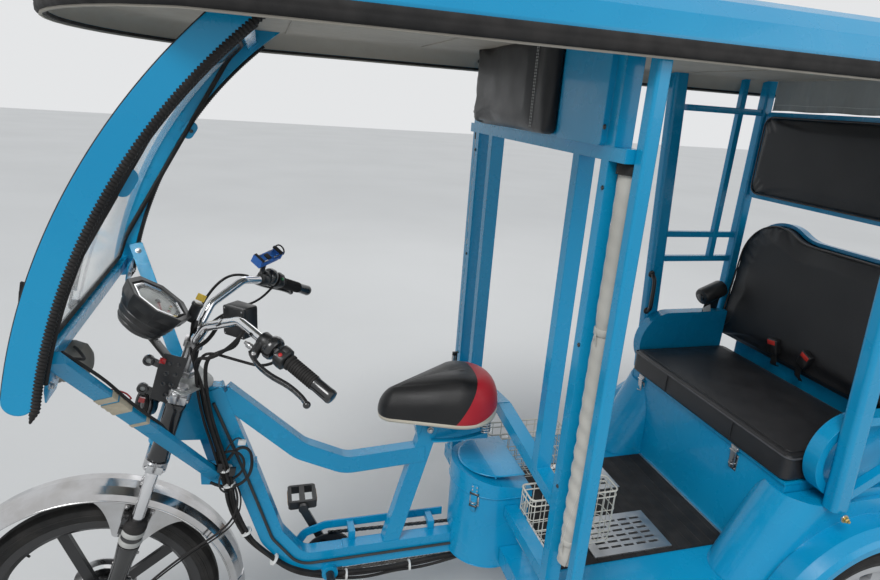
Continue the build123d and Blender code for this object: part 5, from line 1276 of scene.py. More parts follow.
def make_lever(side):
    """Brake lever with its perch, ball end and cable adjuster."""
    start, back, ahead, up = grip_axes(side)
    shape = Shape()
    # clamp ring, perch and lever
    shape.turned(start + back * 0.058, back,
                 ((0, 0.012), (0, 0.0180), (0.002, 0.0195), (0.022, 0.0195), (0.024, 0.0180),
                  (0.024, 0.012)), "plastic_dark", 24)
    perch = start + back * 0.070
    shape.tube(rounded([perch + ahead * 0.012, perch + ahead * 0.028 - back * 0.002,
                        perch + ahead * 0.042 - back * 0.010]), lambda t: 0.0135 - 0.004 * t,
               "plastic_dark", 12)
    pivot = perch + ahead * 0.040 - back * 0.008
    shape.drum(pivot - up * 0.009, up, 0.0075, 0.018, "plastic_dark", 16)
    shape.bolt(pivot + up * 0.009, up, 0.0055, "steel")
    blade = rounded([pivot + back * 0.012, pivot - back * 0.022 + ahead * 0.010,
                     pivot - back * 0.060 + ahead * 0.010, pivot - back * 0.105 + ahead * 0.002,
                     pivot - back * 0.140 + ahead * 0.002, pivot - back * 0.160 + ahead * 0.006], 6)
    shape.strap(blade, up * 0.015, 0.0075, "gloss_black")
    shape.turned(pivot - back * 0.170 + ahead * 0.007, back,
                 [(0.008 - 0.008 * math.cos(math.pi * k / 8), 0.008 * math.sin(math.pi * k / 8) + 0.0004)
                  for k in range(9)], "gloss_black", 16)
    # cable adjuster barrel
    barrel = perch + ahead * 0.030 + back * 0.006
    shape.turned(barrel, back, ((0, 0.0055), (0.006, 0.0055), (0.006, 0.0068), (0.016, 0.0068),
                                (0.016, 0.0045), (0.024, 0.004)), "steel", 12)
    shape.done("lever_" + SIDE_NAME[side], STEERED, bevel=0.0005)


# place through the switch pod and share of its full size
POD_LEVELS = ((-0.0125, 0.86), (-0.0105, 0.97), (0, 1.0), (0.0105, 0.97), (0.0125, 0.86))


def make_switch_pod(side):
    """Switch pod inboard of the lever, with its dome, rocker and buttons."""
    start, back, ahead, up = grip_axes(side)
    pod = Shape()
    centre = start + back * 0.014 + ahead * 0.002 + up * 0.002
    pod.rings([ring_path(centre + back * place, ahead, up, 0.0225 * size, 0.0215 * size, 0.013 * size, 4)
               for place, size in POD_LEVELS], "plastic_dark")
    dome = centre + back * 0.020 + up * 0.004
    pod.turned(dome, back, ((0, 0.0235), (0.004, 0.0265), (0.014, 0.0275), (0.022, 0.0245), (0.026, 0.0170)),
               "gloss_black", 32)
    face = centre + up * 0.0195
    pod.block(face - ahead * 0.008, (0.012, 0.011, 0.006), "plastic", axes=(back, ahead, up))
    pod.turned(face + ahead * 0.009 - up * 0.001, up, ((0, 0.0048), (0.004, 0.0046), (0.005, 0.003)),
               "red_wire", 14)
    rear = centre - ahead * 0.021
    pod.turned(rear + back * 0.002, -ahead, ((0, 0.0050), (0.004, 0.0046), (0.005, 0.002)),
               "amber_lens" if side > 0 else "green_lens", 14)
    pod.screw(face + ahead * 0.015 + back * 0.008, up, 0.0022, "steel")
    pod.done("switch_pod_" + SIDE_NAME[side], STEERED, bevel=0.0006)


# place through the controller box and how far its outline is drawn in, with the groove of its lid
BOX_LEVELS = ((-0.024, 0.002), (-0.022, 0), (0.010, 0), (0.010, 0.0008), (0.0112, 0.0008), (0.0112, 0),
              (0.020, 0), (0.022, 0.002))


def make_bar_box():
    """Small black controller box on the bar, with its lid line, screws, gland and strap."""
    shape = Shape()
    half = 0.033
    centre = Vector((0.728, 0.104, 1.142))
    right, up = Vector((-0.72, 0.69, 0)).normalized(), UP
    normal = right.cross(up).normalized()
    shape.rings([ring_path(centre + normal * place, right, up, half - inset, half + 0.004 - inset, 0.005, 3)
                 for place, inset in BOX_LEVELS], "plastic_dark")
    for a, b in CORNERS:
        shape.screw(centre + normal * 0.0215 + right * a * 0.027 + up * b * 0.031, normal, 0.0022, "steel")
    shape.turned(centre - up * 0.030, -up, ((0, 0.006), (0.010, 0.005), (0.016, 0.0038)), "rubber", 12)
    bar = Vector((0.762, 0.124, 1.1395))
    shape.strap([centre + up * 0.006 - normal * 0.012, bar + UP * 0.013, bar + Vector((0.012, 0.006, 0.0))],
                (0.012, 0.010, 0.0), 0.003, "black")
    shape.done("bar_box", STEERED, bevel=0.0006)


def make_phone_clamp():
    """Blue spring clamp on the far side of the bar, with its black jaws and arm."""
    shape = Shape()
    base = Vector((0.676, -0.226, 1.139))
    centre = Vector((0.664, -0.252, 1.196))
    right, normal = Vector((-0.62, -0.70, 0.10)).normalized(), Vector((-0.35, 0.42, 0.84)).normalized()
    up = normal.cross(right).normalized()
    shape.tube(rounded([base, base + Vector((0.002, -0.008, 0.020)), centre - normal * 0.012]), 0.0070,
               "plastic_dark", 12)
    along_bar = Vector((-0.62, -0.70, -0.35)).normalized()
    shape.turned(base - along_bar * 0.012, along_bar,
                 ((0, 0.012), (0, 0.0165), (0.024, 0.0165), (0.024, 0.012)), "plastic_dark", 20)
    shape.rings([ring_path(centre + normal * place, right, up, 0.040 * size, 0.0175 * size, 0.008, 3)
                 for place, size in ((-0.008, 0.92), (-0.006, 1.0), (0.004, 1.0), (0.006, 0.94))],
                "blue_plastic")
    for end in (-1, 1):
        jaw = centre + right * end * 0.043
        shape.block(jaw + normal * 0.006, (0.008, 0.034, 0.026), "blue_plastic", axes=(right, up, normal))
        shape.block(jaw + normal * 0.017 - right * end * 0.003, (0.010, 0.034, 0.006), "rubber",
                    axes=(right, up, normal))
        for a in (-0.013, 0.013):
            shape.tube([jaw + normal * 0.010 + up * a, jaw + normal * 0.010 + up * a - right * end * 0.030],
                       0.0018, "steel", 8)
    shape.block(centre + normal * 0.008, (0.016, 0.020, 0.003), "rubber", axes=(right, up, normal))
    loop = [centre + right * 0.046 + up * (0.016 * math.cos(a)) + normal
            * (0.014 + 0.014 * math.sin(a)) + right * 0.004 for a in (math.tau * k / 16 for k in range(16))]
    shape.tube(loop, 0.0024, "rubber", 8, loop=True)
    shape.done("phone_clamp", STEERED, bevel=0.0007)


make_roof_edge()
make_headlining()
for side in (1, -1):
    make_pillar_rubber(side)
make_glass_seal()
make_pillar_tabs()
make_wiper()
make_front_lamp()
make_instrument_head()
make_instrument_lens()
make_instrument_bracket()
make_key_switch()
grips = [make_grip(side) for side in (1, -1)]
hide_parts("handlebar_grips")
for side in (1, -1):
    make_lever(side)
    make_switch_pod(side)
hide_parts("bar_controls")
make_bar_box()
make_phone_clamp()


# Front fork, seen from its steering axis

RAKE = math.radians(18.9)
STEM = Vector((0.850, 0, 1.020))
STEER_UP = Vector((-math.sin(RAKE), 0, math.cos(RAKE)))
STEER_AHEAD = Vector((math.cos(RAKE), 0, math.sin(RAKE)))
STEER_AXES = (STEER_AHEAD, (0, 1, 0), STEER_UP)
FRONT_AXLE = Vector((1.120, 0, 0.305))
LEG_Y = 0.076
CROWN_THICK = 0.028
UPPER_CROWN = -0.0947
LOWER_CROWN = -0.2913
SLIDER_LOW = -0.7859
SLIDER_TOP = -0.4759


# places along the steering axis and radii of the sleeve and the dust boot
SLEEVE = ((0, 0.0235), (0.006, 0.0245), (0.014, 0.0225), (0.060, 0.0220), (0.064, 0.0232), (0.070, 0.0220),
          (0.128, 0.0220), (0.146, 0.0225), (0.154, 0.0245), (0.162, 0.0235))
BOOT = ((0, 0.0272), (0.006, 0.0285), (0.016, 0.0285), (0.022, 0.0265), (0.025, 0.0205), (0.027, 0.0160))


def steer(ahead, y, up):
    """Point given along the steering axis."""
    return STEM + STEER_AHEAD * ahead + LEFT * y + STEER_UP * up


def add_leg(shape, y):
    """Black sleeve below the crown, gloss lower leg, ring seals and chrome stanchion."""
    shape.turned(steer(0, y, LOWER_CROWN + CROWN_THICK), STEER_UP, SLEEVE, "gloss_black", 36)
    legs = SLIDER_TOP - SLIDER_LOW
    shape.turned(steer(0, y, SLIDER_LOW), STEER_UP,
                 ((0, 0.0150), (0.003, 0.0215), (0.012, 0.0230), (legs - 0.100, 0.0228),
                  (legs - 0.066, 0.0262), (legs - 0.050, 0.0272), (legs - 0.0442, 0.0272),
                  (legs - 0.0442, 0.0236)), "gloss_black", 40)
    for low, high in ((-0.0420, -0.0262), (-0.0150, 0.0008)):
        shape.turned(steer(0, y, SLIDER_TOP + low), STEER_UP,
                     ((0, 0.0240), (0.0012, 0.0272), (0.0040, 0.0284), (high - low - 0.004, 0.0284),
                      (high - low - 0.0012, 0.0272), (high - low, 0.0240)), "seal_grey", 40)
    shape.drum(steer(0, y, SLIDER_TOP - 0.0262), STEER_UP, 0.0262, 0.0112, "gloss_black", 36)
    shape.turned(steer(0, y, SLIDER_TOP + 0.0008), STEER_UP, BOOT, "rubber", 36)
    shape.turned(steer(0, y, SLIDER_TOP + 0.012), STEER_UP,
                 ((0, 0.0152), (LOWER_CROWN - SLIDER_TOP - 0.014, 0.0152)), "chrome", 36)


def add_leg_bolts(shape, y):
    """Bleed screw, lower clamp bolts, bosses behind the leg and lugs under the seal."""
    shape.screw(steer(0.0225, y, SLIDER_LOW + 0.20), STEER_AHEAD, 0.0040, "steel")
    for up in (0.004, 0.040):
        shape.bolt(steer(0.0360, y, SLIDER_LOW + up), STEER_AHEAD, 0.0060, "steel")
    for up in (0.11, 0.15):
        shape.turned(steer(-0.020, y, SLIDER_LOW + up), -STEER_AHEAD, ((0, 0.011), (0.012, 0.010)),
                     "gloss_black", 16)
        shape.bolt(steer(-0.032, y, SLIDER_LOW + up), -STEER_AHEAD, 0.0058, "steel")
    for up in (-0.006, 0.022):
        shape.block(steer(0.028, y, SLIDER_TOP + up), (0.014, 0.020, 0.016), "gloss_black",
                    axes=STEER_AXES)


def add_crown_ears(shape, side):
    """Axle nut on its washer, and the ears at each crown's slot with their pinch bolts."""
    outer = FRONT_AXLE + LEFT * side * 0.090
    shape.drum(outer, (0, side, 0), 0.016, 0.0025, "steel", 28)
    shape.turned(outer + LEFT * side * 0.0025, (0, side, 0), ((0, 0.0125), (0.008, 0.0125), (0.0095, 0.011)),
                 "steel", 6)
    for crown in (UPPER_CROWN, LOWER_CROWN):
        middle = crown + CROWN_THICK / 2
        for ahead in (-0.0115, 0.0115):
            shape.block(steer(ahead, side * 0.1015, middle), (0.015, 0.018, 0.020), "alloy",
                        axes=STEER_AXES)
        shape.bolt(steer(0.0190, side * 0.1035, middle), STEER_AHEAD, 0.0068, "stainless")
        shape.bolt(steer(-0.0190, side * 0.1035, middle), -STEER_AHEAD, 0.0062, "stainless")


def make_fork_legs():
    """Both legs, with what is fixed to them."""
    shape = Shape()
    for side in (1, -1):
        add_leg(shape, side * LEG_Y)
        add_leg_bolts(shape, side * LEG_Y)
        add_crown_ears(shape, side)
    shape.done("fork_legs", STEERED, bevel=0.0008, smooth=35)


# the upper crown's cast rim: places ahead of the steering axis and sideways
CROWN_RIM = ((0.027, 0.080), (0.030, 0.030), (0.030, -0.030), (0.027, -0.080), (0.004, -0.1035),
             (-0.018, -0.098), (-0.040, -0.060), (-0.066, -0.030), (-0.072, 0.0), (-0.066, 0.030),
             (-0.040, 0.060), (-0.018, 0.098), (0.004, 0.1035))


def make_crown_dress():
    """Cast plates and collars on the crowns, the stem nut and its washer, and two stem rings."""
    shape = Shape()
    for crown, face, lift in ((UPPER_CROWN, 1, CROWN_THICK), (LOWER_CROWN, -1, 0.0)):
        for y0, y1 in ((-0.052, -0.024), (0.024, 0.052)):
            outline = [steer(a, y, crown + lift)
                       for a, y in ((-0.018, y0), (0.018, y0), (0.018, y1), (-0.018, y1))]
            shape.plate(outline, STEER_UP * face * 0.0025, "alloy")
        if face > 0:
            shape.rings([rounded([steer(a * narrow, y * short, crown + lift + up) for a, y in CROWN_RIM], 4,
                                 loop=True) for narrow, short, up in ((1, 1, -0.001), (1, 1, 0.002),
                                                                      (0.90, 0.93, 0.0045))], "cast_grey")
        for side in (1, -1):
            shape.turned(steer(0, side * LEG_Y, crown + lift), STEER_UP * face,
                         ((0, 0.0255), (0.003, 0.0255), (0.004, 0.0245), (0.004, 0.0160)), "alloy", 36)
    shape.turned(steer(0, 0, UPPER_CROWN + CROWN_THICK), STEER_UP,
                 ((0, 0.0235), (0.004, 0.0235), (0.005, 0.0225)), "steel", 30)
    shape.turned(steer(0, 0, UPPER_CROWN + CROWN_THICK + 0.005), STEER_UP,
                 ((0, 0.0222), (0.012, 0.0222), (0.0135, 0.0205)), "steel", 6)
    for w in (-0.2633, -0.0950):
        shape.turned(steer(0, 0, w - 0.004), STEER_UP,
                     ((0, 0.0300), (0.001, 0.0312), (0.007, 0.0312), (0.008, 0.0300)), "steel", 36)
    shape.done("crown_dress", STEERED, bevel=0.0007, smooth=35)


def around_wheel(degrees, radius, y):
    """Point round the front axle; 90 degrees is on top."""
    return FRONT_AXLE + upright(math.radians(degrees)) * radius + LEFT * y


FENDER_LIP = 0.343
STAY_MIDDLE = 113.0


STAY_SPREAD = 26.0
STAY_STEPS = 44
STAY_DEEP = 0.112
STAY_FLAT = 0.34
STAY_THICK = 0.0018


def stay_ring(side, share):
    """Section of a stay; share runs from -1 to 1 along the lip."""
    reach = abs(share)
    drop = STAY_DEEP
    if reach >= STAY_FLAT:
        drop = STAY_DEEP * (1 - math.sin(min(1.0, (reach - STAY_FLAT) / 0.50) * math.pi / 2)) + 0.004
    rib = 0.0045 * max(0.0, 1 - abs(reach - 0.27) / 0.055)
    outer = side * (0.0500 + rib * 0.35)
    radii = [FENDER_LIP + 0.004 - drop * part for part in (0, 0.25, 0.5, 0.75, 1.0)]
    angle = STAY_MIDDLE - share * STAY_SPREAD
    return ([around_wheel(angle, radius, outer) for radius in radii]
            + [around_wheel(angle, radius, outer - side * STAY_THICK) for radius in reversed(radii)])


def make_fender_stays():
    """Pressed stay below each fender edge, ribbed, widening to the lip, and the rolled lips."""
    for side in (1, -1):
        shape = Shape()
        shape.rings([stay_ring(side, -1 + 2 * k / STAY_STEPS) for k in range(STAY_STEPS + 1)], "stainless")
        for angle in (STAY_MIDDLE - 5.5, STAY_MIDDLE + 5.5):
            for radius in (0.330, 0.262):
                shape.bolt(around_wheel(angle, radius, side * 0.0512), (0, side, 0), 0.0062, "steel")
        lip = [around_wheel(-1.5 + 3.0 * k, FENDER_LIP - 0.0005, side * 0.0528) for k in range(1, 64)]
        shape.tube(lip, 0.0026, "stainless", 8)
        shape.done("fender_stay_" + SIDE_NAME[side], STEERED, smooth=50)


def make_fender_tail():
    """Flared end of the fender, with a thin flap edge, and the arch bolts on its crown."""
    shape = Shape()
    rings = []
    for k in range(9):
        angle = 176 + 11.5 * k / 8
        flare = (k / 8) ** 1.6
        half = 0.0545 + 0.010 * flare
        turns = [math.pi * j / 16 for j in range(17)]
        rings.append([around_wheel(angle, FENDER_LIP - 0.001 + (crown + 0.004 * flare) * math.sin(a),
                                   -wide * math.cos(a))
                      for crown, wide, way in ((0.0335, half, 1), (0.0322, half - 0.0013, -1))
                      for a in turns[::way]])
    shape.rings(rings, "stainless")
    shape.tube([rings[-1][j] for j in range(17)], 0.0022, "stainless", 8)
    for y in (-0.014, 0.014):
        shape.bolt(around_wheel(110.5, FENDER_LIP + 0.0335, y), around_wheel(110.5, 1.0, 0) - FRONT_AXLE,
                   0.0065, "steel")
    shape.done("fender_tail", STEERED, smooth=50)


# Cables: each follows a smooth line through a few places

def spline_line(points, resolution=8):
    """Points read along a smooth spline with the given places as its control points."""
    curve = bpy.data.curves.new("line", "CURVE")
    curve.dimensions = "3D"
    curve.resolution_u = resolution
    spline = curve.splines.new("NURBS")
    spline.points.add(len(points) - 1)
    for point, place in zip(spline.points, points):
        point.co = (*place, 1.0)
    spline.order_u = 3
    spline.use_endpoint_u = True
    holder = bpy.data.objects.new("line", curve)
    mesh = bpy.data.meshes.new_from_object(holder)
    line = [vertex.co.copy() for vertex in mesh.vertices]
    bpy.data.objects.remove(holder)
    bpy.data.meshes.remove(mesh)
    bpy.data.curves.remove(curve)
    return line


def cable(strands, sides=8):
    """Shape of several cables: each is (places, radius, finish)."""
    shape = Shape()
    for places, radius, finish in strands:
        shape.tube(spline_line(places), radius, finish, sides)
    return shape


# The bar cables' common way down, and each one's places above it, shift beside it and radius:
# near lever, switch, throttle and controller, then far lever and switch
BAR_DOWN = ((0.828, 0.050, 0.960), (0.818, 0.047, 0.860), (0.800, 0.045, 0.780), (0.786, 0.045, 0.715),
            (0.772, 0.044, 0.640))
BAR_CABLES = (
    (((0.716, 0.211, 1.155), (0.728, 0.203, 1.136), (0.758, 0.170, 1.095), (0.797, 0.130, 1.057),
      (0.826, 0.094, 1.046), (0.838, 0.066, 1.012)), (0.000, 0.000), 0.0042),
    (((0.636, 0.270, 1.120), (0.664, 0.238, 1.074), (0.742, 0.176, 1.074), (0.806, 0.104, 1.066),
      (0.832, 0.066, 1.018)), (0.011, 0.004), 0.0034),
    (((0.730, 0.090, 1.112), (0.732, 0.086, 1.070), (0.776, 0.074, 1.050), (0.812, 0.062, 1.030)),
     (-0.010, 0.005), 0.0048),
    (((0.758, 0.070, 1.146), (0.776, 0.062, 1.126), (0.792, 0.056, 1.092), (0.814, 0.050, 1.064),
      (0.838, 0.048, 1.052), (0.842, 0.046, 1.010)), (0.004, -0.011), 0.0050),
    (((0.716, -0.211, 1.155), (0.746, -0.184, 1.172), (0.788, -0.134, 1.166), (0.827, -0.066, 1.128),
      (0.850, -0.010, 1.080), (0.852, 0.030, 1.030)), (-0.005, 0.013), 0.0036),
    (((0.636, -0.270, 1.120), (0.676, -0.236, 1.074), (0.756, -0.150, 1.080), (0.818, -0.060, 1.070),
      (0.840, 0.022, 1.020)), (0.013, -0.007), 0.0034),
)


def make_bar_cables():
    """Cables from the bar controls down to the frame."""
    strands = [(start + tuple((x + dx, y + dy, z) for x, y, z in BAR_DOWN), radius, "rubber")
               for start, (dx, dy), radius in BAR_CABLES]
    piece = cable(strands).done("bar_cables", None, smooth=60)
    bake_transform(piece)


BRAKE_LINE = ((0.786, 0.030, 0.700), (0.757, 0.048, 0.652), (0.750, 0.058, 0.594), (0.770, 0.064, 0.545),
              (0.817, 0.072, 0.510), (0.876, 0.082, 0.482), (0.939, 0.094, 0.443), (0.990, 0.101, 0.402),
              (1.045, 0.099, 0.352), (1.086, 0.085, 0.318))
SPEED_LINE = ((0.782, 0.022, 0.690), (0.748, 0.040, 0.640), (0.742, 0.052, 0.585), (0.764, 0.060, 0.533),
              (0.815, 0.067, 0.497), (0.880, 0.077, 0.466), (0.945, 0.092, 0.428), (0.999, 0.103, 0.388),
              (1.058, 0.101, 0.336), (1.094, 0.088, 0.305))


def make_wheel_cable():
    """Brake line and speed lead from the frame's bundle down to the front hub, outside the leg."""
    piece = cable(((BRAKE_LINE, 0.0030, "rubber"), (SPEED_LINE, 0.0022, "rubber"))).done("wheel_cable",
                                                                                         None, smooth=60)
    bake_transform(piece)


LOOM_LINE = ((0.790, 0.036, 0.745), (0.782, 0.040, 0.700), (0.772, 0.040, 0.640), (0.768, 0.034, 0.580),
             (0.748, 0.030, 0.510), (0.722, 0.030, 0.450), (0.672, 0.029, 0.385), (0.610, 0.028, 0.322),
             (0.520, 0.024, 0.284), (0.400, 0.018, 0.266), (0.300, 0.012, 0.262), (0.200, 0.010, 0.266),
             (0.095, 0.010, 0.276))
# shift, drop between ties and radius of each strand
LOOM_STRANDS = ((0, 0, 0.004, 0.0060), (0.010, 0.007, -0.006, 0.0048), (-0.008, 0.009, 0.012, 0.0046),
                (0.004, -0.007, -0.002, 0.0052))
LOOM_LOOPS = ((((0.772, 0.046, 0.728), (0.748, 0.060, 0.775), (0.712, 0.068, 0.768), (0.712, 0.068, 0.700),
                (0.742, 0.060, 0.655), (0.790, 0.050, 0.645), (0.820, 0.040, 0.660)), 0.0040, "rubber"),
              (((0.790, 0.042, 0.742), (0.765, 0.062, 0.770), (0.730, 0.060, 0.742), (0.735, 0.060, 0.690),
                (0.770, 0.048, 0.665)), 0.0034, "rubber"),
              (((0.778, 0.050, 0.756), (0.760, 0.064, 0.796), (0.736, 0.066, 0.806), (0.730, 0.060, 0.778)),
               0.0018, "plastic_dark"),
              (((0.784, 0.040, 0.700), (0.800, 0.056, 0.672), (0.792, 0.060, 0.640), (0.776, 0.050, 0.628)),
               0.0026, "plastic_dark"), )
LOOM_TIES = (((0.779, 0.044, 0.700), (0.2, 0, 1)), ((0.773, 0.044, 0.652), (0.2, 0, 1)),
             ((0.735, 0.030, 0.480), (0.4, 0, 1)), ((0.660, 0.030, 0.372), (0.75, 0, 0.6)),
             ((0.450, 0.022, 0.272), (1, 0, 0.1)), ((0.250, 0.012, 0.263), (1, 0, 0)))
LOOM_TIE = ((0, 0.0160), (0.0004, 0.0172), (0.0056, 0.0172), (0.006, 0.0160))
CONNECTORS = (((0.762, 0.060, 0.700), (0.016, 0.010, 0.024), "plastic_dark"),
              ((0.792, 0.054, 0.712), (0.013, 0.010, 0.026), "plastic_dark"),
              ((0.735, 0.068, 0.790), (0.020, 0.008, 0.014), "white_tag"))


def loom_strand(dx, dy, sag):
    """One strand of the bundle: shifted beside its line, and hanging between the ties of the lower tube."""
    line = []
    for i, (x, y, z) in enumerate(LOOM_LINE):
        drop = sag if i > 7 and i % 2 else 0
        line.append((x + dx * (0.5 if i > 5 else 1), y + dy * 0.7, z + dx * 0.6 - drop))
    return line


def make_frame_loom():
    """Bundle beside the down tube and along the lower tube, with its loops, ties and connectors."""
    strands = [(loom_strand(dx, dy, sag), radius, "rubber") for dx, dy, sag, radius in LOOM_STRANDS]
    shape = cable(strands + list(LOOM_LOOPS))
    for centre, axis in LOOM_TIES:
        shape.turned(Vector(centre) - Vector(axis).normalized() * 0.003, axis, LOOM_TIE, "white_tag", 20)
    for centre, size, finish in CONNECTORS:
        shape.block(centre, size, finish, axes=((0.9, 0.2, 0.2), (0, 1, 0.1), (-0.2, 0, 1)))
    shape.done("frame_loom", FRAME, bevel=0.0005, smooth=60)


STRUT_TOP = (1.0343, 0.404, 1.200)
STRUT_FOOT = (0.798, 0.010, 0.650)
# start, end, thickness and unevenness of each tape, in shares of the strut's length and metres
STRUT_TAPES = ((0.235, 0.262, 0.0012, 0.0004), (0.270, 0.335, 0.0016, 0.0006),
               (0.415, 0.432, 0.0012, 0.0003))
# share of the strut's length, place across it and height over it, for each lead
STRUT_LEADS = (
    (((0.02, -0.014, 0.012), (0.12, -0.018, 0.014), (0.20, -0.024, 0.010), (0.29, -0.022, 0.006),
      (0.40, -0.024, 0.003), (0.50, -0.019, 0.011), (0.58, -0.006, 0.013), (0.66, 0.004, 0.012),
      (0.76, 0.002, 0.012), (0.86, -0.010, 0.011), (0.94, -0.016, 0.011)), 0.0034, "rubber"),
    (((0.05, 0.002, 0.011), (0.16, -0.002, 0.012), (0.30, -0.008, 0.013), (0.40, -0.012, 0.011),
      (0.52, -0.008, 0.010), (0.62, 0.006, 0.010), (0.68, 0.014, 0.012)), 0.0018, "red_wire"),
    (((0.24, -0.006, 0.014), (0.275, -0.022, 0.018), (0.30, -0.030, 0.008), (0.32, -0.018, 0.016),
      (0.34, -0.004, 0.014)), 0.0018, "red_wire"),
)


def strut_axes(side):
    """Along the windscreen strut, its broad side and its thin side."""
    top, foot = (Vector((x, side * y, z)) for x, y, z in (STRUT_TOP, STRUT_FOOT))
    along = (foot - top).normalized()
    thin = along.cross(Vector((1, 0, 0))).normalized()
    broad = thin.cross(along).normalized()
    if thin.z < 0:
        thin = -thin
    return top, foot, along, broad, thin


def make_strut_dress():
    """Bolts of both struts, and the masking tape and leads along the near one."""
    shape = Shape()
    for side in (1, -1):
        top, foot, along, broad, thin = strut_axes(side)
        for share in (0.035, 0.955):
            shape.bolt(top + (foot - top) * share + thin * 0.0072, thin, 0.0085, "steel")
    top, foot, along, broad, thin = strut_axes(1)
    long = (foot - top).length

    def wrap(start, end, grow, ragged):
        """Tape wound on the strut from one share of its length to another."""
        rings = []
        for k in range(9):
            place = top + along * long * (start + (end - start) * k / 8)
            size = grow + ragged * math.sin(k * 2.1)
            rings.append([place + broad * (x * (0.0182 + size)) + thin * (y * (0.0072 + size))
                          for x, y in ((1, 0.92), (0.96, 1), (-0.96, 1), (-1, 0.92), (-1, -0.92),
                                       (-0.96, -1), (0.96, -1), (1, -0.92))])
        shape.rings(rings, "tape")

    for turns in STRUT_TAPES:
        wrap(*turns)
    for points, size, finish in STRUT_LEADS:
        line = [top + along * long * t + broad * b + thin * h for t, b, h in points]
        shape.tube(spline_line(line), size, finish, 8)
    shape.done("strut_dress", FRAME, bevel=0.0004, smooth=45)


def add_lamp_ears(shape):
    """Cast lamp ears on the upper sleeves, each with a round eye."""
    for up, reach in ((0.080, 0.088), (0.006, 0.082)):
        centre = steer(reach, 0.070, UPPER_CROWN + up)
        inner = steer(0.026, 0.076, UPPER_CROWN + up - 0.010)
        shape.strap([inner, (inner + centre) / 2 + UP * 0.002, centre - STEER_AHEAD * 0.008],
                    STEER_UP * 0.018, 0.006, "gloss_black")
        shape.turned(centre - LEFT * 0.006, (0, 1, 0),
                     ((0, 0.0070), (0, 0.0128), (0.012, 0.0128), (0.012, 0.0070), (0.002, 0.0066)),
                     "gloss_black", 28)
        shape.drum(centre - LEFT * 0.004, (0, 1, 0), 0.0066, 0.006, "cast_grey", 22)


def add_horn(shape):
    """Horn: a ringed dish on its bracket below the upper crown."""
    horn = steer(0.072, 0.030, UPPER_CROWN - 0.058)
    face = (STEER_AHEAD + Vector((0, 0.55, 0.1))).normalized()
    shape.turned(horn - face * 0.030, face,
                 ((0, 0.012), (0.002, 0.024), (0.012, 0.028), (0.020, 0.038), (0.024, 0.041), (0.030, 0.041),
                  (0.032, 0.038), (0.028, 0.030), (0.030, 0.012), (0.033, 0.004)), "gloss_black", 40)
    for radius in (0.018, 0.024, 0.030):
        shape.turned(horn + face * 0.0005, face,
                     ((0, radius - 0.0012), (0.0020, radius), (0, radius + 0.0012)), "plastic_dark", 36)
    shape.strap([horn - face * 0.030, horn - face * 0.030 + STEER_UP * 0.030 - STEER_AHEAD * 0.016,
                 steer(0.024, 0.020, UPPER_CROWN - 0.004)], (0, 0.018, 0), 0.003, "black")


def make_head_fittings():
    """Perforated bracket, lamp ears, horn and red reflectors carried by the upper crown."""
    shape = Shape()
    corners = [(0.006, 0.060), (0.060, 0.060), (0.064, 0.020), (0.060, -0.060), (0.010, -0.066)]
    outline = [steer(ahead, 0.086, UPPER_CROWN + 0.055 + up) for ahead, up in corners]
    shape.plate(outline, (0, 0.004, 0), "plastic_dark")
    for ahead, up in ((0.022, 0.040), (0.040, 0.040), (0.022, 0.014), (0.042, 0.012), (0.024, -0.014),
                      (0.042, -0.016), (0.030, -0.044)):
        centre = steer(ahead, 0.0900, UPPER_CROWN + 0.055 + up)
        shape.turned(centre, (0, 1, 0), ((0, 0.0064), (0.0012, 0.0064), (0.0012, 0.0048), (0.0002, 0.0044)),
                     "gloss_black", 18)
    add_lamp_ears(shape)
    add_horn(shape)
    for place in (steer(0.058, 0.094, UPPER_CROWN + 0.098), steer(0.076, 0.060, UPPER_CROWN - 0.030)):
        shape.block(place, (0.014, 0.008, 0.012), "red_lamp", axes=STEER_AXES)
    shape.done("head_fittings", STEERED, bevel=0.0006, smooth=40)


def make_cross_apron():
    """Apron tabs, their bolts and the wiper lead on the lower screen bar."""
    shape = Shape()
    for side in (1, -1):
        middle = screen_point(SCREEN_LOW + 1.2, SCREEN_R - SCREEN_DEPTH - 0.001, side * 0.352)
        out, along = -upright(math.radians(SCREEN_LOW)), upright(math.radians(SCREEN_LOW + 90))
        right = LEFT * side
        outline = [middle + right * a + along * b
                   for a, b in ((-0.044, 0.012), (0.046, 0.012), (0.046, -0.022), (0.030, -0.052),
                                (-0.028, -0.052), (-0.044, -0.030))]
        shape.plate(outline, out * 0.003, "blue")
        for a in (-0.020, 0.024):
            shape.bolt(middle + right * a + out * 0.003 - along * 0.020, out, 0.0078, "steel")
    lead = [(1.040, 0.300, 1.150), (1.022, 0.262, 1.128), (1.028, 0.222, 1.112), (1.048, 0.190, 1.120),
            (1.060, 0.170, 1.118)]
    shape.tube(spline_line(lead), 0.0032, "rubber", 8)
    shape.done("apron_tabs", FRAME, bevel=0.0005, smooth=40)


make_fork_legs()
make_crown_dress()
make_fender_stays()
make_fender_tail()
make_bar_cables()
make_wheel_cable()
make_frame_loom()
make_strut_dress()
make_head_fittings()
make_cross_apron()


# Rolled side curtains: a sheet wound on itself, tied below and at mid height

CURTAIN_X = -0.035
CURTAIN_Y = 0.437
CURTAIN_LOW = 0.603
CURTAIN_HIGH = 1.572
CURTAIN_OUT = 0.0270
CURTAIN_IN = 0.0090
CURTAIN_TURNS = 4.0
CURTAIN_TIES = (0.665, 1.215)


def curtain_size(z):
    """How full the roll is at a height: drawn in at its ties and at both ends."""
    size = 1.0
    for tie in CURTAIN_TIES:
        size -= 0.20 * math.exp(-((z - tie) / 0.020) ** 2)
    size -= 0.10 * math.exp(-((z - CURTAIN_HIGH) / 0.016) ** 2)
    return size


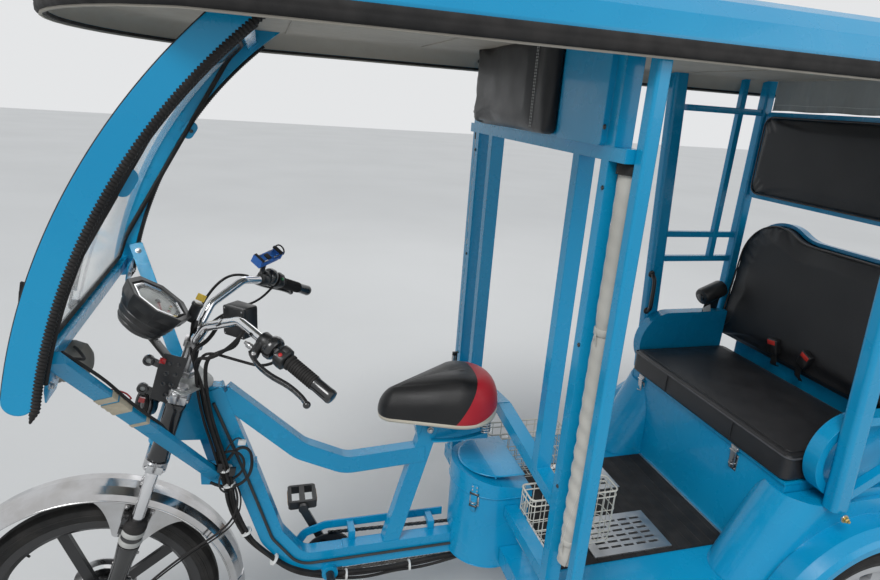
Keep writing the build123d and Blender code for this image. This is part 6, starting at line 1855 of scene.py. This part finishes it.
def curtain_rings(side, levels=240, steps=84):
    """Rings of the rolled sheet from its foot to its head, pressed and drawn in by its ties."""
    rings = []
    for level in range(levels + 1):
        z = CURTAIN_LOW + (CURTAIN_HIGH - CURTAIN_LOW) * level / levels
        low_half = max(0.0, min(1.0, (1.10 - z) / 0.15))
        twist = side * (2.6 * (z - CURTAIN_LOW) + 3.8 * min(z - CURTAIN_LOW, 0.5))
        ring = []
        for step in range(steps + 1):
            share = step / steps
            turn = math.tau * CURTAIN_TURNS * share
            radius = CURTAIN_IN + (CURTAIN_OUT - CURTAIN_IN) * share
            ridge = 1 - (0.05 + 0.09 * low_half) * (0.5 + 0.5 * math.sin(2 * turn + side * 150 * z)) * share
            ridge -= 0.030 * (0.5 + 0.5 * math.sin(3 * turn + 9 * z)) * share
            radius = radius * ridge * curtain_size(z) + 0.0004 * math.sin(17 * z + turn) * share
            angle = turn + twist + side * 0.9
            ring.append(Vector((CURTAIN_X + radius * math.cos(angle),
                                side * CURTAIN_Y + radius * math.sin(angle), z)))
        rings.append(ring)
    return rings


def make_curtain(side):
    """One rolled curtain with its trim."""
    shape = Shape()
    rings = curtain_rings(side)
    shape.rings(rings, "cream_cloth", close=False, cap=False)
    roll = shape.done("curtain_" + SIDE_NAME[side], FRAME, smooth=75)
    if side > 0:
        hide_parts("side_curtains")
    band = make_curtain_trim(side, rings)


def make_curtain_trim(side, rings):
    """Rubber cap, cloth ties with their hanging ends, and the stitched edge of a curtain."""
    trim = Shape()
    centre = Vector((CURTAIN_X, side * CURTAIN_Y, 0))
    trim.turned(centre + UP * (CURTAIN_HIGH - 0.020), (0, 0, 1),
                ((0, 0.0265), (0, 0.0278), (0.020, 0.0278), (0.0225, 0.0265), (0.0225, 0.0)), "rubber", 32)
    for tie in CURTAIN_TIES:
        size = CURTAIN_OUT * curtain_size(tie) + 0.0008
        trim.turned(centre + UP * (tie - 0.008), (0, 0, 1),
                    ((0, size - 0.0010), (0.001, size), (0.015, size), (0.016, size - 0.0010)),
                    "cream_cloth", 30)
        knot = centre + Vector((size, side * 0.004, tie))
        for drop, lean in ((0.030, 0.006), (0.024, -0.007)):
            trim.strap(rounded([knot, knot + Vector((0.0008, lean * 0.5, -drop * 0.5)),
                                knot + Vector((-0.0012, lean, -drop))]), (0, 0.005, 0), 0.0010,
                       "cream_cloth")
    # stitches beside the roll's free edge
    last = rings[16:-12:2]
    for below, above in zip(last, last[1:]):
        for share in (0.15, 0.65):
            here, there = (below[-5].lerp(above[-5], part) for part in (share, share + 0.30))
            out = Vector((here.x - centre.x, here.y - centre.y, 0)).normalized() * 0.0006
            trim.tube([here + out, there + out], 0.00055, "white_tag", 5)
    return trim.done("curtain_trim_" + SIDE_NAME[side], FRAME, smooth=50)


def make_rear_curtain():
    """Short curtain across the rear opening, hung in soft folds, with its hem and rod."""
    low, high = (Vector(corner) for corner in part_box("rear_curtain"))
    middle = (low.x + high.x) / 2
    columns, rows = 260, 16
    grid = []
    for row in range(rows + 1):
        down = row / rows
        z = high.z - 0.004 - (high.z - low.z - 0.008) * down
        line = []
        for column in range(columns + 1):
            y = low.y + 0.003 + (high.y - low.y - 0.006) * column / columns
            fold = math.sin(y * 92 + 1.6 * math.sin(y * 11)) + 0.35 * math.sin(y * 171 + 2.0)
            x = middle + (0.0016 + 0.0026 * down) * fold * 0.9
            line.append(Vector((x, y, z + 0.0012 * math.sin(y * 31) * down)))
        grid.append(line)
    shape = Shape()
    shape.rings(grid, "curtain", close=False, cap=False)
    cloth = shape.done("rear_curtain_cloth", FRAME, smooth=80, replaces=("rear_curtain",))
    hem = Shape()
    hem.tube(grid[-1], 0.0016, "curtain", 6)
    hem.tube([p + Vector((0.0008, 0, 0.011)) for p in grid[-2]], 0.0006, "white_tag", 5)
    hem.tube([Vector((middle, low.y + 0.001, high.z - 0.003)),
              Vector((middle, high.y - 0.001, high.z - 0.003))], 0.0035, "steel", 12)
    trim = hem.done("rear_curtain_hem", FRAME, smooth=50)


# Baskets of round wire on both sides of the tool box

BASKET_LOW = Vector((-0.322, 0.135, 0.4285))
BASKET_HIGH = Vector((-0.040, 0.215, 0.6115))
WIRE_R = 0.0014
BASKET_HOOPS = 4
BASKET_WIRES_ACROSS = 9
BASKET_WIRES_ALONG = 3


def add_basket(shape, side):
    """One basket: rims, hoops, wires both ways and its hooks."""
    low, high = BASKET_LOW + Vector((WIRE_R,) * 3), BASKET_HIGH - Vector((WIRE_R,) * 3)
    (x0, y0, z0), (x1, y1, z1) = low, high

    def hoop(z, size):
        corners = [Vector((x, side * y, z)) for x, y in ((x0, y0), (x1, y0), (x1, y1), (x0, y1))]
        shape.tube(round_corners(corners, (0.014,) * 4, 4), size, "cream_wire", 8, loop=True)

    hoop(z1 - 0.001, 0.0028)
    hoop(z1 - 0.020, 0.0020)
    for k in range(BASKET_HOOPS):
        hoop(z0 + (z1 - 0.030 - z0) * k / BASKET_HOOPS, WIRE_R)
    bend = 0.010
    for k in range(BASKET_WIRES_ACROSS):
        x = x0 + 0.012 + (x1 - x0 - 0.024) * k / (BASKET_WIRES_ACROSS - 1)
        section = ((y0, z1), (y0, z0 + bend), (y0 + bend * 0.3, z0 + bend * 0.3), (y0 + bend, z0),
                   (y1 - bend, z0), (y1 - bend * 0.3, z0 + bend * 0.3), (y1, z0 + bend), (y1, z1))
        shape.tube([Vector((x, side * y, z)) for y, z in section], WIRE_R, "cream_wire", 6)
    for k in range(BASKET_WIRES_ALONG):
        y = y0 + 0.012 + (y1 - y0 - 0.024) * k / (BASKET_WIRES_ALONG - 1)
        section = ((x0, z1), (x0, z0 + bend), (x0 + 0.003, z0 + 0.003), (x0 + bend, z0), (x1 - bend, z0),
                   (x1 - 0.003, z0 + 0.003), (x1, z0 + bend), (x1, z1))
        shape.tube([Vector((x, side * y, z)) for x, z in section], WIRE_R, "cream_wire", 6)
    for x in (x0 + 0.250, x1 - 0.020):
        hook = [Vector((x, side * y, z))
                for y, z in ((y0, 0.528), (y0 - 0.003, 0.543), (y0 - 0.0065, 0.538), (y0 - 0.0070, 0.500))]
        shape.tube(rounded(hook, 3), 0.0020, "cream_wire", 8)


def make_baskets():
    """The two wire baskets as one piece."""
    shape = Shape()
    for side in (1, -1):
        add_basket(shape, side)
    shape.done("basket_wires", FRAME, smooth=60, replaces=("wire_baskets",))


# Tool box

LID_TOP = 0.6225
BOX_ROUND = 0.129
BOX_WALL = 0.1255
HASP_ANGLE = math.radians(48)


def half_round(radius, z, steps):
    """Half circle in plan, round the box's front from its far to its near side."""
    turns = [-math.pi / 2 + math.pi * k / steps for k in range(steps + 1)]
    return [Vector((math.cos(a) * radius, math.sin(a) * radius, z)) for a in turns]


def lid_outline(inset, z, steps=18):
    """Outline of the lid seen from above, drawn in by the inset."""
    r = BOX_ROUND - inset
    points = [Vector((-0.085 + inset, -r, z))]
    points += half_round(r, z, steps)
    points.append(Vector((-0.085 + inset, r, z)))
    return points


def hasp_axes():
    """Directions out of the box at the hasp, along its face and up."""
    out = Vector((math.cos(HASP_ANGLE), math.sin(HASP_ANGLE), 0))
    return out, Vector((-out.y, out.x, 0)), UP


def make_tool_lid_dress():
    """Rolled edge, crease, raised panel and hasp of the lid, with painted shade on the hasp."""
    lid = Shape()
    lid.tube(lid_outline(0.0005, 0.5605), 0.0024, "blue", 8)
    lid.tube([Vector((0.030, y, LID_TOP + 0.0002)) for y in (-0.112, 0, 0.112)], 0.0022, "blue", 8)
    raised = [lid_outline(0.020, LID_TOP - 0.0005), lid_outline(0.022, LID_TOP + 0.0022),
              lid_outline(0.026, LID_TOP + 0.0026)]
    lid.rings(raised, "blue")
    out, side, up = hasp_axes()
    top = out * (BOX_ROUND + 0.0012) + up * 0.596
    low = out * (BOX_ROUND + 0.0030) + up * 0.528
    lid.strap([top, top - up * 0.026, (top + low) / 2 + out * 0.001, low], side * 0.020, 0.0026, "blue")
    # the two black rods across the hasp are painted shade: dark bars standing for the shadows below its upper
    # bend and at its lower end
    lid.tube([low + side * 0.012 + out * 0.002, low - side * 0.012 + out * 0.002], 0.0042, "black", 10)
    lid.tube([top + side * 0.014 - up * 0.030, top - side * 0.014 - up * 0.030], 0.0040, "black", 10)
    for drop in (0.006, 0.018):
        for sway in (-0.007, 0.007):
            lid.screw(top + out * 0.001 + side * sway - up * drop, out, 0.0028, "steel")
    lid.done("tool_lid_dress", "box_lid", bevel=0.0004, smooth=45)


def make_tool_box_dress():
    """Staple, catch, rivets and foot seam of the box."""
    out, side, up = hasp_axes()
    box = Shape()
    eye = out * (BOX_WALL + 0.0005) + up * 0.540
    box.block(eye, (0.030, 0.002, 0.030), "steel", axes=(side, out, up))
    ring = [eye + side * (0.0065 * math.cos(t)) + out * (0.004 + 0.010 * max(0.0, math.sin(t)))
            for t in (math.pi * k / 10 for k in range(11))]
    box.tube(ring, 0.0022, "steel", 8)
    box.strap([eye + out * 0.004 + up * 0.010, eye + out * 0.010 - up * 0.004,
               eye + out * 0.004 - up * 0.034], side * 0.014, 0.003, "blue")
    for z in (0.318, 0.432, 0.548):
        for y in (1, -1):
            box.screw((-0.070, y * BOX_WALL, z), (0, y, 0), 0.0032, "blue")
    box.tube(half_round(BOX_WALL, 0.3105, 24), 0.0022, "blue", 6)
    box.done("tool_box_dress", FRAME, bevel=0.0004, smooth=45)


# Passenger space

# the bench's two latches: name and sideways place
LATCHES = (("near", 0.189), ("far", -0.317))
HASP_X = -0.7372
STAPLE_X = -0.7448
MAT_RIBS = 15
MAT_TOP = 0.3898


def upright_leaf(x, y, half, low, high):
    """Corners of an upright plate that faces ahead."""
    return [(x, y + side, z) for side, z in ((-half, low), (half, low), (half, high), (-half, high))]


def make_bench_hasp(name, y):
    """Hasp on the seat lid: leaf, hanging strap, screws and pin."""
    x = HASP_X
    hasp = Shape()
    hasp.plate(upright_leaf(x, y, 0.016, 0.688, 0.6995), (0.002, 0, 0), "steel")
    strap = [(x + out, y, z) for out, z in ((0.003, 0.697), (0.004, 0.676), (0.002, 0.650), (0.002, 0.630))]
    hasp.strap(strap, (0, 0.022, 0), 0.0022, "steel")
    for sway in (-0.010, 0.010):
        hasp.screw((x + 0.002, y + sway, 0.694), (1, 0, 0), 0.0026, "steel")
    hasp.tube([(x + 0.006, y - 0.013, 0.684), (x + 0.006, y + 0.013, 0.684)], 0.0032, "steel", 10)
    hasp.done("bench_hasp_" + name, "seat_lid", bevel=0.0004)


def make_bench_staple(name, y):
    """Staple on the bench front: leaf, loop and screws."""
    x = STAPLE_X
    base = Shape()
    base.plate(upright_leaf(x, y, 0.015, 0.617, 0.672), (0.002, 0, 0), "steel")
    loop = [(x + out, y + sway, 0.640)
            for out, sway in ((0.002, -0.007), (0.013, -0.007), (0.017, 0), (0.013, 0.007), (0.002, 0.007))]
    base.tube(rounded(loop, 3), 0.0020, "steel", 8)
    for z in (0.622, 0.666):
        for sway in (-0.010, 0.010):
            base.screw((x + 0.002, y + sway, z), (1, 0, 0), 0.0026, "steel")
    base.done("bench_staple_" + name, FRAME, bevel=0.0004)


def make_mat_ribs():
    """Ribs across the floor mat, a little wavy, and its edge trims."""
    shape = Shape()
    for k in range(MAT_RIBS):
        x = -0.722 + 0.570 * k / (MAT_RIBS - 1)
        profile = [(-0.0030, 0.0), (-0.0012, 0.0016), (0.0012, 0.0016), (0.0030, 0.0)]
        shape.rings([[Vector((x + dx + 0.004 * math.sin(y * 9 + k), y, MAT_TOP + dz)) for dx, dz in profile]
                     for y in (-0.246 + 0.492 * j / 24 for j in range(25))], "rubber")
    for x in (-0.7405, -0.1325):
        shape.strap([(x, -0.250, 0.3905), (x, 0.250, 0.3905)], (0.008, 0, 0), 0.0016, "alloy")
    shape.done("mat_ribs", FRAME, smooth=40)


def add_retractor(shape):
    """Retractor of the far belt: case, spindle, webbing, tag and guide."""
    case = Vector((-1.070, -0.4180, 1.000))
    roll = Vector((0.86, 0.10, -0.30)).normalized()
    shape.turned(case - roll * 0.055, roll,
                 ((0, 0.026), (0.003, 0.032), (0.012, 0.035), (0.098, 0.035), (0.107, 0.032),
                  (0.110, 0.026)), "plastic_dark", 30)
    shape.turned(case - roll * 0.060, roll, ((0, 0.012), (0.002, 0.016), (0.118, 0.016), (0.120, 0.012)),
                 "gloss_black", 20)
    up = across(roll)[1]
    web = [case + roll * 0.012 - up * 0.030, case + roll * 0.020 + Vector((0.004, 0.012, -0.065)),
           case + roll * 0.014 + Vector((0.0, 0.006, -0.110)), Vector((-1.050, -0.4180, 0.850)),
           Vector((-1.062, -0.4080, 0.800))]
    shape.strap(rounded(web, 5), roll * 0.046, 0.0018, "vinyl_black")
    tag = case + roll * 0.018 + Vector((0.004, 0.016, -0.066))
    shape.block(tag, (0.040, 0.0012, 0.042), "white_tag", axes=(roll, (0, 1, 0.15), (0.30, 0, 0.9)))
    shape.block(case + roll * 0.018 + Vector((0, 0.012, -0.104)), (0.056, 0.007, 0.020), "gloss_black",
                axes=(roll, (0, 1, 0.15), (0.30, 0, 0.9)))
    shape.strap([case - roll * 0.030 - up * 0.020, Vector((-1.110, -0.4330, 0.960)),
                 Vector((-1.112, -0.4380, 0.900))], (0.034, 0, 0.006), 0.003, "black")


# sideways place and lean of each buckle
BUCKLES = ((-0.122, -0.15), (-0.012, 0.45))


def make_belts():
    """Belt buckles in the gap behind the cushion, and the retractor on the far side."""
    shape = Shape()
    for y, lean in BUCKLES:
        up = Vector((0.16, lean, 1)).normalized()
        side = Vector((0, 1, -lean)).normalized()
        deep = side.cross(up).normalized()
        foot = Vector((-1.1465, y, 0.836 + lean * 0.02))
        shape.strap(rounded([Vector((-1.166, y, 0.8080)), Vector((-1.1495, y, 0.8120)), foot,
                             foot + up * 0.030], 4), side * 0.026, 0.003, "vinyl_black")
        centre = foot + up * 0.052
        shape.rings([ring_path(centre + deep * place, side, up, 0.0215 * size, 0.029 * size, 0.006, 3)
                     for place, size in ((-0.011, 0.88), (-0.009, 1.0), (0.008, 1.0), (0.011, 0.88))],
                    "plastic_dark")
        shape.block(centre + up * 0.0165 + deep * 0.0108, (0.034, 0.017, 0.003), "buckle_red",
                    axes=(side, up, deep))
        shape.block(centre + up * 0.0265, (0.024, 0.002, 0.005), "gloss_black", axes=(side, up, deep))
    add_retractor(shape)
    shape.done("seat_belts", FRAME, bevel=0.0006, smooth=40)


POST_FOOT = Vector((-0.843, 0, 0.652))
HANDLE_LINE = ((-0.7860, -0.4405, 1.075), (-0.7860, -0.4245, 1.068), (-0.7880, -0.4145, 1.045),
               (-0.7905, -0.4145, 0.955), (-0.7930, -0.4245, 0.930), (-0.7940, -0.4405, 0.922))


def make_side_handles():
    """Black grab handle and catch on the far posts, and the brass bolts at the posts' feet."""
    shape = Shape()
    shape.tube(rounded(HANDLE_LINE, 4), 0.0078, "plastic_dark", 12)
    for place in (HANDLE_LINE[0], HANDLE_LINE[-1]):
        shape.turned(Vector(place) + LEFT * 0.001, (0, 1, 0), ((0, 0.014), (0.003, 0.0135), (0.005, 0.010)),
                     "plastic_dark", 20)
    for side in (1, -1):
        out = LEFT * side
        place = POST_FOOT + out * 0.4965
        shape.drum(place - out * 0.002, out, 0.0125, 0.0035, "steel")
        shape.bolt(place + out * 0.0012, out, 0.0105, "brass")
        shape.turned(place + out * 0.008, out, ((0, 0.0045), (0.008, 0.0042)), "brass", 14)
    shape.block((-0.014, -0.4605, 0.752), (0.030, 0.010, 0.044), "plastic_dark")
    shape.block((-0.004, -0.4525, 0.752), (0.012, 0.010, 0.020), "steel")
    shape.strap([(-0.8165, 0.4408, 0.960), (-0.8270, 0.4408, 0.700)], (0.007, 0, 0), 0.003, "rubber")
    shape.done("side_handles", FRAME, bevel=0.0004, smooth=45)


HEAD_BOX_SCREWS = (1.640, 1.790)
POST_SCREWS = (0.430, 0.800, 1.170, 1.520)
RAIL_BOLTS = (-0.080, -0.400, -0.760, -1.120, 0.300, 0.620)


def make_panel_screws():
    """Screws of the head box and the partition's posts, and bolts of the roof rails."""
    shape = Shape()
    for y in (-0.400, 0.399):
        for z in HEAD_BOX_SCREWS:
            shape.screw((0.0142, y, z), (1, 0, 0), 0.0055, "black")
    for y in (-0.402, 0.402):
        for z in POST_SCREWS:
            shape.screw((0.0004, y, z), (1, 0, 0), 0.0050, "black")
    for side in (1, -1):
        for x in RAIL_BOLTS:
            shape.bolt((x, side * 0.4655, 1.840), (0, side, 0), 0.0070, "steel")
    shape.done("panel_screws", FRAME, smooth=40)


# Running gear

CHAIN_PITCH = 0.0127
ROLLER = ((0, 0.0018), (0.0014, 0.0018), (0.0016, 0.0034), (0.0060, 0.0034), (0.0062, 0.0018),
          (0.0076, 0.0018))
CHAIN_Y = -0.056
REAR_AXLE = Vector((-0.985, 0, 0.270))
RING_AT = Vector((0.500, CHAIN_Y, 0.295))
COG_AT = REAR_AXLE + LEFT * CHAIN_Y
RING_R = 0.0745
COG_R = 0.0475
DISC_Y = -0.0490
# places along a tyre valve and their radii
VALVE = ((0, 0.0045), (0.004, 0.0035), (0.022, 0.0028), (0.024, 0.0034), (0.034, 0.0032), (0.036, 0.002))


def chain_line():
    """Closed line of the chain round the chainring and the rear cog, seen from the side."""
    gap = COG_AT - RING_AT
    along = gap.normalized()
    lean = math.asin((RING_R - COG_R) / gap.length)
    base = math.atan2(along.z, along.x)
    line = []
    quarter = math.pi / 2 + lean
    for centre, radius, start, sweep in ((RING_AT, RING_R, base + quarter, math.pi + 2 * lean),
                                         (COG_AT, COG_R, base - quarter, math.pi - 2 * lean)):
        line += [centre + upright(start - sweep * k / 24) * radius for k in range(25)]
    return line


def make_chain():
    """Roller chain: alternate plates with their rollers."""
    shape = Shape()
    points = evenly(chain_line(), CHAIN_PITCH, loop=True)
    count = len(points) - len(points) % 2
    for k in range(count):
        here, there = points[k], points[(k + 1) % len(points)]
        along = (there - here).normalized()
        up = LEFT.cross(along).normalized()
        middle = (here + there) / 2
        reach = 0.0033 if k % 2 else 0.0023
        long = (there - here).length / 2
        end = long + 0.003
        outline = ((-end, -0.0022), (-end, 0.0022), (-long, 0.0040), (0, 0.0030), (long, 0.0040),
                   (end, 0.0022), (end, -0.0022), (long, -0.0040), (0, -0.0030), (-long, -0.0040))
        for side in (1, -1):
            plate = [middle + along * a + up * b + LEFT * side * reach for a, b in outline]
            shape.plate(plate, (0, side * 0.0009, 0), "chain_steel")
        shape.turned(here - LEFT * 0.0038, (0, 1, 0), ROLLER, "chain_steel", 8)
    shape.done("chain_links", FRAME, smooth=35, replaces=("chain",))


def make_pedal_parts():
    """Amber reflectors, spindle caps and grip pins of the pedals."""
    for node, body in (("pedal_left", "left_pedal"), ("pedal_right", "right_pedal")):
        low, high = (Vector(corner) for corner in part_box(node))
        middle = (low + high) / 2
        shape = Shape()
        for end in (-1, 1):
            x = middle.x + end * ((high.x - low.x) / 2 + 0.0006)
            shape.block((x, middle.y, middle.z), (0.003, 0.046, 0.014), "amber_lens")
            shape.block((x - end * 0.001, middle.y, middle.z), (0.003, 0.052, 0.019), "plastic_dark")
        for x in (low.x + 0.006, high.x - 0.006):
            for k in range(7):
                y = low.y + 0.010 + (high.y - low.y - 0.020) * k / 6
                for z, up in ((high.z, 1), (low.z, -1)):
                    shape.turned((x, y, z - up * 0.0005), (0, 0, up), ((0, 0.0022), (0.0016, 0.0010)),
                                 "plastic_dark", 6)
        out = 1 if middle.y > 0 else -1
        shape.turned((middle.x, (high.y if out > 0 else low.y) - out * 0.001, middle.z), (0, out, 0),
                     ((0, 0.0085), (0.0035, 0.0080), (0.0045, 0.005)), "plastic_dark", 20)
        shape.done(node + "_parts", body, bevel=0.0004, smooth=40)


def make_rear_hub(side):
    """Hub cap, wheel bolts and valve of one rear wheel."""
    out = LEFT * side
    axle = REAR_AXLE + out * 0.500
    shape = Shape()
    shape.turned(axle + out * 0.0245, out,
                 ((0, 0.034), (0.002, 0.0345), (0.006, 0.032), (0.008, 0.0245), (0.0095, 0.0240)),
                 "gloss_black", 36)
    for k in range(5):
        shape.bolt(axle + upright(math.tau * (k + 0.5) / 5) * 0.052 + out * 0.0200, out, 0.0062, "steel")
    valve = axle + Vector((0.150, side * 0.006, -0.148))
    toward = (axle - valve).normalized()
    toward.y = side * 0.35
    shape.turned(valve, toward, VALVE, "rubber", 10)
    shape.done("rear_hub_" + SIDE_NAME[side], "rear_wheel_" + SIDE_NAME[side], bevel=0.0004, smooth=40)


def make_front_hub():
    """Hub flanges with their bolts, the brake disc on the far side, and the valve."""
    shape = Shape()
    for side in (1, -1):
        out = LEFT * side
        shape.turned(FRONT_AXLE + out * 0.0425, out,
                     ((0, 0.050), (0.002, 0.051), (0.006, 0.048), (0.007, 0.040), (0.009, 0.038),
                      (0.012, 0.024), (0.014, 0.022), (0.017, 0.018)), "gloss_black", 44)
        for k in range(6):
            shape.bolt(FRONT_AXLE + upright(math.tau * k / 6) * 0.044 + out * 0.0480, out, 0.0046, "steel")
    section = ((DISC_Y, 0.060), (DISC_Y, 0.080), (DISC_Y - 0.0022, 0.080), (DISC_Y - 0.0022, 0.060))
    disc = [[FRONT_AXLE + upright(math.tau * k / 60) * radius + LEFT * y for y, radius in section]
            for k in range(60)]
    shape.rings(disc, "steel", loop=True)
    valve = FRONT_AXLE + Vector((0.175, 0.004, 0.185))
    shape.turned(valve, FRONT_AXLE - valve, VALVE, "rubber", 10)
    shape.done("front_hub", "front_wheel", bevel=0.0004, smooth=40)


SPRING_Y = 0.400
SPRING_HALF = 0.024


def make_spring_parts():
    """U-bolts, clamp plates and shackle bolts of the leaf springs."""
    shape = Shape()
    for side in (1, -1):
        for x in (REAR_AXLE.x - 0.030, REAR_AXLE.x + 0.030):
            for y in (side * (SPRING_Y - SPRING_HALF), side * (SPRING_Y + SPRING_HALF)):
                shape.tube([(x, y, 0.240), (x, y, 0.338)], 0.0045, "steel", 10)
                shape.bolt((x, y, 0.244), (0, 0, -1), 0.0082, "steel")
            arch = [(x, side * (SPRING_Y + dy), z)
                    for dy, z in ((-SPRING_HALF, 0.337), (0, 0.3415), (SPRING_HALF, 0.337))]
            shape.tube(arch, 0.0045, "steel", 10)
        shape.block((REAR_AXLE.x, side * SPRING_Y, 0.2465), (0.090, 0.064, 0.005), "black")
        for x in (REAR_AXLE.x - 0.250, REAR_AXLE.x + 0.250):
            shape.drum((x, side * 0.428, 0.318), (0, side, 0), 0.012, 0.003, "steel", 20)
            shape.bolt((x, side * 0.4295, 0.318), (0, side, 0), 0.0105, "steel")
        # clips round the leaves
        for x in (-1.120, -0.850):
            loop = [Vector((x, side * SPRING_Y + dy, z))
                    for dy, z in ((-0.024, 0.296), (0.024, 0.296), (0.024, 0.330), (-0.024, 0.330))]
            shape.strap(loop + [loop[0]], (0.014, 0, 0), 0.0025, "black")
    shape.done("spring_parts", FRAME, bevel=0.0005, smooth=45)


def make_tail_parts():
    """Ribbed faces, frames and screws of the tail lamps."""
    low, high = (Vector(corner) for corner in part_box("tail_lamps"))
    shape = Shape()
    for side in (1, -1):
        middle = side * (high.y - 0.028)
        for k in range(15):
            z = low.z + 0.008 + (high.z - low.z - 0.016) * k / 14
            finish = "amber_lens" if k > 10 else "red_lamp"
            shape.strap([(low.x - 0.0004, middle - 0.024, z), (low.x - 0.0004, middle + 0.024, z)],
                        (0, 0, 0.0045), 0.0022, finish)
        outline = [(low.x + 0.003, middle + y, z)
                   for y, z in ((-0.0285, low.z - 0.0005), (0.0285, low.z - 0.0005),
                                (0.0285, high.z + 0.0005), (-0.0285, high.z + 0.0005))]
        shape.tube(round_corners(outline, (0.004,) * 4, 3), 0.0022, "chrome", 8, loop=True)
        for z in (low.z + 0.004, high.z - 0.004):
            shape.screw((low.x - 0.0006, middle, z), (-1, 0, 0), 0.0026, "steel")
    shape.done("tail_lamp_faces", FRAME, smooth=40)


SADDLE_RAIL = ((0.300, 0.018, 0.7940), (0.250, 0.022, 0.7760), (0.160, 0.030, 0.7720),
               (0.080, 0.062, 0.7900), (0.060, 0.066, 0.7945))
COIL_R = 0.013
COIL_TURNS = 4.5


def make_saddle_fittings():
    """Rails, springs, curved brackets and clamp below the saddle."""
    shape = Shape()
    for side in (1, -1):
        shape.tube(rounded([(x, side * y, z) for x, y, z in SADDLE_RAIL]), 0.0040, "steel", 10)
        sweep = math.tau * COIL_TURNS
        coil = [Vector((0.062 + COIL_R * math.cos(t), side * 0.066 + COIL_R * math.sin(t),
                        0.758 + 0.036 * t / sweep)) for t in (sweep * k / 72 for k in range(73))]
        shape.tube(coil, 0.0024, "steel", 7)
        shape.strap(rounded([(0.210, side * 0.0265, 0.716), (0.130, side * 0.040, 0.722),
                             (0.062, side * 0.064, 0.752)]), (0, 0.018, 0), 0.0035, "blue")
        shape.bolt((0.216, side * 0.0270, 0.752), (0, side, 0), 0.0100, "steel")
    shape.block((0.214, 0, 0.776), (0.046, 0.052, 0.018), "black")
    shape.done("saddle_fittings", FRAME, bevel=0.0006, smooth=45)


for side in (1, -1):
    make_curtain(side)
make_rear_curtain()
make_baskets()
make_tool_lid_dress()
make_tool_box_dress()
for name, y in LATCHES:
    make_bench_hasp(name, y)
    make_bench_staple(name, y)
make_mat_ribs()
make_belts()
make_side_handles()
make_panel_screws()
make_chain()
make_pedal_parts()
for side in (1, -1):
    make_rear_hub(side)
make_front_hub()
make_spring_parts()
make_tail_parts()
make_saddle_fittings()
